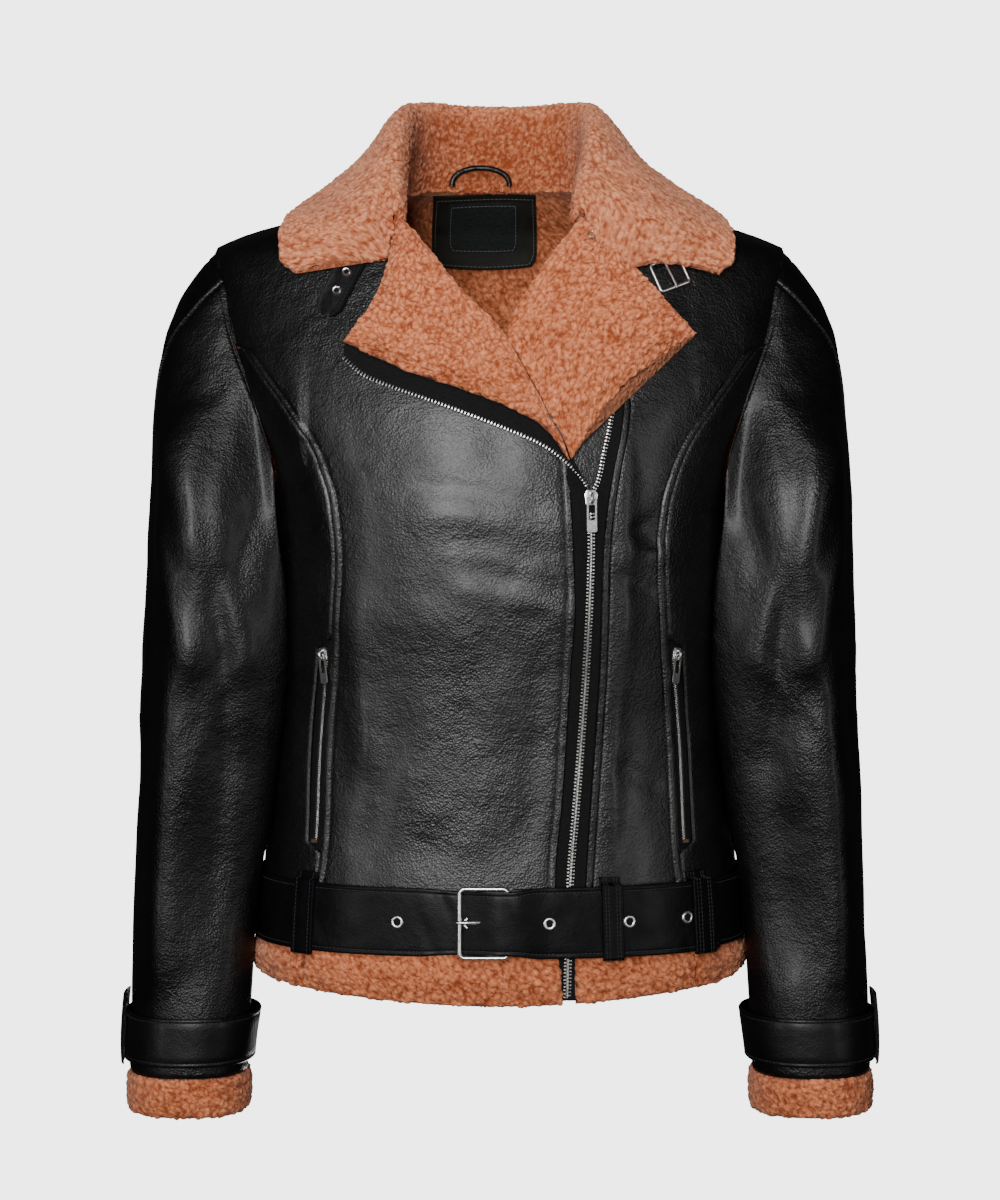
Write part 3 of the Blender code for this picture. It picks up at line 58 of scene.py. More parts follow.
class Slot(Enum):
    """The record's material slots."""

    LEATHER = "leather"
    BELT = "belt_leather"
    FLEECE = "fleece"
    TAPE = "zip_tape"
    METAL = "metal"
    PATCH = "patch"


class Edge(Enum):
    """How a leather panel ends at a seam."""

    PLAIN = 0
    WELT = 1
    TURNED = 2


# Sizes read from tables


class Curve:
    """Rows of sizes under named columns, read as smooth curves over the first column."""

    def __init__(self, columns: str, rows: Sequence[tuple]) -> None:
        """Keep the rows, sorted by their first value.

        Args:
            columns: the columns' names, with spaces between.
            rows: one tuple of numbers a row.
        """
        self.columns = columns.split()
        self.rows = np.array(sorted(rows), float)

    def read(self, column: str, at: Array | float) -> Array:
        """Read a column by piecewise cubics whose slopes are harmonic means, so none overshoots.

        Args:
            column: the column to read.
            at: values of the first column.

        Returns:
            The column's value at each of them.
        """
        key, value = self.rows[:, 0], self.rows[:, self.columns.index(column)]
        at = np.clip(np.asarray(at, float), key[0], key[-1])
        step = np.diff(key)
        rise = np.diff(value) / step
        before, after = rise[:-1], rise[1:]
        same_way = before * after > 0
        mean = 2 / (1 / np.where(same_way, before, 1.0) + 1 / np.where(same_way, after, 1.0))
        slope = np.concatenate([rise[:1], np.where(same_way, mean, 0.0), rise[-1:]])
        index = np.clip(np.searchsorted(key, at) - 1, 0, len(key) - 2)
        t = (at - key[index]) / step[index]
        lead, trail = slope[index] * step[index], slope[index + 1] * step[index]
        start, end = value[index], value[index + 1]
        rising = start * (1 + 2 * t) * (1 - t) ** 2 + lead * t * (1 - t) ** 2
        return rising + end * t * t * (3 - 2 * t) + trail * t * t * (t - 1)


@dataclass(frozen=True)
class Fold:
    """A soft ridge, or a trough where its height is negative, in the surface's width and height."""

    start: tuple[float, float]
    end: tuple[float, float]
    width: float
    height: float

    def lift(self, across: Array, up: Array) -> Array:
        """A bell of the fold's width round its line, faded by a second bell past both ends.

        Args:
            across: places across the surface.
            up: heights on it.

        Returns:
            How far the fold lifts each place.
        """
        start, run = np.array(self.start), np.array(self.end) - np.array(self.start)
        length = float(np.linalg.norm(run))
        along = ((across - start[0]) * run[0] + (up - start[1]) * run[1]) / length
        aside = ((across - start[0]) * run[1] - (up - start[1]) * run[0]) / length
        beyond = np.maximum(0, np.abs(along - length / 2) - length / 3)
        return self.height * np.exp(-((aside / self.width) ** 2) - (beyond / (length / 4)) ** 2)


def fold_rows(rows: Sequence[tuple]) -> tuple[Fold, ...]:
    """Folds from rows of two numbers for the start, two for the end, the width and the height."""
    return tuple(Fold(row[:2], row[2:4], *row[4:]) for row in rows)


def folded(folds: Sequence[Fold], across: Array, up: Array) -> Array:
    """The sum of all the folds' lifts at each place.

    Args:
        folds: the folds.
        across: places across the surface.
        up: heights on it.

    Returns:
        The summed lift.
    """
    across, up = np.broadcast_arrays(np.asarray(across, float), np.asarray(up, float))
    return sum((fold.lift(across, up) for fold in folds), np.zeros(across.shape))


# Noise


def lattice(cell: Array, salt: float) -> Array:
    """A number from 0 to 1 for each whole-number cell: the fraction of a large multiple of a sine.

    Args:
        cell: whole-number positions, three to a cell.
        salt: another number gives another set.

    Returns:
        One number a cell.
    """
    mixed = cell[..., 0] * 12.9898 + cell[..., 1] * 78.233 + cell[..., 2] * 37.719 + salt * 11.137
    wave = np.sin(mixed) * 43758.5453
    return wave - np.floor(wave)


def soft_noise(points: Array, size: float, salt: float = 0.0) -> Array:
    """Smooth noise from -1 to 1: lattice numbers blended by 3t^2 - 2t^3 along each axis.

    Args:
        points: places in millimetres.
        size: the width of one swell.
        salt: another number gives another noise.

    Returns:
        One value a place.
    """
    scaled = points / size
    low = np.floor(scaled)
    t = scaled - low
    t = t * t * (3 - 2 * t)
    total = np.zeros(points.shape[:-1])
    for corner in np.ndindex(2, 2, 2):
        weight = np.prod(np.where(np.array(corner) == 1, t, 1 - t), axis=-1)
        total += weight * lattice(low + np.array(corner), salt)
    return 2 * total - 1


def pebbles(points: Array, size: float, salt: float = 0.0) -> tuple[Array, Array]:
    """Distances to the nearest and second nearest of scattered centres, one to a cubic cell.

    Args:
        points: places in millimetres.
        size: the cell's width.
        salt: another number gives other centres.

    Returns:
        Both distances in cell widths.
    """
    scaled = points / size
    low = np.floor(scaled)
    first = np.full(points.shape[:-1], 9.0)
    second = first.copy()
    for corner in np.ndindex(3, 3, 3):
        cell = low + np.array(corner) - 1
        centre = cell + np.stack([lattice(cell, salt + k) for k in (1, 2, 3)], -1)
        distance = np.linalg.norm(scaled - centre, axis=-1)
        second = np.minimum(second, np.maximum(first, distance))
        first = np.minimum(first, distance)
    return first, second


# Meshes from arrays


def grid_faces(rows: int, columns: int, ring: bool) -> Array:
    """Four-sided faces of a grid, counted row by row.

    Args:
        rows: number of rows of points.
        columns: number of columns of points.
        ring: whether the last column joins the first.

    Returns:
        Point numbers, four to a face.
    """
    i = np.arange(rows - 1)[:, None]
    j = np.arange(columns if ring else columns - 1)[None]
    k = (j + 1) % columns
    corners = [i * columns + j, i * columns + k, (i + 1) * columns + k, (i + 1) * columns + j]
    return np.stack(np.broadcast_arrays(*corners), -1).reshape(-1, 4)


def shell_faces(rows: int, columns: int, ring: bool) -> Array:
    """Faces of a wall: both grids, and the rims that join them.

    Args:
        rows: number of rows of points.
        columns: number of columns of points.
        ring: whether the last column joins the first.

    Returns:
        Point numbers, four to a face, the second grid counted after the first.
    """
    lift = rows * columns
    face = grid_faces(rows, columns, ring)
    j = np.arange(columns if ring else columns - 1)
    k = (j + 1) % columns
    end = (rows - 1) * columns
    parts = [face, lift + face[:, ::-1]]
    parts.append(np.stack([lift + j, lift + k, k, j], -1))
    parts.append(np.stack([end + j, end + k, lift + end + k, lift + end + j], -1))
    if not ring:
        a = np.arange(rows - 1) * columns
        d, b, c = a + columns, a + columns - 1, a + 2 * columns - 1
        parts.append(np.stack([a, d, lift + d, lift + a], -1))
        parts.append(np.stack([c, b, lift + b, lift + c], -1))
    return np.concatenate(parts)


@dataclass
class Piece:
    """A finished mesh piece and what is kept about it: its finish, body, replaced solids, sharp angle, hold
    and what it rests on.
    """

    name: str
    finish: "Finish"
    body: str = "jacket"
    replaces: tuple[str, ...] = ()
    sharp: float = 40.0
    held: str = ""
    rests_on: tuple[str, ...] = ()

    def make(
        self, points: Array, faces: Array, tips: Array | None = None, caps: Array | None = None
    ) -> bpy.types.Object:
        """Put points and faces into a mesh that faces outwards, and let it ride on its body.

        Args:
            points: places in millimetres.
            faces: point numbers, the same number to each face.
            tips: a value from 0 to 1 for each point, kept as the attribute "tip"; the fleece's material
                darkens low values as painted shade.
            caps: more faces with another number of points.

        Returns:
            The new object.
        """
        points = np.asarray(points, float).reshape(-1, 3) * MM
        corner = points[faces]
        fan = np.cross(corner[:, 1:-1], corner[:, 2:])
        caps = np.zeros((0, 3), int) if caps is None else caps
        if float(((corner[:, :1] - points.mean(0)) * fan).sum()) < 0:
            faces, caps = faces[:, ::-1], caps[:, ::-1]
        mesh = bpy.data.meshes.new(self.name)
        mesh.from_pydata(points.tolist(), [], faces.tolist() + caps.tolist())
        mesh.materials.append(self.finish.material())
        mesh.shade_smooth()
        mesh.set_sharp_from_angle(angle=math.radians(self.sharp))
        if tips is not None:
            layer = mesh.attributes.new("tip", "FLOAT", "POINT")
            layer.data.foreach_set("value", np.asarray(tips, np.float32).ravel())
        obj = bpy.data.objects.new(self.name, mesh)
        bpy.context.scene.collection.objects.link(obj)
        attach(obj, self.body)
        if self.replaces:
            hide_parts(*self.replaces)
        log.info("%s: %d faces", self.name, len(faces))
        return obj

    def shell(
        self, outer: Array, inner: Array, ring: bool = False, tips: Array | None = None
    ) -> bpy.types.Object:
        """A wall between two grids of points.

        Args:
            outer: the outer grid.
            inner: the inner grid.
            ring: whether the last column joins the first.
            tips: values for the outer grid; the inner one gets a half.

        Returns:
            The new object.
        """
        rows, columns = outer.shape[:2]
        points = np.concatenate([outer.reshape(-1, 3), inner.reshape(-1, 3)])
        if tips is not None:
            tips = np.concatenate([tips.ravel(), np.full(rows * columns, 0.5)])
        obj = self.make(points, shell_faces(rows, columns, ring), tips)
        if self.held:
            self.cut(outer)
        return obj

    def cut(self, grid: Array) -> None:
        """Args:
            grid: points over the sheet, in millimetres.
        """
        sides = [np.linalg.norm(np.diff(grid, axis=axis), axis=-1).sum(axis).max() * MM for axis in (0, 1)]
        corner = np.cross(grid[1:, 1:] - grid[:-1, :-1], grid[1:, :-1] - grid[:-1, 1:])
        area = 0.5 * float(np.linalg.norm(corner, axis=-1).sum()) * MM**2
        width, length = (round(float(side), 4) for side in sides)
        area = min(max(area, 0.301 * width * length), width * length)
        list(self.rests_on)

    def tube(
        self, path: Array, radius: float | Array, sides: int = 12, closed: bool = False, flat: float = 1.0
    ) -> bpy.types.Object:
        """A round bar: circles of the radius square to the path, in the plane that fits it best.

        Args:
            path: its middle line.
            radius: its radius, one or one a point.
            sides: points round it.
            closed: whether the path is a loop.
            flat: its thickness across the path's plane, as a share of its width.

        Returns:
            The new object.
        """
        return self.ringed(tube_rings(path, radius, sides, closed, flat), closed=closed)

    def ringed(self, rings: Array, tips: Array | None = None, closed: bool = False) -> bpy.types.Object:
        """A closed skin over rings of points, capped at both ends unless the last joins the first.

        Args:
            rings: one row of points a ring.
            tips: one value a point.
            closed: whether the last ring joins the first.

        Returns:
            The new object.
        """
        rows, columns = rings.shape[:2]
        if closed:
            return self.make(rings, loop_faces(rows, columns), tips)
        ends = np.stack([np.arange(columns)[::-1], np.arange(columns) + (rows - 1) * columns])
        return self.make(rings, grid_faces(rows, columns, True), tips, ends)


def loop_faces(rows: int, sides: int) -> Array:
    """Faces of a grid that closes both ways.

    Args:
        rows: number of rings.
        sides: points in each.

    Returns:
        Point numbers, four to a face.
    """
    i, j = np.arange(rows)[:, None], np.arange(sides)[None]
    n, k = (i + 1) % rows, (j + 1) % sides
    corners = [i * sides + j, i * sides + k, n * sides + k, n * sides + j]
    return np.stack(np.broadcast_arrays(*corners), -1).reshape(-1, 4)


def tube_rings(path: Array, radius: float | Array, sides: int, closed: bool, flat: float) -> Array:
    """Rings of points square to a path.

    Args:
        path: the middle line.
        radius: one radius, or one a point.
        sides: points in a ring.
        closed: whether the path is a loop.
        flat: thickness across the path's own plane, as a share of the width.

    Returns:
        A grid of points, one row a ring.
    """
    path = np.asarray(path, float)
    ahead = np.roll(path, -1, 0) - np.roll(path, 1, 0) if closed else np.gradient(path, axis=0)
    ahead /= np.linalg.norm(ahead, axis=1)[:, None]
    plane = np.linalg.svd(path - path.mean(0))[2][-1]
    across = np.cross(ahead, plane)
    across /= np.linalg.norm(across, axis=1)[:, None]
    up = np.cross(across, ahead)
    angle = np.arange(sides) * TAU / sides + math.pi / sides
    size = np.broadcast_to(np.asarray(radius, float), (len(path),))[:, None, None]
    wide = np.cos(angle)[None, :, None] * across[:, None]
    deep = np.sin(angle)[None, :, None] * up[:, None] * flat
    return path[:, None] + size * (wide + deep)


def scattered(template: Array, faces: Array, at: Array, along: Array, normal: Array) -> tuple[Array, Array]:
    """Copies of a small shape, each set in its own place and directions.

    Args:
        template: the shape's points, as distances along, across and out.
        faces: its faces.
        at: the copies' places.
        along: their lengthwise directions.
        normal: their outward directions.

    Returns:
        All the points and all the faces.
    """
    along = along / np.linalg.norm(along, axis=-1)[..., None]
    across = np.cross(normal, along)
    across /= np.linalg.norm(across, axis=-1)[..., None]
    frames = np.stack([along, across, np.cross(along, across)], 1)
    points = at[:, None] + np.einsum("pk,nkd->npd", template, frames)
    lift = np.arange(len(at))[:, None, None] * len(template)
    return points.reshape(-1, 3), (faces[None] + lift).reshape(-1, faces.shape[1])


def block(length: float, width: float, height: float, draw: float = 0.3) -> tuple[Array, Array]:
    """A small block with four sides whose ends and top are drawn in, for a tooth or a stitch.

    Args:
        length: its size along.
        width: its size across.
        height: its size out, from its foot.
        draw: how far its ends and top are drawn in, as a share of its size.

    Returns:
        Its points and faces.
    """
    rings = []
    for x, size in ((-0.5, 1 - draw), (-0.32, 1.0), (0.32, 1.0), (0.5, 1 - draw)):
        w, h, top = width / 2 * size, height * size, width / 2 * size * (1 - draw)
        rings.append([(x * length, -w, 0), (x * length, -top, h), (x * length, top, h), (x * length, w, 0)])
    ends = np.array([[3, 2, 1, 0], [12, 13, 14, 15]])
    return np.array(rings).reshape(-1, 3), np.concatenate([grid_faces(4, 4, True), ends])


# Finishes


class Nodes:
    """Short calls for a material's node tree."""

    def __init__(self, name: str) -> None:
        """Start a material of that name with its Principled shader."""
        self.material = bpy.data.materials.new(name)
        self.material.use_nodes = True
        self.tree = self.material.node_tree
        self.shader = self.tree.nodes["Principled BSDF"]
        self.place = self.add("ShaderNodeTexCoord").outputs["Object"]

    def add(self, kind: str, **values: float | str | bool) -> bpy.types.Node:
        """Add a node and set its named properties or input values.

        Args:
            kind: the node's type.
            values: properties, or inputs by name with underscores for spaces.

        Returns:
            The node.
        """
        node = self.tree.nodes.new(kind)
        for key, value in values.items():
            socket = node.inputs.get(key.replace("_", " "))
            if socket is None:
                setattr(node, key, value)
            else:
                socket.default_value = value
        return node

    def link(self, start: bpy.types.NodeSocket, end: bpy.types.NodeSocket) -> None:
        """Join two sockets."""
        self.tree.links.new(start, end)

    def noise(self, scale: float, detail: float = 3.0, stretch: tuple = (1, 1, 1)) -> bpy.types.NodeSocket:
        """Noise over the piece's own place.

        Args:
            scale: swells to a metre.
            detail: octaves.
            stretch: how much closer the swells lie along each axis.

        Returns:
            The noise's output.
        """
        spread = self.add("ShaderNodeMapping")
        spread.inputs["Scale"].default_value = stretch
        self.link(self.place, spread.inputs["Vector"])
        node = self.add("ShaderNodeTexNoise", Scale=scale, Detail=detail, Roughness=0.6)
        self.link(spread.outputs["Vector"], node.inputs["Vector"])
        return node.outputs["Fac"]

    def cells(self, scale: float, feature: str = "F1") -> bpy.types.NodeSocket:
        """Distance to scattered centres over the piece's own place.

        Args:
            scale: cells to a metre.
            feature: which distance.

        Returns:
            The distance's output.
        """
        node = self.add("ShaderNodeTexVoronoi", feature=feature, Scale=scale)
        self.link(self.place, node.inputs["Vector"])
        return node.outputs["Distance"]

    def swirled(self, size: float) -> bpy.types.NodeSocket:
        """Distance to scattered centres in a space bent by slow noise, so that cells curl.

        Args:
            size: about how far apart the centres are, in metres.

        Returns:
            The distance's output.
        """
        swirl = self.add("ShaderNodeTexNoise", Scale=0.7 / size, Detail=2.0)
        self.link(self.place, swirl.inputs["Vector"])
        bent = self.add("ShaderNodeVectorMath", operation="MULTIPLY_ADD")
        bent.inputs[1].default_value = (1.5 * size,) * 3
        self.link(swirl.outputs["Color"], bent.inputs[0])
        self.link(self.place, bent.inputs[2])
        node = self.add("ShaderNodeTexVoronoi", feature="F1", Scale=1 / size)
        self.link(bent.outputs["Vector"], node.inputs["Vector"])
        return node.outputs["Distance"]

    def span(
        self, source: bpy.types.NodeSocket, low: float, high: float, to: tuple = (0, 1)
    ) -> bpy.types.NodeSocket:
        """Bring a range of values to another range.

        Args:
            source: the values.
            low: where the range starts.
            high: where it ends.
            to: the new start and end.

        Returns:
            The new values.
        """
        node = self.add("ShaderNodeMapRange")
        for key, value in zip(("From Min", "From Max", "To Min", "To Max"), (low, high, *to)):
            node.inputs[key].default_value = value
        self.link(source, node.inputs["Value"])
        return node.outputs["Result"]

    def blend(self, share: bpy.types.NodeSocket, first: tuple, last: tuple) -> bpy.types.NodeSocket:
        """A colour between two others.

        Args:
            share: 0 gives the first and 1 the last.
            first: a colour.
            last: another.

        Returns:
            The colour's output.
        """
        node = self.add("ShaderNodeMix", data_type="RGBA")
        node.inputs[6].default_value = (*first, 1)
        node.inputs[7].default_value = (*last, 1)
        self.link(share, node.inputs["Factor"])
        return node.outputs[2]

    def sum(
        self, first: bpy.types.NodeSocket, last: bpy.types.NodeSocket, share: float
    ) -> bpy.types.NodeSocket:
        """The first value plus a share of the last.

        Args:
            first: one value.
            last: another.
            share: how much of it is added.

        Returns:
            The sum.
        """
        node = self.add("ShaderNodeMath", operation="MULTIPLY_ADD")
        node.inputs[1].default_value = share
        self.link(last, node.inputs[0])
        self.link(first, node.inputs[2])
        return node.outputs[0]

    def bump(self, height: bpy.types.NodeSocket, distance: float, strength: float = 1.0) -> None:
        """Raise the shader's surface by a height in metres over one unit of the value."""
        node = self.add("ShaderNodeBump", Distance=distance, Strength=strength)
        self.link(height, node.inputs["Height"])
        self.link(node.outputs["Normal"], self.shader.inputs["Normal"])

    def settle(self, **values: float | tuple) -> None:
        """Set the shader's own inputs, by name with underscores for spaces."""
        for key, value in values.items():
            self.shader.inputs[key.replace("_", " ")].default_value = value


@dataclass(frozen=True)
class Finish:
    """A finish: its name, its material slot and one material made the first time it is asked for."""

    name: str
    slot: Slot

    def material(self) -> bpy.types.Material:
        """The finish's material."""
        found = bpy.data.materials.get(self.name)
        return found if found else self.build(Nodes(self.name))

    def build(self, nodes: Nodes) -> bpy.types.Material:
        """Fill in the nodes; each kind of finish has its own."""
        raise NotImplementedError


@dataclass(frozen=True)
class Leather(Finish):
    """Black coated leather: fine pebbled grain, faint creases and uneven gloss."""

    colour: tuple[float, float, float] = (0.0013, 0.0010, 0.0010)
    roughness: float = 0.35
    grain: float = 0.00026
    grain_scale: float = 620.0
    crease: float = 0.0011
    gloss: float = 0.5

    def build(self, nodes: Nodes) -> bpy.types.Material:
        """Grain is cells plus fine noise; creases are a slow noise; gloss varies with both."""
        cell = nodes.cells(self.grain_scale)
        fine = nodes.noise(self.grain_scale * 2.4, 2.0)
        slow = nodes.noise(70.0, 4.0)
        patch = nodes.noise(16.0, 2.0)
        relief = nodes.sum(nodes.sum(cell, fine, 0.5), slow, self.crease / self.grain)
        nodes.bump(relief, self.grain, 1.0)
        tint = nodes.blend(nodes.span(slow, 0.3, 0.7), self.colour, tuple(2.1 * c for c in self.colour))
        nodes.link(tint, nodes.shader.inputs["Base Color"])
        worn = nodes.span(patch, 0.3, 0.7, (self.roughness - 0.05, self.roughness + 0.09))
        nodes.link(nodes.sum(worn, cell, 0.05), nodes.shader.inputs["Roughness"])
        nodes.settle(Specular_IOR_Level=self.gloss, Coat_Weight=0.3 * self.gloss, Coat_Roughness=0.24)
        return nodes.material


@dataclass(frozen=True)
class Fleece(Finish):
    """Curly pile: pale at the tips of the curls, with painted shade in the deep colour between them, and fine
    fibres.
    """

    tip: tuple[float, float, float] = (0.86, 0.345, 0.180)
    # deep: the colour in the gaps between curls, painted shade.
    deep: tuple[float, float, float] = (0.26, 0.052, 0.016)
    curl_size: float = 0.0034
    curl_depth: float = 0.0009
    modelled: bool = True

    def build(self, nodes: Nodes) -> bpy.types.Material:
        """Small procedural curls and fibres, on top of the attribute "tip" where curls are modelled; low
        values get the deep colour, which is painted shade.
        """
        fibre = nodes.noise(1250.0, 4.0)
        cloud = nodes.noise(45.0, 2.0)
        curl = nodes.span(nodes.swirled(self.curl_size), 0.72, 0.05)
        # This value picks the colour from deep to tip: the fibre and cloud noises give real tone, and the
        # curls and their modelled heights give painted shade in the gaps.
        tone_and_painted_shade = nodes.sum(nodes.sum(nodes.sum(fibre, fibre, -0.55), curl, 0.25), cloud, 0.2)
        if self.modelled:
            tip = nodes.add("ShaderNodeAttribute", attribute_name="tip")
            tone_and_painted_shade = nodes.sum(tone_and_painted_shade, tip.outputs["Fac"], 0.85)
        else:
            tone_and_painted_shade = nodes.sum(tone_and_painted_shade, curl, 0.6)
        colour = nodes.blend(nodes.span(tone_and_painted_shade, 0.55, 1.25), self.deep, self.tip)
        nodes.link(colour, nodes.shader.inputs["Base Color"])
        nodes.bump(nodes.sum(curl, fibre, 0.45), self.curl_depth, 0.9)
        nodes.settle(Roughness=0.95, Specular_IOR_Level=0.1, Sheen_Weight=0.25, Sheen_Roughness=0.5)
        nodes.settle(Sheen_Tint=(1.0, 0.72, 0.58, 1.0))
        return nodes.material


@dataclass(frozen=True)
class Woven(Finish):
    """Black woven tape or thread: fine ribs across a dull ground."""

    colour: tuple[float, float, float] = (0.0035, 0.0035, 0.0038)
    rib_scale: float = 1500.0
    gloss: float = 0.75

    def build(self, nodes: Nodes) -> bpy.types.Material:
        """Ribs are noise drawn out sideways; the colour follows them a little."""
        rib = nodes.noise(self.rib_scale, 1.0, (0.25, 0.25, 1.6))
        fuzz = nodes.noise(self.rib_scale * 2, 2.0)
        nodes.bump(nodes.sum(rib, fuzz, 0.4), 0.00035, 0.9)
        colour = nodes.blend(nodes.span(rib, 0.3, 0.7), self.colour, tuple(2.4 * c for c in self.colour))
        nodes.link(colour, nodes.shader.inputs["Base Color"])
        nodes.settle(Roughness=self.gloss, Specular_IOR_Level=0.12)
        return nodes.material


@dataclass(frozen=True)
class Metal(Finish):
    """Plated metal: bright, with faint wear in its gloss."""

    colour: tuple[float, float, float] = (0.78, 0.77, 0.75)
    roughness: float = 0.2

    def build(self, nodes: Nodes) -> bpy.types.Material:
        """Roughness varies with a fine noise, and a faint dimpling breaks up reflections."""
        wear = nodes.noise(900.0, 3.0)
        worn = nodes.span(wear, 0.3, 0.7, (self.roughness, self.roughness + 0.12))
        nodes.link(worn, nodes.shader.inputs["Roughness"])
        colour = nodes.blend(nodes.span(wear, 0.25, 0.75), tuple(0.88 * c for c in self.colour), self.colour)
        nodes.link(colour, nodes.shader.inputs["Base Color"])
        nodes.bump(nodes.noise(1400.0, 2.0), 0.00006, 0.6)
        nodes.settle(Metallic=1.0)
        return nodes.material


LEATHER = Leather("black_leather", Slot.LEATHER)
SLEEVE_LEATHER = Leather("sleeve_leather", Slot.LEATHER, gloss=0.30)
STRAP_LOOK = ((0.0014, 0.0014, 0.0018), 0.38, 0.00010, 900.0, 0.0006)
SOFT_LEATHER = Leather("soft_leather", Slot.BELT, *STRAP_LOOK, 0.13)
STRAP_LEATHER = Leather("strap_leather", Slot.LEATHER, *STRAP_LOOK, 0.24)
PATCH_LOOK = ((0.0062, 0.0062, 0.0048), 0.6, 0.00012, 800.0, 0.0003)
PATCH_LEATHER = Leather("patch_leather", Slot.PATCH, *PATCH_LOOK, 0.2)
PATCH_CLOTH = Woven("patch_cloth", Slot.PATCH, (0.007, 0.008, 0.008), 1300.0, 0.9)
PATCH_THREAD = Woven("patch_thread", Slot.PATCH, (0.05, 0.05, 0.05), 3000.0, 0.5)
COLLAR_FLEECE = Fleece("collar_fleece", Slot.FLEECE)
TRIM_FLEECE = Fleece("trim_fleece", Slot.FLEECE, (0.76, 0.255, 0.115), (0.21, 0.040, 0.012))
LAPEL_FLEECE = Fleece("lapel_fleece", Slot.FLEECE, (0.85, 0.300, 0.142), (0.26, 0.050, 0.015))
LINING_FLEECE = Fleece("lining_fleece", Slot.FLEECE, (0.70, 0.235, 0.105), (0.20, 0.042, 0.014))
PLAIN_COLOURS = ((0.60, 0.21, 0.11), (0.30, 0.07, 0.026))
PLAIN_FLEECE = Fleece("plain_fleece", Slot.FLEECE, *PLAIN_COLOURS, 0.0042, 0.0016, False)
TAPE = Woven("woven_tape", Slot.TAPE)
THREAD = Woven("black_thread", Slot.LEATHER, (0.016, 0.016, 0.017), 3000.0, 0.5)
NICKEL = Metal("bright_metal", Slot.METAL, (0.88, 0.87, 0.85), 0.27)
TEETH = Metal("zip_teeth", Slot.METAL, (0.50, 0.48, 0.46), 0.24)
BRASS = Metal("end_stop_brass", Slot.METAL, (0.72, 0.46, 0.26), 0.3)


# The body's surface

TORSO = Curve(
    "z half_width front back middle power",
    [
        (60, 62, 46, 66, 2, 2.0),
        (0, 66, 46, 70, 2, 2.1),
        (-10, 90, 55, 77, 2, 2.2),
        (-20, 117, 62, 82, 2, 2.3),
        (-28, 141, 67, 87, 2, 2.35),
        (-35, 166, 71, 91, 2, 2.4),
        (-43, 191, 75, 94, 2, 2.4),
        (-52, 209, 79, 97, 2, 2.4),
        (-70, 212, 86, 101, 2, 2.4),
        (-90, 211, 93, 104, 2, 2.4),
        (-112, 208, 101, 107, 2, 2.4),
        (-140, 200, 109, 110, 1, 2.4),
        (-170, 190, 115, 112, 0, 2.4),
        (-204, 179, 120, 112, 0, 2.4),
        (-242, 171, 123, 110, 0, 2.4),
        (-300, 165, 122, 104, 0, 2.4),
        (-360, 163, 117, 99, 0, 2.4),
        (-420, 167, 114, 98, 0, 2.4),
        (-480, 173, 114, 101, 0, 2.4),
        (-533, 178, 116, 105, 0, 2.4),
        (-595, 182, 118, 108, 0, 2.4),
    ],
)
BODY_FOLDS = fold_rows((
    (-66, -216, 40, -232, 9, -2.4), (-40, -252, 44, -268, 10, -2.0), (88, -170, 90, -330, 9, 2.2),
    (84, -330, 78, -480, 9, 1.8), (100, -244, 112, -262, 10, -2.0),
    (-104, -300, -96, -420, 13, 2.0),
))
EXTRA_FOLDS = fold_rows((
    (-66, -216, 40, -232, 9, 1.6), (-40, -252, 44, -268, 10, 1.2), (-20, -276, 48, -292, 7, -0.6),
    (-30, -292, 46, -304, 8, 0.8), (92, -262, 120, -270, 7, 1.2), (84, -282, 112, -296, 7, -1.2),
    (86, -420, 116, -436, 8, -1.0), (-150, -140, -120, -260, 10, 1.3),
    (-92, -470, -70, -380, 12, -1.2), (-20, -480, -6, -360, 14, 1.0),
    (20, -470, 30, -340, 10, -1.0), (158, -240, 150, -420, 9, 1.4),
    (-158, -240, -152, -420, 9, 1.4),
))
BACK_FOLDS = fold_rows((
    (-120, -190, -60, -236, 12, -1.8), (118, -176, 64, -228, 12, -1.8),
    (-104, -430, 60, -452, 12, -1.8), (-70, -398, 96, -412, 12, 1.6),
    (-150, -330, -128, -470, 13, 1.6), (148, -320, 130, -476, 13, 1.6),
    (-40, -120, -30, -330, 26, -1.6), (60, -130, 54, -340, 26, -1.4),
))


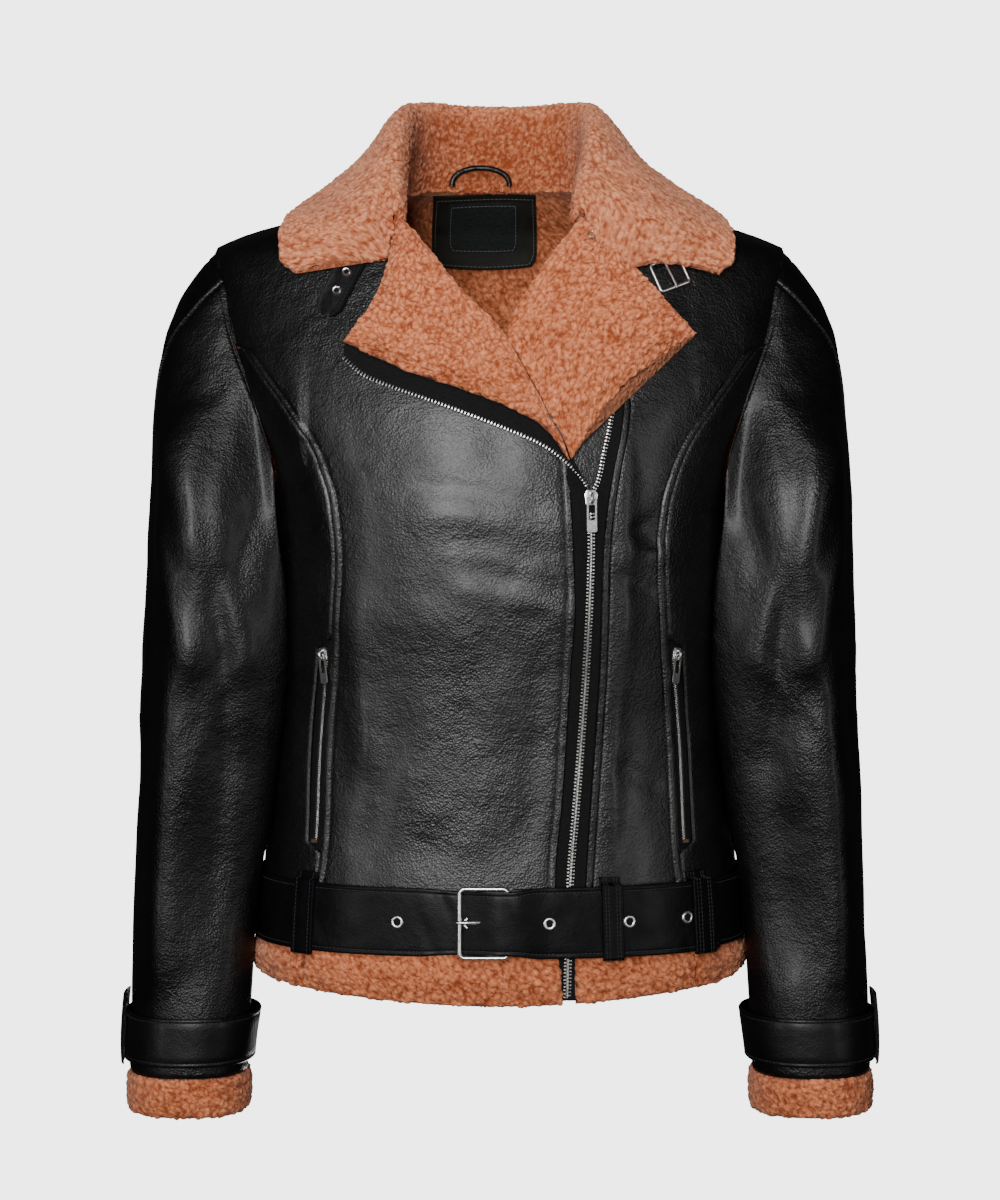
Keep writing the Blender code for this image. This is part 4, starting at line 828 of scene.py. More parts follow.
class Body:
    """The body's outer surface, by turn round it and height."""

    def level(self, z: Array | float) -> list[Array]:
        """The ring's half width, front depth, back depth, middle and power at height z."""
        return [TORSO.read(name, z) for name in TORSO.columns[1:]]

    def skin(self, turn: Array, z: Array) -> Array:
        """Superellipse rings, lifted by the main folds in front.

        Args:
            turn: 0 at the front's middle, a quarter turn at the wearer's left.
            z: heights.

        Returns:
            Points of the surface.
        """
        half, front, back, middle, power = self.level(z)
        side, ahead = np.sin(turn), np.cos(turn)
        depth = np.where(ahead > 0, front, back)
        reach = ((np.abs(side) / half) ** power + (np.abs(ahead) / depth) ** power) ** (-1 / power)
        reach = reach + np.where(ahead > 0, folded(BODY_FOLDS, reach * side, z), 0.0)
        return np.stack([reach * side, middle - reach * ahead, z], -1)

    def point(self, turn: Array | float, z: Array | float, out: Array | float = 0.0) -> Array:
        """Points moved out along the surface's normal, from differences over small steps.

        Args:
            turn: turns round the body.
            z: heights.
            out: distances off the surface.

        Returns:
            The points.
        """
        turn, z, out = np.broadcast_arrays(*(np.asarray(v, float) for v in (turn, z, out)))
        around = self.skin(turn + 0.004, z) - self.skin(turn - 0.004, z)
        upward = self.skin(turn, z + 0.5) - self.skin(turn, z - 0.5)
        normal = np.cross(around, upward)
        normal /= np.linalg.norm(normal, axis=-1)[..., None]
        return self.skin(turn, z) + out[..., None] * normal

    def turn_at_x(self, x: Array | float, z: Array | float) -> Array:
        """The turn at which the front has that x: the superellipse solved for its depth."""
        half, front, _, _, power = self.level(z)
        share = np.clip(np.abs(x) / half, 0, 1)
        return np.arctan2(x, front * (1 - share**power) ** (1 / power))

    def turn_at_y(self, y: Array | float, z: Array | float) -> Array:
        """The turn at which the left side has that y: the superellipse solved for its width."""
        half, front, back, middle, power = self.level(z)
        away = np.asarray(y, float) - middle
        share = np.clip(np.abs(away) / np.where(away < 0, front, back), 0, 1)
        return np.arctan2(half * (1 - share**power) ** (1 / power), -away)

    def front(self, x: Array | float, z: Array | float, out: Array | float = 0.0) -> Array:
        """Points of the front by x and height, moved out along the normal."""
        return self.point(self.turn_at_x(x, z), z, out)

    def share(self, points: Array) -> Array:
        """How far out points lie, as a share of the ring at their height."""
        x, y, z = np.moveaxis(points, -1, 0)
        half, front, back, middle, power = self.level(z)
        away = y - middle
        depth = np.where(away < 0, front, back)
        return ((np.abs(x) / half) ** power + (np.abs(away) / depth) ** power) ** (1 / power)

    def push_out(self, points: Array, clearance: Array | float, steps: int = 6) -> Array:
        """Move points that lie too near straight away from the body, up the slope of their share.

        Args:
            points: the points.
            clearance: the least distance.
            steps: how many times they move.

        Returns:
            The moved points.
        """
        points = np.array(points, float)
        for _ in range(steps):
            share = self.share(points)
            ends = [self.share(points + step) - self.share(points - step) for step in np.eye(3) * 0.5]
            slope = np.stack(ends, -1)
            size = np.maximum(np.linalg.norm(slope, axis=-1), 1e-6)
            short = np.maximum(0, clearance - (share - 1) / size)
            points += slope / size[..., None] * short[..., None]
        return points

    def seat(self, x: float, z: float, out: float) -> tuple[Array, Array, Array, Array]:
        """A place on the front: its point, and the directions sideways, up and out there."""
        point = self.front(x, z, out)
        aside = self.front(x + 0.5, z, out) - self.front(x - 0.5, z, out)
        up = self.front(x, z + 0.5, out) - self.front(x, z - 0.5, out)
        aside = aside / np.linalg.norm(aside)
        normal = np.cross(aside, up)
        normal /= np.linalg.norm(normal)
        return point, aside, np.cross(normal, aside), normal


BODY = Body()


def placed(where: tuple[Array, Array, Array, Array], local: Array, lean: float = 0.0) -> Array:
    """Points given sideways, up and out from a seat, leaned round its normal.

    Args:
        where: the seat.
        local: the points.
        lean: the lean in radians.

    Returns:
        The points in the jacket's frame.
    """
    point, aside, up, normal = where
    local = np.asarray(local, float)
    a = local[..., 0] * math.cos(lean) + local[..., 1] * math.sin(lean)
    b = local[..., 1] * math.cos(lean) - local[..., 0] * math.sin(lean)
    return point + a[..., None] * aside + b[..., None] * up + local[..., 2][..., None] * normal


# Lines and folds of the cut, in millimetres

RIGHT_EDGE = Curve("z x", [
    (0, -77), (-15, -77), (-28, -75), (-36, -67), (-48, -55), (-72, -36), (-98, -12), (-112, 3),
    (-142, 21), (-170, 36), (-198, 49), (-212, 50), (-245, 52), (-300, 54), (-350, 51), (-400, 48),
    (-440, 45.5), (-500, 40.5), (-595, 40),
])

LEFT_EDGE = Curve("z x", [
    (0, 72), (-15, 69), (-26, 63), (-34, 57), (-48, 44), (-72, 27), (-98, 11), (-112, 5),
    (-120, 11), (-142, 27), (-156, 87), (-177, 85), (-205, 80), (-236, 75.5), (-266, 73),
    (-300, 72), (-350, 70.5), (-392, 68), (-452, 64), (-503, 61), (-595, 56),
])

ZIP_LINE = Curve(
    "z x", [(-222, 64), (-260, 65), (-300, 64), (-360, 61), (-450, 54.5), (-503, 50.4), (-595, 48)]
)

PRINCESS = Curve("z x", [
    (-122, 185.5), (-141, 171), (-162, 155), (-187, 138), (-208, 128.5), (-231, 122), (-272, 118.5),
    (-317, 120.5), (-339, 121.5), (-413, 127), (-478, 130), (-560, 141), (-595, 142),
])
ARMHOLE_TOP = -51
ARMHOLE_END = -242
SIDE_FRONT_TOP = -122
SEAM_STITCH_IN = 6.3
POCKET_TOP = -328.0
POCKET_END = -486.0
POCKET_WIDTH = 10.0
POCKET_RAMP = 8.0
LEAST_TURN = 0.01

ARMHOLE = (
    (5, -51), (-20, -57), (-34, -72), (-41, -92), (-47, -113), (-55, -140), (-63, -170),
    (-67, -200), (-61, -224), (-37, -238), (0, -242), (36, -237), (58, -219), (66, -190),
    (65, -155), (58, -120), (48, -90), (35, -66), (21, -55),
)
ARMHOLE_MIDDLE = (2, -146)

SLEEVE = Curve(
    "z outer inner front back",
    [
        (-51, 209, 150, -50, 56),
        (-59, 216, 149, -53, 59),
        (-73, 227, 148, -58, 63),
        (-87, 236, 147, -62, 66),
        (-99, 241, 146, -65, 67),
        (-115, 247, 144, -68, 67),
        (-140, 251, 142, -71, 66),
        (-203, 256, 139, -77, 60),
        (-283, 260, 139, -80, 48),
        (-340, 263, 143, -80, 42),
        (-385, 265, 150, -78, 39),
        (-461, 268, 163, -73, 36),
        (-538, 271, 174, -70, 33),
        (-603, 273, 180, -68, 31),
        (-655, 275, 186, -68, 31),
        (-690, 275, 187, -67, 30),
    ],
)
SLEEVE_POWER = 2.35
SLEEVE_BLEND = 105.0
SLEEVE_CLEARANCE = 2.0
BELT_CLEARANCE = 4.2
ARMHOLE_GAP = 2.1
ARMHOLE_LIFT = 1.2
OUTER_SEAM_TOP = 26.0
OUTER_SEAM_CUFF = -34.0
INNER_SEAM = 168.0
CUFF_STRAP = (1.4, 3.6)
CUFF_STRAP_HEIGHTS = (-610.0, -646.0)
TAB_HALF_ANGLE = 20.0
TAB_TOP = -598.0
TAB_END = -650.0
TAB_LIFT = 4.1
TAB_BOW = 1.2
TAB_WALL = 1.8

SLEEVE_FOLDS = fold_rows((
    (62, -96, 95, -168, 11, 3.5), (52, -178, 74, -262, 15, 4.0), (74, -262, 112, -352, 15, 3.5),
    (112, -232, 84, -330, 12, -3.0), (66, -360, 120, -430, 18, -2.5),
    (228, -250, 262, -330, 17, 3.5), (262, -340, 236, -420, 16, 3.0),
    (300, -290, 322, -370, 15, -2.5),
))

COLLAR = Curve(
    "station neck_x neck_y neck_z roll_x roll_y roll_z bend_x bend_y bend_z edge_x edge_y edge_z"
    " radius left_roll left_bend left_edge left_bend_up",
    [
        (0.00, 0, 68, -5, 0, 80, 55, 0, 112, 24, 0, 116, -40, 11, 0, 0, 0, 0),
        (0.14, 25, 67, -5, 29, 78, 56, 36, 110, 25, 44, 115, -40, 11, 0, 0, 0, 0),
        (0.28, 47, 59, -5.2, 53, 66, 58, 70, 94, 26, 91, 98, -37, 11, -1, 0, 0, 0),
        (0.42, 61, 41, -6, 67, 43, 56, 95, 62, 22, 127, 66, -28, 11, -2, 2, 2, 0),
        (0.56, 67, 15, -7, 71, 14, 48, 103, 24, 15, 146, 22, -22, 11, -4, 2, 6, 0),
        (0.70, 68.5, -12, -10, 73, -14, 34, 107, -16, 3, 155, -26, -29, 10, -7, 2, 9, 0),
        (0.84, 69, -34, -16, 74, -40, 11, 106, -56, -11, 160, -64, -43, 10, -12, 2, 10, 1),
        (0.93, 68, -50, -23, 74, -57, -6, 98, -77, -27, 159, -75, -56, 9, -16, 5, 10, 1),
        (1.00, 67.5, -59, -29, 74, -69, -24, 84, -82, -46, 147, -80, -67, 8, -18, 4, 10, -5),
    ],
)
COLLAR_REST = 3.0
TRIM_REST = 0.7
RIGHT_LAPEL = {"notch": (-80, -57.5), "tip": (-111, -116), "end": (50, -199)}
LEFT_LAPEL = {"notch": (90, -57), "tip": (139, -111), "end": (52, -199)}
V_POINT = -112.0
LAPEL_OVERHANG = 2.0
LAPEL_STEP = 1.3
RIGHT_LAPEL_TOP = -34.0
LEFT_LAPEL_TOP = -32.0
RIGHT_LAPEL_HOLLOW = 5.0
LEFT_LAPEL_HOLLOW = 10.0

BAND_TOP = Curve(
    "x z", [(-111, -117), (-70, -136), (-27, -150), (3, -161), (28, -174), (43, -186), (51, -200)]
)

BAND_TEETH = Curve("x z", [
    (-112, -127), (-98, -139), (-80, -147), (-41, -160.5), (3, -177), (31, -189.5), (51, -205),
    (59, -213.5), (64, -222),
])

LEFT_TEETH = Curve("z x", [(-160, 81), (-177, 78), (-194, 74.5), (-214, 70.5), (-222, 66.5)])

BAND_LOWER = Curve("z x", [(-207, 55.5), (-214, 59), (-222, 64)])


def gap_turn(z: Array) -> Array:
    """Half a seam's gap as a turn on the ring at height z."""
    return 0.5 * SEAM / np.minimum(TORSO.read("front", z), TORSO.read("half_width", z))


def armhole_loop(angle: Array, shrink: float = 0.0) -> tuple[Array, Array]:
    """The armhole by angle round its middle: a smooth curve through its points, read as a reach.

    Args:
        angle: angles from straight up, towards the front.
        shrink: how much the reach is shortened.

    Returns:
        Depths and heights.
    """
    rough = np.array(ARMHOLE, float)
    at = np.linspace(0, len(rough), 400, endpoint=False)
    index = at.astype(int)
    t = (at - index)[:, None]
    p0, p1, p2, p3 = (rough[(index + k) % len(rough)] for k in (-1, 0, 1, 2))
    square, cube = (2 * p0 - 5 * p1 + 4 * p2 - p3) * t**2, (3 * p1 - p0 - 3 * p2 + p3) * t**3
    spoke = 0.5 * (2 * p1 + (p2 - p0) * t + square + cube) - np.array(ARMHOLE_MIDDLE)
    around = np.arctan2(-spoke[:, 0], spoke[:, 1]) % TAU
    order = np.argsort(around)
    reach = np.interp(angle % TAU, around[order], np.linalg.norm(spoke, axis=1)[order] - shrink, period=TAU)
    return ARMHOLE_MIDDLE[0] - reach * np.sin(angle), ARMHOLE_MIDDLE[1] + reach * np.cos(angle)


def armhole_turn(z: Array, behind: bool = False) -> Array:
    """The turn of the armhole's front or back line at heights z, on the left side."""
    y, height = armhole_loop(np.linspace(0, math.pi, 361) + (math.pi if behind else 0), -0.5)
    order = np.argsort(height)
    return BODY.turn_at_y(np.interp(z, height[order], y[order]), z)


def arc(points: Array, axis: int) -> tuple[Array, Array]:
    """Distances along one axis of a grid, from its first and from its last point.

    Args:
        points: a grid of points.
        axis: 0 goes down the rows and 1 along them.

    Returns:
        Both distances.
    """
    step = np.linalg.norm(np.diff(points, axis=axis), axis=-1)
    walk = np.cumsum(step, axis=axis)
    walk = np.concatenate([np.zeros_like(np.take(walk, [0], axis)), walk], axis)
    return walk, np.take(walk, [-1], axis) - walk


def grid_normals(grid: Array) -> Array:
    """Unit normals of a grid of points, from its differences both ways."""
    normal = np.cross(np.gradient(grid, axis=0), np.gradient(grid, axis=1))
    return normal / np.maximum(np.linalg.norm(normal, axis=-1), 1e-9)[..., None]


def smoothed(grid: Array, reach: int) -> Array:
    """A grid of vectors averaged three times over square windows of a half width."""
    for _ in range(3):
        for axis in (0, 1):
            sides = [(reach + 1, reach) if k == axis else (0, 0) for k in range(3)]
            total = np.cumsum(np.pad(grid, sides, mode="edge"), axis=axis)
            window = 2 * reach + 1
            ahead = np.take(total, np.arange(window, total.shape[axis]), axis)
            behind = np.take(total, np.arange(total.shape[axis] - window), axis)
            grid = (ahead - behind) / window
    return grid


def step_up(value: Array, low: float, high: float) -> Array:
    """A smooth step from 0 at low to 1 at high: 3t^2 - 2t^3."""
    t = np.clip((value - low) / (high - low), 0, 1)
    return t * t * (3 - 2 * t)


def bell(value: Array, middle: float, width: float) -> Array:
    """A bell of height 1: e to the minus square of the distance in widths."""
    return np.exp(-(((value - middle) / width) ** 2))


def edge_lift(kind: Edge, distance: Array) -> Array:
    """How far leather rises beside a seam of that kind, by its distance from the seam."""
    dip = -1.0 * bell(distance, 0, 1.2)
    if kind is Edge.PLAIN:
        return dip
    height, groove = (0.95, 0.45) if kind is Edge.WELT else (0.8, 0.35)
    ridge = height * (step_up(distance, 0.0, 1.0) - step_up(distance, 4.4, 6.0))
    return ridge - groove * bell(distance, 6.3, 0.8) - 0.5 * bell(distance, 0, 0.5)


# Leather panels and their linings

ARMHOLE_ALLOWANCE = 0.045
CUFF_EDGE = -655.0
CUFF_FLEECE_TOP = -655.3
CUFF_FLEECE_END = -685.0


@dataclass(frozen=True)
class Cloth:
    """Thicknesses and grid steps of the bonded shearling, in millimetres."""

    leather: float = 1.4
    body_wall: float = 5.5
    sleeve_wall: float = 4.5
    step: float = 4.0
    near: tuple[float, ...] = (0, 0.35, 0.9, 1.6, 2.6, 4.0, 5.2, 6.3, 7.4)


CLOTH = Cloth()


def spread(width: Array, step: float, near: Sequence[float]) -> Array:
    """Distances across rows of given widths: fixed ones near both ends, even ones between.

    Args:
        width: each row's width.
        step: about how far apart the even ones lie in the widest row.
        near: the fixed distances from an end.

    Returns:
        One row of distances for each width.
    """
    edge = np.array(near, float)
    count = max(3, int((width.max() - 2 * edge[-1]) / step))
    scale = np.minimum(1, width / (2.6 * edge[-1]))[:, None]
    middle = np.linspace(0, 1, count)[None, 1:-1]
    span = width[:, None] - 2 * edge[-1] * scale
    between = edge[-1] * scale + span * middle
    return np.concatenate([edge * scale, between, width[:, None] - edge[::-1] * scale], 1)


@dataclass(frozen=True)
class Panel:
    """One body panel: its turns at both side edges by height, and how it ends at each."""

    name: str
    first: Callable[[Array], Array]
    last: Callable[[Array], Array]
    edges: tuple[Edge, Edge]
    top: float = -6.0
    end: float = -550.0
    lining_step: float = 9.0

    def heights(self, step: float) -> Array:
        """Row heights, closer together at the top and the end."""
        length = self.top - self.end
        return self.top - spread(np.array([length]), step, CLOTH.near)[0]

    def turns(self, z: Array, step: float, near: Sequence[float]) -> tuple[Array, Array, Array]:
        """Turns across every row at measured distances along the cloth.

        Args:
            z: row heights.
            step: about how far apart the columns are.
            near: distances of the columns nearest each edge.

        Returns:
            Turns, and distances from the first and the last edge.
        """
        first, last = self.first(z)[:, None], self.last(z)[:, None]
        fine = first + (last - first) * np.linspace(0, 1, 121)
        walk, _ = arc(BODY.skin(fine, np.repeat(z[:, None], 121, 1)), 1)
        along = spread(walk[:, -1], step, near)
        turns = np.array([np.interp(a, w, f) for a, w, f in zip(along, walk, fine)])
        return turns, along, walk[:, -1:] - along

    def leather(self) -> bpy.types.Object:
        """The leather: the body's surface plus soft swells, wrinkles and the raised cloth at its seams."""
        z = self.heights(CLOTH.step)
        turns, from_first, from_last = self.turns(z, CLOTH.step, CLOTH.near)
        heights = np.repeat(z[:, None], turns.shape[1], 1)
        base = BODY.point(turns, heights)
        out = self.swell(base, turns)
        out = out + edge_lift(self.edges[0], from_first) + edge_lift(self.edges[1], from_last)
        out -= 0.8 * bell(heights, self.end, 2.0)
        inside = BODY.point(turns, heights, np.minimum(out, 0.2) - CLOTH.leather)
        piece = Piece(f"{self.name}_leather", LEATHER, replaces=(self.name,), held="hung")
        return piece.shell(BODY.point(turns, heights, out), inside)

    def swell(self, points: Array, turns: Array) -> Array:
        """Uneven softness of the cloth: two noises and the finer wrinkles, calm under belt and lapels."""
        x, y, z = np.moveaxis(points, -1, 0)
        loose = step_up(np.abs(z + 530), 28, 60) * step_up(-z, 8, 40)
        wave = 1.5 * soft_noise(points * np.array([1, 1, 0.75]), 62, 3) + 0.6 * soft_noise(points, 24, 5)
        wrinkle = np.where(np.cos(turns) > 0, folded(EXTRA_FOLDS, x, z), folded(BACK_FOLDS, x, z))
        out = loose * (wave + wrinkle) - 0.35
        covered = (y < 0) & (z > -205) & (np.abs(x) < 140)
        return np.where(covered, np.minimum(out, -0.2), out)

    def lining(self, finish: Finish) -> bpy.types.Object:
        """The plain fleece behind the leather, one wall on a coarse grid."""
        z = np.linspace(self.top, self.end, int((self.top - self.end) / self.lining_step))
        turns = self.turns(z, self.lining_step, (0, 3.6))[0][:, 1:-1]
        heights = np.repeat(z[:, None], turns.shape[1], 1)
        outside, inside = -CLOTH.body_wall + 0.9, -CLOTH.body_wall - 1.1
        piece = Piece(f"{self.name}_lining", finish, held="hung", rests_on=(f"{self.name}_leather",))
        return piece.shell(BODY.point(turns, heights, outside), BODY.point(turns, heights, inside))


def allowance(z: Array) -> Array:
    """How far, in turn, the body's leather runs on under the sleeve from the armhole."""
    below_top = step_up(-z, -ARMHOLE_TOP, 15 - ARMHOLE_TOP)
    return ARMHOLE_ALLOWANCE * below_top * step_up(z, ARMHOLE_END, 16 + ARMHOLE_END)


def outer_line(z: Array) -> Array:
    """The middle fronts' outer edge: shoulder seam, armhole, then side-front seam."""
    seam = BODY.turn_at_x(PRINCESS.read("x", z), z)
    below = np.where(z > SIDE_FRONT_TOP, armhole_turn(z) + allowance(z), seam)
    return np.where(z > ARMHOLE_TOP, TAU / 4, below)


def side_line(z: Array) -> Array:
    """The side fronts' outer edge: the armhole, then the side seam."""
    return np.where(z > ARMHOLE_END, armhole_turn(z) + allowance(z), TAU / 4)


def pocket_share(z: Array) -> Array:
    """How far the pocket's slit is open at heights z, from 0 to 1."""
    return np.clip(np.minimum(POCKET_TOP - z, z - POCKET_END) / POCKET_RAMP, 0, 1)


def slit_line(z: Array) -> Array:
    """The side fronts' inner edge: the side-front seam, set back along the pocket's slit."""
    seam = BODY.turn_at_x(PRINCESS.read("x", z) + POCKET_WIDTH * pocket_share(z), z) + gap_turn(z)
    return np.minimum(seam, side_line(z) - gap_turn(z) - LEAST_TURN)


def back_line(z: Array) -> Array:
    """The back's left edge: shoulder seam, the armhole's back line, then the side seam."""
    beside = (z < ARMHOLE_TOP) & (z > ARMHOLE_END)
    return np.where(beside, armhole_turn(z, behind=True) - allowance(z), TAU / 4) + gap_turn(z)


def right_edge(z: Array) -> Array:
    """The right front's inner edge as turns."""
    return BODY.turn_at_x(RIGHT_EDGE.read("x", z), z) - gap_turn(z)


def left_edge(z: Array) -> Array:
    """The left front's inner edge as turns."""
    return BODY.turn_at_x(LEFT_EDGE.read("x", z), z) + gap_turn(z)


PANELS = (
    Panel("front_right", lambda z: gap_turn(z) - outer_line(z), right_edge, (Edge.WELT, Edge.TURNED)),
    Panel("front_left", left_edge, lambda z: outer_line(z) - gap_turn(z), (Edge.TURNED, Edge.WELT)),
    Panel("side_front_right", lambda z: gap_turn(z) - side_line(z), lambda z: -slit_line(z),
          (Edge.PLAIN, Edge.PLAIN), top=float(SIDE_FRONT_TOP)),
    Panel("side_front_left", slit_line, lambda z: side_line(z) - gap_turn(z),
          (Edge.PLAIN, Edge.PLAIN), top=float(SIDE_FRONT_TOP)),
    Panel("back", back_line, lambda z: TAU - back_line(z), (Edge.PLAIN, Edge.PLAIN), lining_step=7.5),
)


@dataclass(frozen=True)
class SleeveForm:
    """One sleeve's surface, worked out on the left and mirrored for the right."""

    side: str

    def mirror(self, points: Array) -> Array:
        """Points of the left side, for this side."""
        return points * np.array([1 if self.side == "left" else -1, 1, 1])

    def ring(self, angle: Array, z: Array) -> Array:
        """A level rounded oval between the sleeve's outer, inner, front and back at height z."""
        outer, inner, front, back = (SLEEVE.read(name, z) for name in SLEEVE.columns[1:])
        half, depth = (outer - inner) / 2, (back - front) / 2
        side, ahead = np.cos(angle), np.sin(angle)
        reach = (np.abs(side) / half) ** SLEEVE_POWER + (np.abs(ahead) / depth) ** SLEEVE_POWER
        reach = reach ** (-1 / SLEEVE_POWER)
        return np.stack([(outer + inner) / 2 + reach * side, (back + front) / 2 - reach * ahead, z], -1)

    def away(self, angle: Array) -> Array:
        """The level direction away from the sleeve's middle."""
        return np.stack([np.cos(angle), -np.sin(angle), np.zeros_like(angle)], -1)

    def skin(self, around: Array, down: Array, out: Array | float = 0.0) -> Array:
        """The sleeve from its armhole to its cuff, for the left side.

        Args:
            around: degrees, 0 at the outside and 90 at the front.
            down: 0 at the armhole and 1 at the cuff.
            out: distances off the surface.

        Returns:
            The points.
        """
        around, down, out = np.broadcast_arrays(*(np.asarray(v, float) for v in (around, down, out)))
        angle = np.radians(around)
        y0, z0 = armhole_loop(angle, ARMHOLE_GAP)
        start = BODY.point(BODY.turn_at_y(y0, z0), z0, ARMHOLE_LIFT)
        z = z0 + down * (CUFF_EDGE - z0)
        fade = 1 - step_up(down * (z0 - CUFF_EDGE), 0, SLEEVE_BLEND)
        points = self.ring(angle, z) + fade[..., None] * (start - self.ring(angle, z0))
        points[..., 2] = z
        lift = folded(SLEEVE_FOLDS, around % 360, z) * (1 - fade)
        points = points + lift[..., None] * self.away(angle)
        near = BODY.push_out(points, SLEEVE_CLEARANCE + BELT_CLEARANCE * np.clip((-470 - z) / 30, 0, 1))
        near[..., 2] = z
        points = np.where((down > 0.012)[..., None], near, points)
        return points + out[..., None] * self.away(angle)

    def lean(self, around: Array, z: Array) -> Array:
        """How the sleeve's front turns outwards: full at its outer third, hollow towards the body."""
        hang = step_up(-z, 110, 190) * (1 - step_up(-z, 520, 600))
        return hang * (2.6 * bell(around, 58, 18) - 6.0 * bell(around, 112, 26))

    def band(self, around: Array, z: Array, out: Array | float) -> Array:
        """Points of this side's sleeve end by height, with its folds, at a distance off it."""
        angle = np.radians(around)
        out = np.asarray(out, float) + folded(SLEEVE_FOLDS, around % 360, z)
        return self.mirror(self.ring(angle, z) + out[..., None] * self.away(angle))


SLEEVE_WRINKLES = fold_rows((
    (47, -160, 46, -262, 8, 2.2), (46, -262, 68, -345, 8, 2.6), (70, -180, 84, -300, 8, -2.6),
    (84, -300, 100, -380, 9, -2.8), (58, -380, 64, -600, 12, 2.0), (100, -400, 104, -560, 14, -2.0),
    (30, -240, 34, -420, 9, -2.0), (40, -110, 78, -150, 8, 1.5), (70, -130, 110, -190, 9, -1.6),
    (30, -170, 60, -150, 8, -1.2), (92, -300, 56, -380, 9, 1.8), (104, -330, 70, -402, 8, -1.6),
    (60, -404, 104, -350, 9, 1.6), (40, -320, 46, -420, 12, -1.4), (56, -430, 58, -600, 16, 1.6),
    (86, -450, 84, -600, 14, -1.3), (24, -220, 28, -330, 12, 1.4), (6, -250, 10, -420, 12, -1.6),
    (210, -300, 250, -372, 12, -1.8), (300, -200, 330, -280, 14, 1.8),
    (250, -450, 300, -520, 16, 1.4), (200, -420, 230, -480, 12, -1.4),
))


class Sleeves:
    """Both sleeves' leather and linings, each in a top and an under piece."""

    rows = 150
    columns = 58

    def build(self) -> None:
        """Make all four leather pieces and their linings."""
        for side in ("right", "left"):
            form = SleeveForm(side)
            for part in ("top", "under"):
                self.piece(form, part)

    def seams(self, down: Array, part: str) -> tuple[Array, Array]:
        """The two seams of a piece in degrees round the sleeve, for shares of its length."""
        outer = OUTER_SEAM_TOP + (OUTER_SEAM_CUFF - OUTER_SEAM_TOP) * np.minimum(1, down * 1.4)
        gap = math.degrees(0.5 * SEAM / 45)
        if part == "top":
            return outer + gap, np.full(len(down), INNER_SEAM - gap)
        return np.full(len(down), INNER_SEAM + gap), outer + 360 - gap

    def piece(self, form: SleeveForm, part: str) -> None:
        """One piece: its leather with swells, wrinkles and welted seams, and its lining."""
        length = 560.0
        down = spread(np.array([length]), length / self.rows, CLOTH.near)[0] / length
        first, last = self.seams(down, part)
        share = spread(np.array([130.0]), 130 / self.columns, CLOTH.near)[0] / 130
        around = first[:, None] + (last - first)[:, None] * share
        down = np.repeat(down[:, None], len(share), 1)
        base = form.skin(around, down)
        from_first, from_last = arc(base, 1)
        salt = 11 if form.side == "left" else 17
        wave = 1.5 * soft_noise(base, 55, salt) + 0.6 * soft_noise(base, 26, salt + 1)
        slack = folded(SLEEVE_WRINKLES, around % 360, base[..., 2])
        free = step_up(down, 0.02, 0.08) * (1 - step_up(-base[..., 2], 575, 612))
        near_body = step_up(base[..., 0], 172, 200)
        outer_kind = Edge.WELT if part == "under" else Edge.PLAIN
        kinds = (outer_kind, Edge.PLAIN) if part == "top" else (Edge.PLAIN, outer_kind)
        out = free * near_body * (wave + slack) - 0.3
        out += edge_lift(kinds[0], from_first) + edge_lift(kinds[1], from_last)
        out += 2.0 * bell(around, 180, 35) * bell(base[..., 2], -450, 60) + form.lean(around, base[..., 2])
        out -= 1.0 * bell(down * length, 0, 3.0) + 0.9 * bell((1 - down) * length, 0, 2.0)
        out -= 0.9 * bell(down * length, 5.2, 1.0)
        outer = form.mirror(form.skin(around, down, out))
        inner = form.mirror(form.skin(around, down, np.minimum(out, 0.2) - CLOTH.leather))
        name = f"{part}_sleeve_{form.side}"
        Piece(f"{name}_leather", SLEEVE_LEATHER, replaces=(name,), held="hung",
              rests_on=("back_leather",)).shell(outer, inner)
        down = np.linspace(0, 1, 40)
        first, last = self.seams(down, part)
        around = first[:, None] + (last - first)[:, None] * np.linspace(0, 1, 16)
        down = np.repeat(down[:, None], 16, 1)
        under = np.minimum(form.lean(around, form.skin(around, down)[..., 2]), 0) - CLOTH.sleeve_wall
        outer = form.mirror(form.skin(around, down, under - 1.5))
        inner = form.mirror(form.skin(around, down, under - 3.5))
        Piece(f"{name}_lining", PLAIN_FLEECE, held="hung", rests_on=(f"{name}_leather",)).shell(outer, inner)


# Fleece


@dataclass(frozen=True)
class Curls:
    """The size of the pile's curls, how high they stand and how ragged an edge they make."""

    size: float = 3.9
    height: float = 1.7
    ragged: float = 0.9
    salt: float = 0.0

    def heights(self, points: Array) -> Array:
        """Curl height from 0 to 1: rounded cells with deep creases, warped, with smaller ones on top."""
        warp = [soft_noise(points, self.size * 1.4, self.salt + k) for k in (21, 22, 23)]
        bent = points + 0.62 * self.size * np.stack(warp, -1)
        bent = bent * np.array([1.0, 1.0, 0.85])
        first, second = pebbles(bent, self.size, self.salt)
        small, next_small = pebbles(bent, self.size * 0.47, self.salt + 7)
        large = 1 - np.exp(-4.5 * (second - first))
        fine = 1 - np.exp(-4.5 * (next_small - small))
        return np.clip(0.5 * large + 0.26 * np.clip(1.05 - first, 0, 1) + 0.24 * fine, 0, 1)


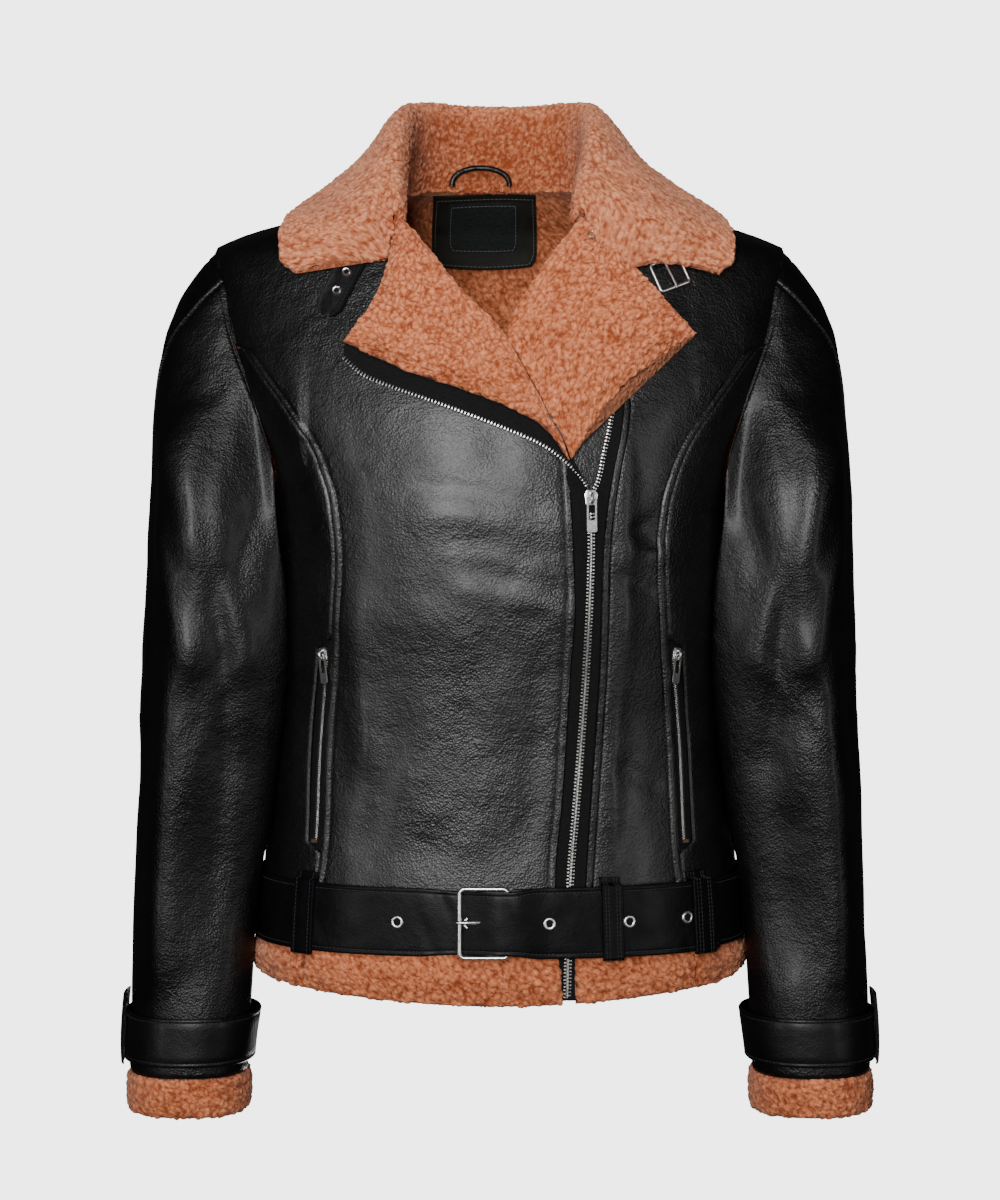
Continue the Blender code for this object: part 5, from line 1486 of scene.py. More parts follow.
@dataclass(frozen=True)
class Pad:
    """A fleece piece with a finely curled face, a plain back and rounded rims."""

    name: str
    finish: Finish
    curls: Curls
    radius: float = 2.6
    closed: bool = False
    held: str = "folded"
    rests_on: tuple[str, ...] = ()
    # A factor on the curl heights that set the colour, by share across; below 1 it paints shade.
    tone_and_painted_shade: Callable[[Array], Array] = np.ones_like

    def rim(self, grid: Array) -> tuple[Array, Array, Array]:
        """How far each point is drawn to the middle of the wall, and how near it is to each rim.

        Args:
            grid: the points.

        Returns:
            The share towards the other face, the signed nearness along rows and down columns.
        """
        start, stop = arc(grid, 1)
        top, end = arc(grid, 0)
        turned = [self.turn(start), self.turn(stop)]
        flat = (1 - 2 * turned[0]) * (1 - 2 * turned[1])
        if not self.closed:
            flat = flat * (1 - 2 * self.turn(top)) * (1 - 2 * self.turn(end))
        across = np.exp(-stop / 2.5) - np.exp(-start / 2.5)
        down = np.exp(-end / 2.5) - np.exp(-top / 2.5)
        down = np.zeros_like(across) if self.closed else down
        return np.minimum(0.5 * (1 - flat), 0.47), across, down

    def turn(self, distance: Array) -> Array:
        """The quarter circle of a rounded rim as a share of the wall, from its distance."""
        return 0.5 * (1 - np.sqrt(1 - (1 - np.clip(distance / self.radius, 0, 1)) ** 2))

    def build(
        self, surface: Callable[[Array, Array, float], Array], u: Array, v: Array, v_back: Array,
        replaces: tuple[str, ...] = (),
    ) -> bpy.types.Object:
        """Work out the curled face and the back, and join them in one closed skin.

        Args:
            surface: points by share along, share across and depth, 0 on the face and 1 on the back.
            u: shares along.
            v: shares across on the face.
            v_back: shares across on the back.
            replaces: the solids it stands for.

        Returns:
            The new object.
        """
        grid_u, grid_v = np.meshgrid(u, v, indexing="ij")
        face, behind = surface(grid_u, grid_v, 0.0), surface(grid_u, grid_v, 1.0)
        normal = grid_normals(face)
        if self.closed:
            ring = np.concatenate([face[-1:], face, face[:1]])
            normal = grid_normals(ring)[1:-1]
        normal *= np.sign((normal * (face - behind)).sum(-1).mean())
        share, across, down = self.rim(face)
        aside = np.gradient(face, axis=1)
        aside /= np.linalg.norm(aside, axis=-1)[..., None]
        along = np.cross(normal, aside)
        along *= np.sign((along * np.gradient(face, axis=0)).sum(-1).mean())
        edge = aside * across[..., None] + along * down[..., None]
        height = self.curls.heights(face)
        skin = face + (behind - face) * share[..., None]
        lift = self.curls.height * (height - 0.45)
        skin = skin + normal * (lift * (1 - 1.6 * share))[..., None]
        rough = self.curls.ragged * (soft_noise(face, 5.5, 31) + 1.6 * (height - 0.5))
        skin = skin + edge * rough[..., None]
        back_u, back_v = np.meshgrid(u, v_back, indexing="ij")
        front, back = surface(back_u, back_v, 0.0), surface(back_u, back_v, 1.0)
        share, _, _ = self.rim(back)
        back = back + (front - back) * share[..., None]
        rings = np.concatenate([skin, back[:, ::-1]], 1)
        # The curl heights also go to the attribute "tip", which sets the colour: painted shade between the
        # curls.
        tips = np.concatenate([height * self.tone_and_painted_shade(grid_v), np.full(back.shape[:2], 0.35)], 1)
        piece = Piece(self.name, self.finish, "jacket", replaces, 80, self.held, self.rests_on)
        obj = piece.ringed(rings, tips, self.closed)
        piece.cut(np.concatenate([face, face[:1]]) if self.closed else face)
        return obj


def even(length: float, step: float, near: Sequence[float] = (0, 0.5, 1.1, 1.8, 2.7)) -> Array:
    """Shares of a length in even steps, closer together at both ends."""
    return spread(np.array([length]), step, near)[0] / length


@dataclass(frozen=True)
class CollarForm:
    """The collar's fleece face and the leather under its fall."""

    step: float = 1.35
    wall: float = 5.2
    full_wall: float = 7.0

    def controls(self, station: Array) -> Array:
        """Control points of every section, from the neck seam over the roll to the fall's edge.

        Args:
            station: -1 at the right gorge, 0 at the middle of the back, 1 at the left gorge.

        Returns:
            Eight points a section.
        """
        read = {name: COLLAR.read(name, np.abs(station)) for name in COLLAR.columns[1:]}
        left = station > 0
        shift = {key: np.where(left, read[f"left_{key}"], 0) for key in ("roll", "bend", "edge", "bend_up")}

        def point(name: str, aside: Array) -> Array:
            """One named corner of every section."""
            x = np.sign(station) * read[name + "_x"] + aside
            return np.stack([x, read[name + "_y"], read[name + "_z"]], -1)

        neck, roll = point("neck", shift["roll"]), point("roll", shift["roll"])
        bend, edge = point("bend", shift["bend"]), point("edge", shift["edge"])
        near = step_up(np.abs(station), 0.93, 1.0)
        bend[:, 2] += shift["bend_up"] - 19 * near
        bend[:, 0] -= 12 * near * np.sign(station)
        neck[:, 2] -= 4 * (1 - step_up(np.abs(station), 0.6, 0.9))
        neck[:, 1] -= 1.5 * (1 - step_up(np.abs(station), 0.4, 0.7))
        away = edge - roll
        away[:, 2] = 0
        away /= np.linalg.norm(away, axis=1)[:, None]
        radius, up = read["radius"][:, None], np.array([0, 0, 1.0])
        inside = roll - away * radius * 0.9 - up * radius * 1.1
        top = roll + up * radius * 0.55
        outside = roll + away * radius * 1.15 - up * radius * 0.4
        low = neck + (inside - neck) * 0.4
        middle = (bend + edge) / 2
        middle[:, 2] += 13 * near
        return np.stack([neck, low, inside, top, outside, bend, middle, edge], 1)

    def face(self, station: Array, across: Array) -> Array:
        """The face as a uniform cubic curve through each section's controls, kept off the body.

        Args:
            station: stations of the rows.
            across: shares of the section, 0 at the neck and 1 at the edge.

        Returns:
            A grid of points.
        """
        corner = self.controls(station)
        before, after = 2 * corner[:, :1] - corner[:, 1:2], 2 * corner[:, -1:] - corner[:, -2:-1]
        padded = np.concatenate([before, corner, after], 1)
        at = across * (corner.shape[1] - 1)
        index = np.minimum(at.astype(int), corner.shape[1] - 2)
        t = (at - index)[None, :, None]
        p0, p1, p2, p3 = (padded[:, index + k] for k in range(4))
        last = -3 * t**3 + 3 * t**2 + 3 * t + 1
        face = (p0 * (1 - t) ** 3 + p1 * (3 * t**3 - 6 * t**2 + 4) + p2 * last + p3 * t**3) / 6
        pushed = face + smoothed(BODY.push_out(face, self.full_wall + COLLAR_REST) - face, len(across) // 11)
        return face + (pushed - face) * step_up(across, 0.42, 0.72)[None, :, None]

    def wave(self, points: Array, across: Array) -> Array:
        """Soft unevenness of the fall: swells and the creases that run down from the roll."""
        swell = 1.6 * soft_noise(points, 42, 41) + 0.8 * soft_noise(points * np.array([1, 1, 0.5]), 20, 42)
        return swell * step_up(across, 0.35, 0.6)

    def build(self) -> None:
        """Make the fleece and the leather under it."""
        across = even(170.0, self.step)
        station = np.linspace(-1, 1, 440)
        table: dict[int, Array] = {}

        def surface(u: Array, v: Array, depth: float) -> Array:
            """Collar points by shares, at a share of the fleece's depth."""
            key = v.shape[1]
            if key not in table:
                face = self.face(2 * u[:, 0] - 1, v[0])
                normal = grid_normals(face)
                normal *= np.sign(-(normal[len(u) // 2, : int(key * 0.3), 1]).mean())
                table[key] = np.stack([face + normal * self.wave(face, v)[..., None] - normal * 0.6, normal])
            face, normal = table[key]
            return face - normal * self.wall * depth

        # The stand's curls get a deeper colour than the fall's: painted shade on the stand, which faces away
        # from the light above.
        pad = Pad("collar_fleece", COLLAR_FLEECE, Curls(4.3, 2.6, 1.5), rests_on=("collar_leather",),
                  tone_and_painted_shade=lambda v: 0.62 + 0.38 * step_up(v, 0.28, 0.42))
        pad.build(surface, (station + 1) / 2, across, np.linspace(0, 1, 26), replaces=("collar",))
        station, across = np.linspace(-0.99, 0.99, 90), np.linspace(0.012, 0.985, 40)
        face = self.face(station, across)
        normal = grid_normals(face)
        normal *= np.sign(-normal[45, 10, 1])
        wave = self.wave(face, across[None]) - 0.6
        inner, outer = wave - self.wall - 0.2, wave - self.full_wall
        under = Piece("collar_leather", LEATHER, held="folded", rests_on=("back_leather",))
        under.shell(face + normal * outer[..., None], face + normal * inner[..., None])


@dataclass(frozen=True)
class LapelForm:
    """One lapel, spread between its roll line, gorge, outer edge and lower edge on the front."""

    name: str
    roll: Array
    gorge: Array
    lower: Array
    outer: Array
    wall: float
    step: float = 1.35
    leather: float = 1.5

    @staticmethod
    def blend(line: Array, at: Array) -> Array:
        """A line of points read at shares from 0 to 1 with smooth curves between them."""
        share = np.linspace(0, 1, len(line))
        curve = Curve("t a b", [(t, *p) for t, p in zip(share, line)])
        return np.stack([curve.read("a", at), curve.read("b", at)], -1)

    def flat(self, u: Array, v: Array) -> Array:
        """The patch between the four lines: both pairs blended, less the blend of the corners."""
        s, t = u[..., None], v[..., None]
        across = (1 - t) * self.blend(self.roll, u) + t * self.blend(self.outer, u)
        along = (1 - s) * self.blend(self.gorge, v) + s * self.blend(self.lower, v)
        first, last = self.roll[0], self.roll[-1]
        high, tip = self.outer[0], self.outer[-1]
        corners = (1 - s) * (1 - t) * first + s * (1 - t) * last + (1 - s) * t * high + s * t * tip
        return across + along - corners

    def surface(self, u: Array, v: Array, depth: float) -> Array:
        """Lapel points by shares: thinner towards its rims, with soft swells on the face."""
        flat = self.flat(u, v)
        x, z = flat[..., 0], flat[..., 1]
        rim = np.minimum(np.minimum(v, 1 - v) * 9, np.minimum(u, 1 - u) * 13)
        high = TRIM_REST + self.wall * (0.62 + 0.38 * step_up(rim, 0, 1.6))
        base = BODY.front(x, z)
        swell = 1.2 * soft_noise(base, 38, 51) + 0.5 * soft_noise(base, 17, 52)
        high = high + step_up(rim, 0, 2) * swell - 0.4
        low = TRIM_REST + self.leather + 0.3
        return BODY.front(x, z, high + (low - high) * depth)

    def build(self) -> None:
        """Make the fleece and the leather under it."""
        long = float(np.linalg.norm(np.diff(self.roll, axis=0), axis=1).sum())
        wide = max(float(np.linalg.norm(self.lower[-1] - self.lower[0])), 100.0)
        radius = 2.6 if self.wall < 9 else 3.4
        curls, under = Curls(4.2, 2.4, 1.3, 3), f"{self.name}_leather"
        pad = Pad(f"{self.name}_fleece", LAPEL_FLEECE, curls, radius, rests_on=(under,))
        shares = (even(long, self.step), even(wide, self.step * 1.05), np.linspace(0, 1, 14))
        pad.build(self.surface, *shares, replaces=(self.name,))
        u, v = np.meshgrid(np.linspace(0.01, 0.99, 50), np.linspace(0.01, 0.99, 36), indexing="ij")
        flat = self.flat(u, v)
        high, low = (BODY.front(flat[..., 0], flat[..., 1], TRIM_REST + h) for h in (self.leather, 0))
        front = f"{self.name.replace('lapel', 'front')}_leather"
        Piece(under, LEATHER, held="folded", rests_on=(front,)).shell(high, low)


def bowed(start: Array, end: Array, bow: float, count: int) -> Array:
    """A line between two places of the front that bows sideways in its middle."""
    t = np.linspace(0, 1, count)[:, None]
    start, end = np.asarray(start, float), np.asarray(end, float)
    run = (end - start) / np.linalg.norm(end - start)
    return start + (end - start) * t + np.array([-run[1], run[0]]) * bow * np.sin(np.pi * t)


def overhang(z: Array) -> Array:
    """How far the right lapel rolls past the panel's edge: only above the point of the V."""
    return LAPEL_OVERHANG * np.clip((z - V_POINT + 8) / 20, 0, 1) - 0.4


def lapels() -> tuple[LapelForm, LapelForm]:
    """Both lapels; the right one lies over the left one's edge below the point of the V."""
    count = 13
    z = np.linspace(RIGHT_LAPEL_TOP + 5, RIGHT_LAPEL["end"][1], count)
    roll = np.stack([RIGHT_EDGE.read("x", z) + overhang(z), z], -1)
    notch, tip = (np.array(RIGHT_LAPEL[key], float) for key in ("notch", "tip"))
    notch = notch + np.array([2.4, 4.4])
    lower_x = np.linspace(roll[-1][0], tip[0], 9)
    lower = np.stack([lower_x, BAND_TOP.read("z", lower_x) + 0.5], -1)
    lower[0] = roll[-1]
    outer = bowed(notch, tip, RIGHT_LAPEL_HOLLOW, count)
    outer[-1] = lower[-1]
    right = LapelForm("lapel_right", roll, bowed(roll[0], notch, 0, 9), lower, outer, 10.0)
    z = np.linspace(LEFT_LAPEL_TOP + 5, LEFT_LAPEL["end"][1], count)
    beside = RIGHT_EDGE.read("x", z) + overhang(z) + LAPEL_STEP
    x = np.where(z < V_POINT, beside, np.maximum(LEFT_EDGE.read("x", z) - LAPEL_OVERHANG, beside))
    roll = np.stack([x, z], -1)
    notch, tip = (np.array(LEFT_LAPEL[key], float) for key in ("notch", "tip"))
    notch = notch + np.array([-3.2, 4.0])
    lower = bowed(roll[-1], tip, LEFT_LAPEL_HOLLOW, 9)
    left = LapelForm("lapel_left", roll, bowed(roll[0], notch, 0, 9), lower, bowed(notch, tip, 0, count), 7.6)
    return right, left


# Zips, stitches and metal trim

BAND_OUT = 3.0
BAND_DROP = 4.5
BAND_WALL = 1.6
LEFT_TAPE = (-3.1, -1.5)
FLY_OUT = (-5.4, -3.6)
ZIP_END = -588.0
ZIP_SLIDER_SEAT = (64.5, -226.0, -1.2)
POCKET_TAPE = (-4.2, -2.6)
POCKET_SLIDER_SEAT = (127.5, -341.0, -1.9)
POCKET_SLIDER_LEAN = 9.0
POCKET_SLIDER_SCALE = 0.85
POCKET_STOP_Z = -477.0
PULL_HEIGHT = 4.0
SLIDER_OUTLINE = ((-3.9, -5.2), (3.9, -5.2), (4.9, 2.6), (3.2, 5.8), (-3.2, 5.8), (-4.9, 2.6))
SLIDER_BRIDGE = ((-3.4, 2.2), (-3.3, 4.6), (-2.2, 6.2), (0, 6.7), (2.2, 6.2), (3.3, 4.6), (3.4, 2.2))
CHAIN_TOP = -222
BAND_FOLD = -199


@dataclass(frozen=True)
class Line:
    """A line laid on the front or round the body: its points and the outward directions there."""

    points: Array
    normals: Array

    @staticmethod
    def front(x: Array, z: Array, out: Array | float) -> "Line":
        """A line of the front by x and height, at a distance off the surface."""
        x, z, out = np.broadcast_arrays(*(np.asarray(v, float) for v in (x, z, out)))
        low, high = BODY.front(x, z, out), BODY.front(x, z, out + 1)
        return Line(low, high - low)

    @staticmethod
    def round(turn: Array, z: Array, out: Array | float) -> "Line":
        """A line round the body by turn and height, at a distance off the surface."""
        turn, z, out = np.broadcast_arrays(*(np.asarray(v, float) for v in (turn, z, out)))
        low, high = BODY.point(turn, z, out), BODY.point(turn, z, out + 1)
        return Line(low, high - low)

    def spaced(self, pitch: float) -> tuple[Array, Array, Array]:
        """Places at even steps along the line.

        Args:
            pitch: the step.

        Returns:
            The places, the directions along and the directions out.
        """
        walk = np.concatenate([[0], np.cumsum(np.linalg.norm(np.diff(self.points, axis=0), axis=1))])
        at = np.arange(pitch / 2, walk[-1], pitch)
        place = np.stack([np.interp(at, walk, self.points[:, k]) for k in range(3)], -1)
        ahead = np.stack([np.interp(at + 0.6, walk, self.points[:, k]) for k in range(3)], -1)
        behind = np.stack([np.interp(at - 0.6, walk, self.points[:, k]) for k in range(3)], -1)
        normal = np.stack([np.interp(at, walk, self.normals[:, k]) for k in range(3)], -1)
        return place, ahead - behind, normal / np.linalg.norm(normal, axis=1)[:, None]


@dataclass(frozen=True)
class Stitches:
    """Rows of short dashes of thread that follow lines."""

    finish: Finish = THREAD
    pitch: float = 3.0
    length: float = 2.2
    width: float = 0.62
    height: float = 0.42

    def build(self, name: str, lines: Sequence[Line]) -> bpy.types.Object:
        """Join all the lines' dashes in one mesh."""
        shape, faces = block(self.length, self.width, self.height)
        spots = [line.spaced(self.pitch) for line in lines]
        at, along, normal = (np.concatenate(part) for part in zip(*spots))
        return Piece(name, self.finish).make(*scattered(shape, faces, at, along, normal))


@dataclass(frozen=True)
class Teeth:
    """Rows of zip teeth, each a small block set across its line."""

    pitch: float = 2.5
    length: float = 3.6
    width: float = 1.15
    height: float = 1.6

    def build(self, name: str, lines: Sequence[tuple[Line, float, float]]) -> bpy.types.Object:
        """Join the teeth of all lines.

        Args:
            name: the piece's name.
            lines: each with a shift across it and a phase along it, as shares of the length and pitch.

        Returns:
            The new object.
        """
        shape, faces = block(self.length, self.width, self.height, 0.22)
        made = []
        for line, shift, phase in lines:
            at, along, normal = line.spaced(self.pitch)
            along /= np.linalg.norm(along, axis=1)[:, None]
            across = np.cross(normal, along)
            at = at + along * self.pitch * phase + across * self.length * shift - normal * 0.2
            made.append(scattered(shape, faces, at, across, normal))
        counts = np.cumsum([0] + [len(points) for points, _ in made])
        points = np.concatenate([points for points, _ in made])
        joined = np.concatenate([face + start for (_, face), start in zip(made, counts)])
        return Piece(name, TEETH).make(points, joined)


def strip(
    name: str, finish: Finish, first: Array, last: Array, low: Array, high: Array, replaces: str
) -> None:
    """A flat strip of the front between two lines of x and z, as a thin wall with soft rims.

    Args:
        name: the piece's name.
        finish: its finish.
        first: one edge.
        last: the other.
        low: distance of its back off the surface.
        high: distance of its face.
        replaces: the solid it stands for.
    """
    share = np.array([0, 0.04, 0.2, 0.4, 0.6, 0.8, 0.96, 1.0])
    flat = first[:, None] * (1 - share[:, None]) + last[:, None] * share[:, None]
    drop = np.array([0.35, 0, 0, 0, 0, 0, 0, 0.35])
    low, high = (np.broadcast_to(np.asarray(v, float).reshape(-1, 1), flat.shape[:2]) for v in (low, high))
    outer = BODY.front(flat[..., 0], flat[..., 1], high - drop)
    piece = Piece(name, finish, replaces=(replaces,), held="hung", rests_on=("front_right_leather",))
    piece.shell(outer, BODY.front(flat[..., 0], flat[..., 1], low))


class Zip:
    """The front zip: woven bands, teeth in both rows and the leather fly behind them."""

    def meet(self, z: Array) -> Array:
        """Where the two rows of teeth meet, as x."""
        return np.where(z > CHAIN_TOP, BAND_LOWER.read("x", z), ZIP_LINE.read("x", z))

    def band_out(self, z: Array) -> Array:
        """How far the folded band's face stands off the front: it sinks below the lapel's end."""
        return BAND_OUT - BAND_DROP * np.clip((BAND_FOLD - z) / 20, 0, 1)

    def build(self) -> None:
        """Make the bands, the teeth and the fly's leather."""
        x_top, x_teeth = np.linspace(-110, 50.6, 60), np.linspace(-111, 60, 60)
        first = np.stack([x_top, BAND_TOP.read("z", x_top) + 2.5], -1)
        last = np.stack([x_teeth, BAND_TEETH.read("z", x_teeth)], -1)
        z = np.concatenate([[-207, -214, -222, -232], np.linspace(-245, ZIP_END, 90)])
        first = np.concatenate([first, np.stack([RIGHT_EDGE.read("x", z) - 2.5, z], -1)])
        last = np.concatenate([last, np.stack([self.meet(z) - 0.3, z], -1)])
        high = self.band_out(first[:, 1])
        strip("zip_band_cloth", TAPE, first, last, high - BAND_WALL, high, "zip_band_right")
        z = np.concatenate([np.linspace(-150, -232, 28), np.linspace(-245, ZIP_END, 90)])
        teeth_x = np.where(z > CHAIN_TOP, LEFT_TEETH.read("x", z), ZIP_LINE.read("x", z) + 0.3)
        teeth_x = np.maximum(teeth_x, ZIP_LINE.read("x", z) + 0.3)
        first = np.stack([teeth_x, z], -1)
        last = np.stack([LEFT_EDGE.read("x", z) + 2.5, z], -1)
        strip("zip_left_cloth", TAPE, first, last, *LEFT_TAPE, "zip_tape_left")
        self.teeth()
        z = np.linspace(-152, ZIP_END, 100)
        beside = (RIGHT_EDGE.read("x", z) - 2, LEFT_EDGE.read("x", z) + 2)
        first, last = (np.stack([x, z], -1) for x in beside)
        strip("zip_fly_leather", LEATHER, first, last, *FLY_OUT, "zip_fly")

    def teeth(self) -> None:
        """Teeth of the closed zip in two staggered rows, and along both open edges."""
        z = np.linspace(-236, ZIP_END + 2, 150)
        closed = Line.front(ZIP_LINE.read("x", z), z, -1.3)
        x = np.linspace(-111, 62, 120)
        open_z = BAND_TEETH.read("z", x)
        right = Line.front(x, open_z, self.band_out(open_z) - 0.1)
        z = np.linspace(-158, -220, 60)
        left = Line.front(np.maximum(LEFT_TEETH.read("x", z), ZIP_LINE.read("x", z)), z, -1.4)
        rows = [(closed, 0.28, 0.0), (closed, -0.28, 0.5), (right, 0.1, 0.0), (left, -0.15, 0.0)]
        Teeth().build("front_zip_teeth", rows)


@dataclass(frozen=True)
class Slider:
    """A zip slider with a bridge over it, and a long flat ring with a solid lower end as its pull."""

    name: str
    pull_name: str
    body: str
    where: tuple[Array, Array, Array, Array]
    lean: float
    scale: float
    drop: float

    def shape(self, outline: Sequence[tuple], low: float, high: float, draw: float) -> Array:
        """Rings of an outline raised between two heights, with drawn-in rims."""
        flat = np.array(outline, float) * self.scale
        fine = smooth_loop(flat, 6)
        levels = (low, low + draw * 2, high - draw * 3, high - draw, high)
        return np.array([
            np.column_stack([fine * size, np.full(len(fine), height * self.scale)])
            for height, size in zip(levels, (1 - draw, 1.0, 1.0, 0.97, 0.9))
        ])

    def build(self) -> None:
        """Make the slider's shield with its bridge, and the pull."""
        plate = self.shape(SLIDER_OUTLINE, 0, 2.6, 0.12)
        body = Piece(self.name + "_metal", NICKEL, replaces=(self.name,), sharp=30)
        body.ringed(placed(self.where, plate, self.lean))
        side = np.array(SLIDER_BRIDGE) * self.scale
        arch = placed(self.where, curve_through(np.column_stack([np.zeros(len(side)), side]), 28), self.lean)
        Piece(self.name + "_bridge", NICKEL, sharp=30).tube(arch, 0.95 * self.scale, 10)
        self.pull()

    def pull(self) -> None:
        """The pull: an open upper ring and a solid tongue, both from one outline with a slot."""
        width, length = 3.7 * self.scale, 25.2 * self.scale
        outer = rounded_box(width, length, 1.3, 9)
        inner = rounded_box(width - 1.45 * self.scale, length * 0.60, 1.0, 9)
        inner[:, 1] -= 1.3 * self.scale
        thick = 0.62 * self.scale
        rings = []
        for loop, draw in ((outer, 1), (inner, -1)):
            away = loop - loop.mean(0)
            away = away / np.linalg.norm(away, axis=1)[:, None]
            for height, size in ((-thick, 0.25), (-0.5 * thick, 0), (0.5 * thick, 0), (thick, 0.25)):
                flat = loop - away * size * draw * self.scale
                rings.append(np.column_stack([flat, np.full(len(loop), height)]))
        order = [0, 1, 2, 3, 7, 6, 5, 4]
        grid = np.array([rings[k] for k in order])
        grid[..., 1] += 0.75 * self.scale
        grid[..., 2] += PULL_HEIGHT * self.scale - grid[..., 1] / (24 * self.scale) * self.drop
        piece = Piece(self.pull_name + "_metal", NICKEL, self.body, (self.pull_name,), sharp=35)
        piece.ringed(placed(self.where, grid, self.lean), closed=True)


def smooth_loop(loop: Array, steps: int) -> Array:
    """A closed outline with more points and softened corners."""
    at = np.arange(len(loop) * steps) / steps
    index = at.astype(int)
    t = (at - index)[:, None]
    t = t + 0.25 * np.sin(TAU * t) / TAU
    return loop[index] * (1 - t) + loop[(index + 1) % len(loop)] * t


def curve_through(path: Array, count: int) -> Array:
    """Points on smooth curves through a path's points."""
    share = np.linspace(0, 1, len(path))
    curve = Curve("t a b c", [(t, *p) for t, p in zip(share, path)])
    at = np.linspace(0, 1, count)
    return np.stack([curve.read(name, at) for name in "abc"], -1)


def rounded_box(half: float, length: float, corner: float, steps: int) -> Array:
    """An outline that hangs down from the origin: a long box with rounded corners.

    Args:
        half: its half width.
        length: how far it hangs.
        corner: its corners' radius.
        steps: points in each corner.

    Returns:
        The outline's points.
    """
    corner = min(corner, half * 0.9)
    angle = np.radians(np.linspace(0, 90, steps))
    side, low = half - corner, corner - length
    loops = []
    for x, y, start in ((side, -corner, 0), (-side, -corner, 90), (-side, low, 180), (side, low, 270)):
        turn = angle + math.radians(start)
        loops.append(np.stack([x + corner * np.cos(turn), y + corner * np.sin(turn)], -1))
    return np.concatenate(loops)


class Pockets:
    """Both pocket zips: tape, teeth, brass end and the slider with its pull."""

    def build(self) -> None:
        """Make both pockets' pieces."""
        rows = []
        for side, sign in (("right", -1), ("left", 1)):
            z = np.linspace(POCKET_TOP - 3, POCKET_END + 3, 60)
            seam = PRINCESS.read("x", z)
            width = POCKET_WIDTH * np.maximum(pocket_share(z), 0.3)
            first = np.stack([sign * (seam - 2.5), z], -1)
            last = np.stack([sign * (seam + width + 2.5), z], -1)
            strip(f"pocket_cloth_{side}", TAPE, first, last, *POCKET_TAPE, f"pocket_tape_{side}")
            z = np.linspace(POCKET_TOP - 14, POCKET_STOP_Z, 60)
            line = Line.front(sign * (PRINCESS.read("x", z) + POCKET_WIDTH * 0.5), z, -2.45)
            rows += [(line, 0.2, 0.0), (line, -0.2, 0.5)]
            x, z_seat, out = POCKET_SLIDER_SEAT
            where = BODY.seat(sign * x, z_seat, out)
            lean = math.radians(POCKET_SLIDER_LEAN) * sign
            names = (f"pocket_slider_{side}", f"pocket_pull_{side}", f"{side}_pocket_pull")
            Slider(*names, where, lean, POCKET_SLIDER_SCALE, 1.8).build()
            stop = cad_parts[f"pocket_stop_{side}"]
            stop.data.materials.clear()
            stop.data.materials.append(BRASS.material())
        Teeth(1.75, 2.7, 1.1, 1.0).build("pocket_zip_teeth", rows)


def ring_loop(radius: float, hole: float, wall: float, steps: int = 40) -> Array:
    """A flat metal ring with a rounded, drawn-in rim, as rings of its section.

    Args:
        radius: its outer radius.
        hole: its hole's radius.
        wall: its thickness.
        steps: sections round it.

    Returns:
        The grid of points.
    """
    section = [(hole, 0), (hole, wall * 0.8), (hole + 0.25, wall), (0.5 * (hole + radius), wall * 1.15)]
    section += [(radius - 0.7, wall), (radius - 0.2, wall * 0.6), (radius, 0)]
    across, up = np.array(section).T
    angle = np.arange(steps) * TAU / steps
    sides = [np.cos(angle)[:, None] * across, np.sin(angle)[:, None] * across]
    return np.stack([*sides, np.broadcast_to(up, (steps, len(up)))], -1)


# The belt, the hem, the cuffs, the neck and the collar's fastening

BELT_TOP = -508.0
BELT_END = -554.0
BELT_WALL = 2.6
BELT_SETTING = 1.2
BELT_STITCH_IN = 3.2
PRONG = ((-3.0, 1.0, 0.9), (-6.0, 1.0, 1.5), (-9.0, 1, 2.1), (-13, 1, 2.7), (-18.0, 1, 2.8), (-19.9, 1, 2.7))
PRONG_RADII = (2.3, 2.4, 2.2, 1.9, 1.7, 1.1)
LOOP_HALF_TURN = 6 / 118
BUCKLE_X = (-29.0, 6.0)
BUCKLE_WIRE = 1.25
BELT_MIDDLE = (BELT_TOP + BELT_END) / 2
BELT_TIP_X = 152.0
BELT_LOOPS = (("belt_loop_right", -140.0), ("belt_loop_left", 79.0), ("belt_loop_side", 143.0))
BACK_LOOPS = (("belt_loop_back_right", 222.0), ("belt_loop_back_left", 138.0))
EYELET_X = (-73.0, 35.0, 91.0, 131.5)
HEM_TOP = -550.3
HEM_SIDE = -578.0
HEM_SEAM_TURN = 0.0006
HEM_CROWN = Curve("t out", [(0, 0.3), (0.16, 0.6), (0.55, 3.2), (1, 1.2)])


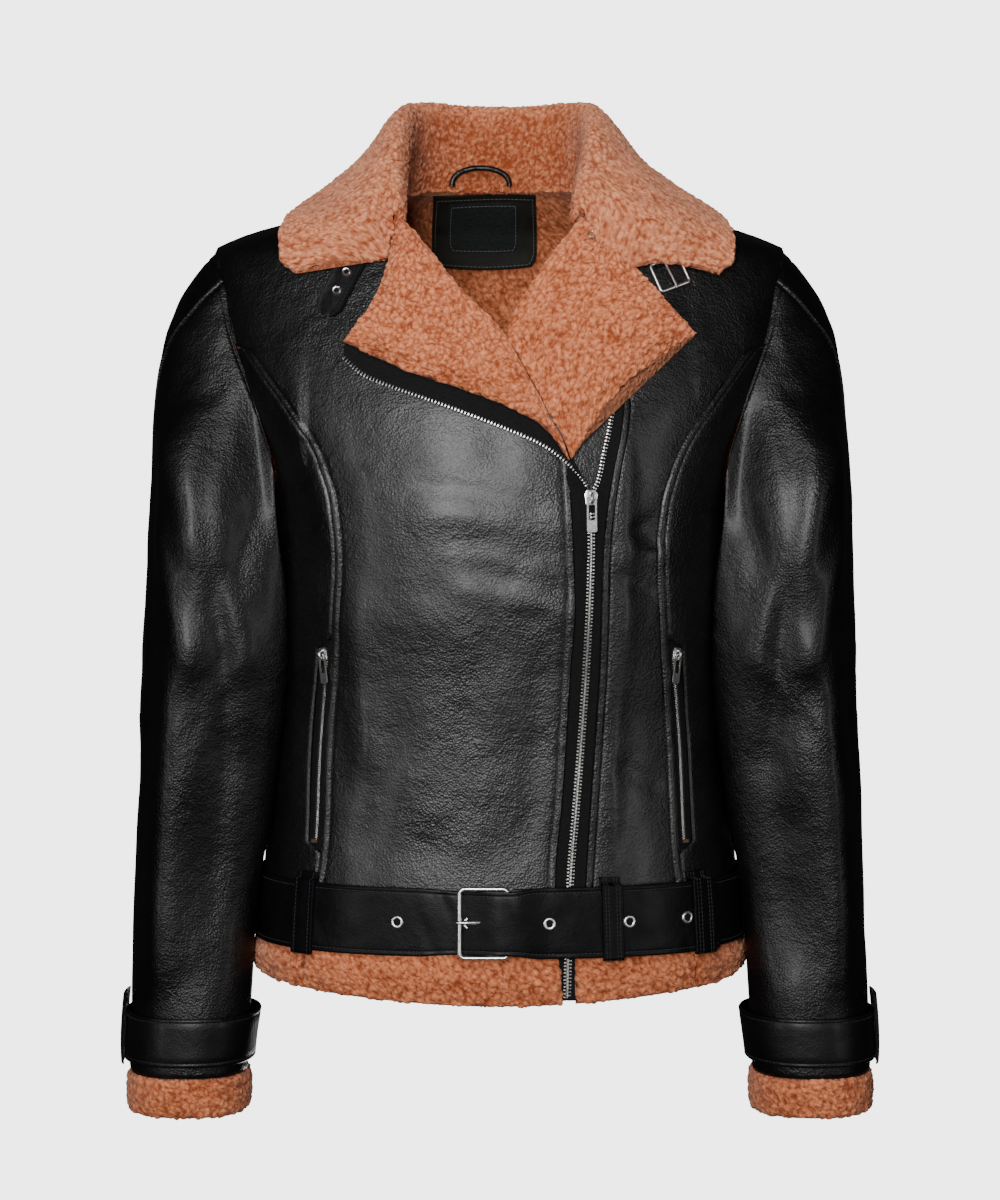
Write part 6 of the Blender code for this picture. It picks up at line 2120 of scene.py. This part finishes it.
class Belt:
    """The belt with its stitching, buckle, prong, eyelets and loops."""

    def bars(self) -> list[float]:
        """The turns of the buckle's two bars."""
        return [float(BODY.turn_at_x(x, BELT_TOP)) for x in BUCKLE_X]

    def lift(self, turn: Array) -> Array:
        """Distance off the body: two layers on the left front, over the buckle's bar, then one."""
        under, over = self.bars()
        first, second = BELT_SETTING, BELT_SETTING + BELT_WALL + 0.6
        bridge = BELT_SETTING + BELT_WALL + 2 * BUCKLE_WIRE + 1.5
        rise = first + (bridge - first) * step_up(turn, under - 0.04, over - 0.04)
        fall = bridge + (second - bridge) * step_up(turn, over + 0.02, over + 0.26)
        return np.where(turn < over, rise, fall)

    def wide(self, turn: Array, z: Array) -> Array:
        """Heights of the belt's rows: the strap is drawn a little narrower through the buckle."""
        under, over = self.bars()
        grow = 2.6 * step_up(turn, over, over + 0.2) + 1.6 * step_up(under - turn, 0.02, 0.25)
        return BELT_MIDDLE + (z - BELT_MIDDLE) * (1 + grow * 2 / (BELT_TOP - BELT_END))

    def soft(self, turn: Array, z: Array) -> Array:
        """The belt's own unevenness: slow swells and short creases near the buckle and the loops."""
        base = BODY.point(turn, z)
        swell = 0.9 * soft_noise(base * np.array([1, 1, 0.6]), 34, 61) + 0.3 * soft_noise(base, 13, 62)
        near = sum(bell(base[..., 0], x, 16) for x in (-46, 22, 79, 143, -140))
        slant = base + np.array([1, 0, 0]) * 0.5 * (base[..., 2:] - BELT_MIDDLE)
        crease = 0.9 * soft_noise(slant * np.array([1.6, 1.6, 0.35]), 13, 63) * np.minimum(near, 1)
        return (swell + crease) * (base[..., 1] < 40)

    def build(self) -> None:
        """Make every belt piece."""
        start = float(BODY.turn_at_x(BELT_TIP_X, BELT_TOP))
        bar = float(BODY.turn_at_x(BUCKLE_X[1] + 3.2, BELT_TOP))
        turns = np.linspace(start, bar - TAU, 560)
        depth = spread(np.array([BELT_TOP - BELT_END]), 3.2, (0, 0.3, 0.8, 1.6, 2.6, 3.2, 3.8, 4.8))[0]
        grid_turn, down = np.meshgrid(turns, depth, indexing="ij")
        z = self.wide(grid_turn, BELT_TOP - down)
        rim = np.minimum(down, BELT_TOP - BELT_END - down)
        lift = self.lift(grid_turn)
        edge = 0.9 * (1 - np.sqrt(1 - (1 - np.clip(rim / 0.9, 0, 1)) ** 2))
        groove = 0.28 * bell(rim, BELT_STITCH_IN, 0.55)
        high = lift + BELT_WALL - edge - groove + self.soft(grid_turn, z) * 0.8 - 0.15
        low = lift + edge
        piece = Piece("belt_leather", SOFT_LEATHER, replaces=("belt",), held="stretched",
                      rests_on=("back_leather",))
        piece.shell(BODY.point(grid_turn, z, high), BODY.point(grid_turn, z, low))
        rows = []
        for down in (BELT_STITCH_IN, BELT_TOP - BELT_END - BELT_STITCH_IN):
            z = self.wide(turns, np.full(turns.shape, BELT_TOP - down))
            rows.append(Line.round(turns, z, self.lift(turns) + BELT_WALL - 0.42 + 0.8 * self.soft(turns, z)))
        Stitches().build("belt_stitches", rows)
        self.buckle()
        for number, x in enumerate(EYELET_X, 1):
            out = float(self.lift(BODY.turn_at_x(x, BELT_MIDDLE))) + BELT_WALL + 0.1
            self.eyelet(f"belt_eyelet_{number}", x, out)
        self.eyelet("belt_eyelet_under_prong", -22.0, BELT_SETTING + BELT_WALL - 0.1, False)
        for name, x in BELT_LOOPS:
            self.loop(name, float(BODY.turn_at_x(x, BELT_MIDDLE)), x > 0)
        for name, degrees in BACK_LOOPS:
            self.loop(name, math.radians(degrees), False)

    def eyelet(self, name: str, x: float, out: float, stands: bool = True) -> None:
        """One eyelet of the belt: its ring, and the dark floor of its hole."""
        where = BODY.seat(x, BELT_MIDDLE, out)
        ring = placed(where, ring_loop(4.8, 2.5, 0.95))
        Piece(f"{name}_ring", NICKEL, replaces=(name,) if stands else (), sharp=50).ringed(ring, closed=True)
        angle = np.arange(24) * TAU / 24
        disc = np.stack([2.7 * np.cos(angle), 2.7 * np.sin(angle)], -1)
        floor = np.stack([np.column_stack([disc, np.full(24, h)]) for h in (-0.2, 0.25)])
        Piece(f"{name}_floor", TAPE).ringed(placed(where, floor))

    def buckle(self) -> None:
        """The wire buckle, rounded at its corners, and its prong."""
        x = sum(BUCKLE_X) / 2
        where = BODY.seat(x, BELT_MIDDLE, BELT_SETTING + BELT_WALL + 0.45 + BUCKLE_WIRE)
        half_width = (BUCKLE_X[1] - BUCKLE_X[0]) / 2
        half_height = (BELT_TOP - BELT_END) / 2 + BUCKLE_WIRE + 0.6
        path = rounded_box(half_width, 2 * half_height, 4.0, 10)
        path = np.column_stack([path[:, 0], path[:, 1] + half_height, np.zeros(len(path))])
        wire = Piece("belt_buckle_wire", NICKEL, replaces=("belt_buckle",), sharp=60)
        wire.tube(placed(where, path), 1.75, 12, True)
        radius = np.interp(np.linspace(0, 1, 40), np.linspace(0, 1, 6), PRONG_RADII)
        prong = Piece("belt_prong_wire", NICKEL, replaces=("belt_prong",), sharp=60)
        prong.tube(placed(where, curve_through(np.array(PRONG), 40)), radius, 12, flat=0.75)

    def loop(self, name: str, turn: float, double: bool) -> None:
        """A loop over the belt, sewn down above and below it, with stitching along both sides."""
        over = BELT_SETTING + (BELT_WALL + 0.7) * (2 if double else 1)
        heights = np.array([9, 6, 4.2, 3.2, -14, -32, -48.6, -50.4]) + BELT_TOP
        lifts = np.array([0.8, 0.9, 2.2, over, over, over, over, over - 0.8])
        curve = Curve("t z out", list(zip(np.linspace(0, 1, 8), heights, lifts)))
        t = np.unique(np.concatenate([np.linspace(0, 0.45, 26), np.linspace(0.45, 1, 34)]))
        z, lift = np.interp(t, np.linspace(0, 1, 8), heights), curve.read("out", t)
        half = LOOP_HALF_TURN
        across = np.array([-1, -0.94, -0.8, -0.66, -0.3, 0, 0.3, 0.66, 0.8, 0.94, 1.0])
        grid_turn = turn + half * np.broadcast_to(across, (len(t), 11))
        grid_z = np.repeat(z[:, None], 11, 1)
        grid_lift = lift[:, None] + 0.25 * soft_noise(BODY.point(grid_turn, grid_z), 14, 65)
        face = grid_lift + 2.0 - 0.7 * (np.abs(across) > 0.97) - 0.25 * (np.abs(np.abs(across) - 0.66) < 0.01)
        piece = Piece(f"{name}_leather", SOFT_LEATHER, replaces=(name,), held="stretched",
                      rests_on=("belt_leather",))
        piece.shell(BODY.point(grid_turn, grid_z, face), BODY.point(grid_turn, grid_z, grid_lift - 0.25))
        beside = ((-0.66, 1.75), (0.66, 1.75), (-0.38, 1.95), (0.38, 1.95))[: 4 if double else 2]
        rows = [Line.round(np.full(z.shape, turn + share * half), z, lift + up) for share, up in beside]
        Stitches().build(f"{name}_stitches", rows)


class Hem:
    """The fleece band below the belt in three lengths."""

    curls = Curls(4.4, 2.6, 1.4, 5)

    def end(self, turn: Array) -> Array:
        """The hem's lower edge: lowest at the front's middle."""
        front, back = np.clip(np.cos(turn), 0, 1), np.clip(-np.cos(turn), 0, 1)
        return HEM_SIDE - 14 * front**1.2 - 5 * back

    def build(self) -> None:
        """Make the three lengths."""
        seam = float(BODY.turn_at_x(141, -550))
        right_end = float(BODY.turn_at_x(RIGHT_EDGE.read("x", -570) + 3.4, -570))
        left_start = float(BODY.turn_at_x(LEFT_EDGE.read("x", -550) - 4.6, -550))
        self.length("hem_right", -seam + HEM_SEAM_TURN, right_end)
        self.length("hem_left", left_start, seam - HEM_SEAM_TURN)
        self.length("hem_back", seam + HEM_SEAM_TURN, TAU - seam - HEM_SEAM_TURN)

    def length(self, name: str, first: float, last: float) -> None:
        """One length of the hem between two turns."""
        size = abs(last - first) * 140

        def surface(u: Array, v: Array, depth: float) -> Array:
            """Hem points by share along, share down and depth."""
            turn = first + (last - first) * u
            z = HEM_TOP + (self.end(turn) - HEM_TOP) * v
            base = BODY.point(turn, z)
            out = HEM_CROWN.read("out", v) + 0.9 * soft_noise(base, 30, 71) * step_up(v, 0.05, 0.3)
            return BODY.point(turn, z, out + (-5.3 - out) * depth)

        step = 1.5 if name != "hem_back" else 1.9
        pad = Pad(f"{name}_fleece", TRIM_FLEECE, self.curls, 2.8, held="hung", rests_on=("back_leather",))
        pad.build(surface, even(size, step), even(42, 1.3), np.linspace(0, 1, 12), replaces=(name,))


class Cuffs:
    """The fleece cuffs, the straps round the sleeves and the tabs at their outer sides."""

    def build(self) -> None:
        """Make both cuffs."""
        for side in ("right", "left"):
            form = SleeveForm(side)
            self.fleece(form)
            self.strap(form)
            self.tab(form)

    def fleece(self, form: SleeveForm) -> None:
        """The cuff: a closed band of fleece, fullest in its middle."""

        def surface(u: Array, v: Array, depth: float) -> Array:
            """Cuff points by share round, share down and depth."""
            z = CUFF_FLEECE_TOP + (CUFF_FLEECE_END - CUFF_FLEECE_TOP) * v
            out = 0.2 + 1.6 * np.sin(np.pi * np.clip(v, 0, 1)) ** 0.7
            return form.band(360 * u, z, out + (-8.0 - out) * depth)

        round_it = np.linspace(0, 1, 210, endpoint=False)
        salt = 9 if form.side == "left" else 12
        pad = Pad(f"cuff_fleece_{form.side}_pile", TRIM_FLEECE, Curls(4.4, 2.6, 1.5, salt), 3.4, closed=True,
                  rests_on=(f"top_sleeve_{form.side}_leather",))
        name = f"cuff_fleece_{form.side}"
        pad.build(surface, round_it, even(34, 1.35), np.linspace(0, 1, 10), replaces=(name,))

    def strap(self, form: SleeveForm) -> None:
        """The strap round the sleeve, with an edge groove and a row of stitches at each side."""
        top, end = CUFF_STRAP_HEIGHTS
        depth = spread(np.array([top - end]), 4, (0, 0.3, 0.9, 2.4, 3.0, 3.6))[0]
        around, down = np.meshgrid(np.linspace(0, 360, 120, endpoint=False), depth, indexing="ij")
        rim = np.minimum(down, top - end - down)
        base = form.band(around, top - down, 0.0)
        inside, outside = CUFF_STRAP
        high = outside - 0.7 * bell(rim, 0, 0.5) - 0.3 * bell(rim, 3.0, 0.5) + 0.35 * soft_noise(base, 18, 81)
        rings = np.concatenate([form.band(around, top - down, high),
                                form.band(around, top - down, np.full(high.shape, inside))[:, ::-1]], 1)
        name = f"cuff_strap_{form.side}"
        piece = Piece(f"{name}_leather", STRAP_LEATHER, replaces=(name,), held="stretched",
                      rests_on=(f"top_sleeve_{form.side}_leather",))
        strap = piece.ringed(rings, closed=True)
        piece.cut(np.concatenate([rings[:, : len(depth)], rings[:1, : len(depth)]]))
        turn = np.linspace(0, 360, 200)
        lines = []
        for down in (3.0, top - end - 3.0):
            z = np.full(200, top - down)
            low = form.band(turn, z, np.full(200, outside - 0.35))
            lines.append(Line(low, form.band(turn, z, np.full(200, outside + 0.65)) - low))
        Stitches().build(f"{name}_stitches", lines)

    def tab(self, form: SleeveForm) -> None:
        """The bowed tab that covers the strap's ends at the outer side."""
        around = np.linspace(-TAB_HALF_ANGLE, TAB_HALF_ANGLE, 22)
        share = even(52, 2.2, (0, 0.3, 0.9, 1.8))
        around, share = np.meshgrid(around, share, indexing="ij")
        z = TAB_TOP + (TAB_END - TAB_TOP) * share
        lift = TAB_LIFT + TAB_BOW * np.sin(np.pi * np.clip(share, 0, 1)) ** 0.7
        angle = np.radians(around)
        base, away = form.ring(angle, z), form.away(angle)
        rim = np.minimum(share, 1 - share) * 52
        high = lift + TAB_WALL - 0.6 * bell(rim, 0, 0.5) - 0.3 * bell(rim, 3.2, 0.6)
        name = f"cuff_tab_{form.side}"
        outer, inner = base + high[..., None] * away, base + lift[..., None] * away
        piece = Piece(f"{name}_leather", STRAP_LEATHER, replaces=(name,), held="laid",
                      rests_on=(f"cuff_strap_{form.side}_leather",))
        piece.shell(form.mirror(outer), form.mirror(inner))


class Neck:
    """Inside the back neck: the curled lining that shows, the bare patch and the hanger loop."""

    def build(self) -> None:
        """Make the lining, the patch and the loop."""
        self.lining()
        self.patch()
        self.hanger()

    def lining(self) -> None:
        """The back's lining, whose curls face the wearer."""
        z = -3.5 - np.concatenate([np.arange(0, 150, 2.4), np.linspace(150, 546, 44)])
        panel = PANELS[4]
        first, last = panel.first(z)[:, None], panel.last(z)[:, None]
        parts = ((0.008, 0.2, 16), (0.2, 0.8, 118), (0.8, 0.992, 16))
        share = np.unique(np.concatenate([np.linspace(*part) for part in parts]))
        turns = first + (last - first) * share
        heights = np.repeat(z[:, None], len(share), 1)
        base = BODY.point(turns, heights)
        height = Curls(4.3, 1.7, 0, 8).heights(base)
        near = step_up(heights, -170, -140)
        deep = 3.0 * np.maximum(step_up(-heights, 84, 104), step_up(np.abs(share - 0.5), 0.28, 0.36))
        inner = BODY.point(turns, heights, -4.2 - deep - near * 1.8 * (height - 0.2))
        outer = BODY.point(turns, heights, -2.2 - deep)
        piece = Piece("back_lining", LINING_FLEECE, sharp=80, held="hung", rests_on=("back_leather",))
        # The curl heights go to the attribute "tip" as well, for painted shade between the curls.
        piece.shell(inner, outer, tips=height)

    def patch(self) -> None:
        """The leather patch with a darker cloth patch on it, both bare and stitched round."""
        outline, inset = ((-12.0, -5.0), 40.0, 57.0), ((-13.0, -11.5), 26.5, 38.0)
        self.sheet("neck_patch_leather", PATCH_LEATHER, outline, (-8.1, -6.3), ("neck_patch",), 2.6)
        self.sheet("neck_patch_cloth", PATCH_CLOTH, inset, (-8.75, -8.15), (), 1.0)
        lines = [self.frame(((-12.0, -5.0), 37.6, 54.6), -8.35, 2.6),
                 self.frame(((-13.0, -12.8), 25.0, 35.6), -8.85, 1.0)]
        Stitches(PATCH_THREAD).build("neck_patch_stitches", lines)

    def back(self, x: Array, z: Array, out: Array | float) -> Array:
        """Points of the back's inside by x and height, at a distance off the outer surface."""
        half, _, back, _, power = BODY.level(z)
        depth = back * (1 - (np.abs(x) / half) ** power) ** (1 / power)
        return BODY.point(np.arctan2(x, -depth), z, out)

    def narrow(self, v: Array) -> Array:
        """How wide a patch is at a share down it: a little less at its rounded lower corners."""
        return 1 - 0.10 * np.clip((v - 0.82) / 0.18, 0, 1) ** 2

    def sheet(
        self, name: str, finish: Finish, outline: tuple, walls: tuple, stands: tuple, sag: float
    ) -> None:
        """A flat piece on the back's inside.

        Args:
            name: the piece's name.
            finish: its finish.
            outline: its top's middle as x and height, its half width and its length.
            walls: the distances of its face and its back off the outer surface.
            stands: the solids it stands for.
            sag: how far its middle hangs lower than its sides.
        """
        (middle, top), half, tall = outline
        u, v = np.meshgrid(np.linspace(-1, 1, 41), even(tall, 2.4, (0, 0.3, 0.8)), indexing="ij")
        x = middle + half * u * self.narrow(v)
        z = top - tall * v - sag * v * np.cos(u * 1.5)
        inside, outside = walls
        rim = np.minimum(np.minimum(v, 1 - v) * tall, (1 - np.abs(u)) * half)
        high = inside + 0.3 * bell(rim, 0, 0.5) + 0.12 * soft_noise(np.stack([x, z, z * 0], -1), 9, 91)
        piece = Piece(name, finish, replaces=stands, held="laid", rests_on=("back_lining",))
        piece.shell(self.back(x, z, high), self.back(x, z, np.full(x.shape, outside)))

    def frame(self, outline: tuple, out: float, sag: float) -> Line:
        """The line of stitches just inside a patch's edge."""
        (middle, top), half, tall = outline
        side, under = np.linspace(0, 1, 30), np.linspace(-1, 1, 40)
        u = np.concatenate([np.full(30, -1.0), under, np.full(30, 1.0), under[::-1]])
        v = np.concatenate([side, np.full(40, 1.0), side[::-1], np.zeros(40)])
        u, v = u * self.narrow(v), 0.045 + v * 0.955
        x, z = middle + half * u, top - tall * v - sag * v * np.cos(u * 1.5)
        low = self.back(x, z, out)
        return Line(low, self.back(x, z, out - 1) - low)

    def hanger(self) -> None:
        """The hanging loop: a rounded leather cord between two feet at the neck seam."""
        angle = np.linspace(0, math.pi, 60)
        x, z = -14.5 + 21.5 * np.cos(angle), -3.2 + 13.5 * np.sin(angle) ** 0.8
        stations = np.linspace(0, 0.4, 9)
        stand = np.interp(np.abs(x), COLLAR.read("neck_x", stations), COLLAR.read("neck_y", stations))
        path = np.stack([x, stand - 2.6 - 1.5 * np.sin(angle), z], -1)
        Piece("hanger_loop_leather", LEATHER, replaces=("hanger_loop",)).tube(path, 2.1, 14, flat=0.85)


class Fastening:
    """Under the collar's points: the eyelet strap, the wire buckle with its prong, and a lapel hook."""

    def build(self) -> None:
        """Make the strap, the buckle and the hook."""
        where, lean = BODY.seat(-112.0, -72.0, 0), math.radians(24.0)
        self.strap("collar_strap", where, (20, 20, -29), 2.2, lean, True)
        for number, up in enumerate((5.5, -9.5), 1):
            spot = placed(where, np.array([[0, up, 0.0]]), lean)[0]
            place = BODY.seat(spot[0], spot[2], 2.95)
            ring = placed(place, ring_loop(3.5, 1.8, 0.9))
            name = f"collar_eyelet_{number}"
            Piece(f"{name}_ring", NICKEL, replaces=(name,), sharp=50).ringed(ring, closed=True)
        seat, lean = (121.0, -68.5), math.radians(-20.0)
        self.strap("collar_buckle_strap", BODY.seat(*seat, 0), (15, 24, 7), 1.3, lean, False)
        where = BODY.seat(*seat, TRIM_REST + 1.3 + SEAM + 1.1)
        path = rounded_box(11.5, 21.0, 2.0, 8)
        path = np.column_stack([path[:, 0], path[:, 1] + 10.5, np.zeros(len(path))])
        Piece("collar_buckle_wire", NICKEL, replaces=("collar_buckle",), sharp=60).tube(
            placed(where, path, lean), 1.15, 12, True)
        path = curve_through(np.array([(0, 9.0, 0.0), (0, 4.0, 0.6), (0, -4.0, 1.8), (0, -12.0, 2.5)]), 30)
        prong = Piece("collar_prong_wire", NICKEL, "buckle_prong", ("collar_prong",), sharp=60)
        prong.tube(placed(where, path, lean), 0.95, 10)
        where = BODY.seat(65.0, -43.0, TRIM_REST + 7.6 - 0.6)
        angle = np.radians(np.linspace(36, 306, 24))
        ring = 2.4 * np.stack([np.cos(angle), np.sin(angle), np.zeros(24)], -1)
        local = np.concatenate([ring, [(-0.2, -4.4, 0.0), (-1.0, -6.5, 0.0)]])
        hook = Piece("lapel_hook_wire", NICKEL, replaces=("lapel_hook",), sharp=60)
        hook.tube(placed(where, local, math.radians(-30)), 0.6, 8)

    def strap(self, name: str, where: tuple, size: tuple, wall: float, lean: float, tip: bool) -> None:
        """A flat strap at a seat, from one height to another, with stitched edges and a round tip."""
        width, top, end = size
        rows = even(top - end, 1.6, (0, 0.3, 0.8, 1.6))
        across = np.array([-1, -0.96, -0.85, -0.74, -0.4, 0, 0.4, 0.74, 0.85, 0.96, 1])
        u, v = np.meshgrid(across, rows, indexing="ij")
        left = (1 - v) * (top - end)
        tapered = np.where(left < 9, np.sqrt(np.clip(1 - ((9 - left) / 9.6) ** 2, 0.03, 1)), 1.0)
        narrow = tapered if tip else 1.0
        local = np.stack([u * width / 2 * narrow, top + (end - top) * v, np.zeros(u.shape)], -1)
        points = placed(where, local, lean)
        x, z = points[..., 0], points[..., 2]
        groove = 0.25 * (np.abs(np.abs(u) - 0.74) < 0.01)
        high = TRIM_REST + wall - 0.6 * (np.abs(u) > 0.99) - groove
        under = "front_right_leather" if where[0][0] < 0 else "front_left_leather"
        piece = Piece(f"{name}_leather", STRAP_LEATHER, replaces=(name,), held="laid", rests_on=(under,))
        piece.shell(BODY.front(x, z, high), BODY.front(x, z, TRIM_REST))
        rows = [Line.front(x[k], z[k], TRIM_REST + wall - 0.25) for k in (3, 7)]
        Stitches().build(f"{name}_stitches", rows)


class Seams:
    """Rows of stitches beside the side-front seams and the folded zip edges."""

    def build(self) -> None:
        """Make all the rows in one mesh."""
        z = np.linspace(-126, -502, 200)
        x = PRINCESS.read("x", z) - SEAM_STITCH_IN
        lines = [Line.front(sign * x, z, -0.62) for sign in (-1, 1)]
        for edge, top, sign in ((RIGHT_EDGE, -206, -1), (LEFT_EDGE, -160, 1)):
            z = np.linspace(top, -502, 160)
            lines.append(Line.front(edge.read("x", z) + sign * SEAM_STITCH_IN, z, -0.55))
        Stitches().build("seam_stitches", lines)


# Studio

LAMPS = (
    ("front", (-0.35, -3.3, 0.3), (0.7, 1.2), 90, True),
    ("left_strip", (-2.2, -2.5, -0.45), (0.3, 1.2), 15, True),
    ("right_strip", (2.3, -2.4, -0.45), (0.3, 1.2), 13, True),
    ("back", (0.5, 3.0, -2.2), (1.4, 1.0), 70, True),
    ("top", (-0.3, -1.8, 2.4), (1.5, 1.5), 70, False),
)
SWEEP = Curve(
    "t away z", [(0, 0.0, -1.3), (0.35, 3.0, -1.3), (0.5, 4.6, -1.0), (0.65, 5.6, 0.0), (1, 6.0, 6.0)]
)


@dataclass(frozen=True)
class Studio:
    """The camera at the picture's own angle, a pale round floor and soft lamps, in metres."""

    distance: float = 3.0
    elevation: float = 5.0
    target_z: float = -0.309
    lens: float = 145.9
    backdrop: float = 4.0
    dim: float = 0.02

    def build(self) -> None:
        """Make the camera, the sweep, the lamps and the surrounding light."""
        self.camera()
        self.sweep()
        for lamp in LAMPS:
            self.lamp(*lamp)
        world = bpy.data.worlds.new("soft_light")
        world.use_nodes = True
        ground = world.node_tree.nodes["Background"]
        ground.inputs["Color"].default_value = (1.0, 1.0, 1.0, 1)
        ground.inputs["Strength"].default_value = self.dim
        bpy.context.scene.world = world

    def camera(self) -> None:
        """Place the camera in front of the jacket, five degrees above its middle."""
        data = bpy.data.cameras.new("camera")
        data.lens = self.lens
        data.sensor_width = 36
        data.sensor_fit = "HORIZONTAL"
        camera = bpy.data.objects.new("camera", data)
        tilt = math.radians(self.elevation)
        height = self.target_z + self.distance * math.sin(tilt)
        camera.location = (0, -self.distance * math.cos(tilt), height)
        camera.rotation_euler = (math.pi / 2 - tilt, 0, 0)
        bpy.context.scene.collection.objects.link(camera)
        bpy.context.scene.camera = camera

    def lamp(self, name: str, place: tuple, size: tuple, power: float, mirrored: bool) -> None:
        """One flat lamp that looks at the jacket's middle.

        Args:
            name: its name.
            place: where it stands.
            size: its width and height.
            power: its power in watts.
            mirrored: whether glossy surfaces show it.
        """
        data = bpy.data.lights.new(name, "AREA")
        data.shape = "RECTANGLE"
        data.size, data.size_y = size
        data.energy = power
        lamp = bpy.data.objects.new(name, data)
        aim = np.array([0, 0, self.target_z]) - np.array(place)
        aim /= np.linalg.norm(aim)
        lamp.location = place
        lamp.rotation_euler = Vector(aim.tolist()).to_track_quat("-Z", "Y").to_euler()
        lamp.visible_camera = False
        lamp.visible_glossy = mirrored
        bpy.context.scene.collection.objects.link(lamp)

    def sweep(self) -> None:
        """A pale round floor that rises all round in one curve, far outside the lamps."""
        at, turn = np.linspace(0, 1, 40), np.linspace(0, TAU, 72, endpoint=False)
        away, z = np.maximum(SWEEP.read("away", at), 0.01), SWEEP.read("z", at)
        sides = (away[None] * np.cos(turn)[:, None], away[None] * np.sin(turn)[:, None])
        rings = np.stack(np.broadcast_arrays(*sides, z[None]), -1)
        rings = np.concatenate([rings, rings[:1]])
        mesh = bpy.data.meshes.new("sweep")
        mesh.from_pydata(rings.reshape(-1, 3).tolist(), [], grid_faces(73, 40, False)[:, ::-1].tolist())
        mesh.shade_smooth()
        paper = Nodes("pale_paper")
        tone = paper.noise(3.0, 2.0)
        pale = (self.backdrop,) * 3
        glow = paper.blend(tone, pale, tuple(0.995 * c for c in pale))
        paper.link(glow, paper.shader.inputs["Emission Color"])
        paper.settle(Roughness=1.0, Specular_IOR_Level=0.0, Emission_Strength=1.0, Base_Color=(0, 0, 0, 1))
        mesh.materials.append(paper.material)
        floor = bpy.data.objects.new("sweep", mesh)
        floor.visible_glossy = floor.visible_diffuse = floor.visible_shadow = False
        bpy.context.scene.collection.objects.link(floor)


def main() -> None:
    """Build the jacket's looks class by class, then the studio."""
    Studio().build()
    for panel in PANELS:
        panel.leather()
        if panel.name != "back":
            panel.lining(PLAIN_FLEECE)
    Sleeves().build()
    CollarForm().build()
    for lapel in lapels():
        lapel.build()
    Zip().build()
    where = BODY.seat(*ZIP_SLIDER_SEAT)
    Slider("zip_slider", "zip_pull", "front_pull", where, 0.0, 1.0, 0.6).build()
    Pockets().build()
    Belt().build()
    Hem().build()
    Cuffs().build()
    Neck().build()
    Fastening().build()
    Seams().build()
    log.info("built")


if __name__ == "__main__":
    logging.basicConfig(level=logging.INFO, format="%(name)s: %(message)s")
    main()
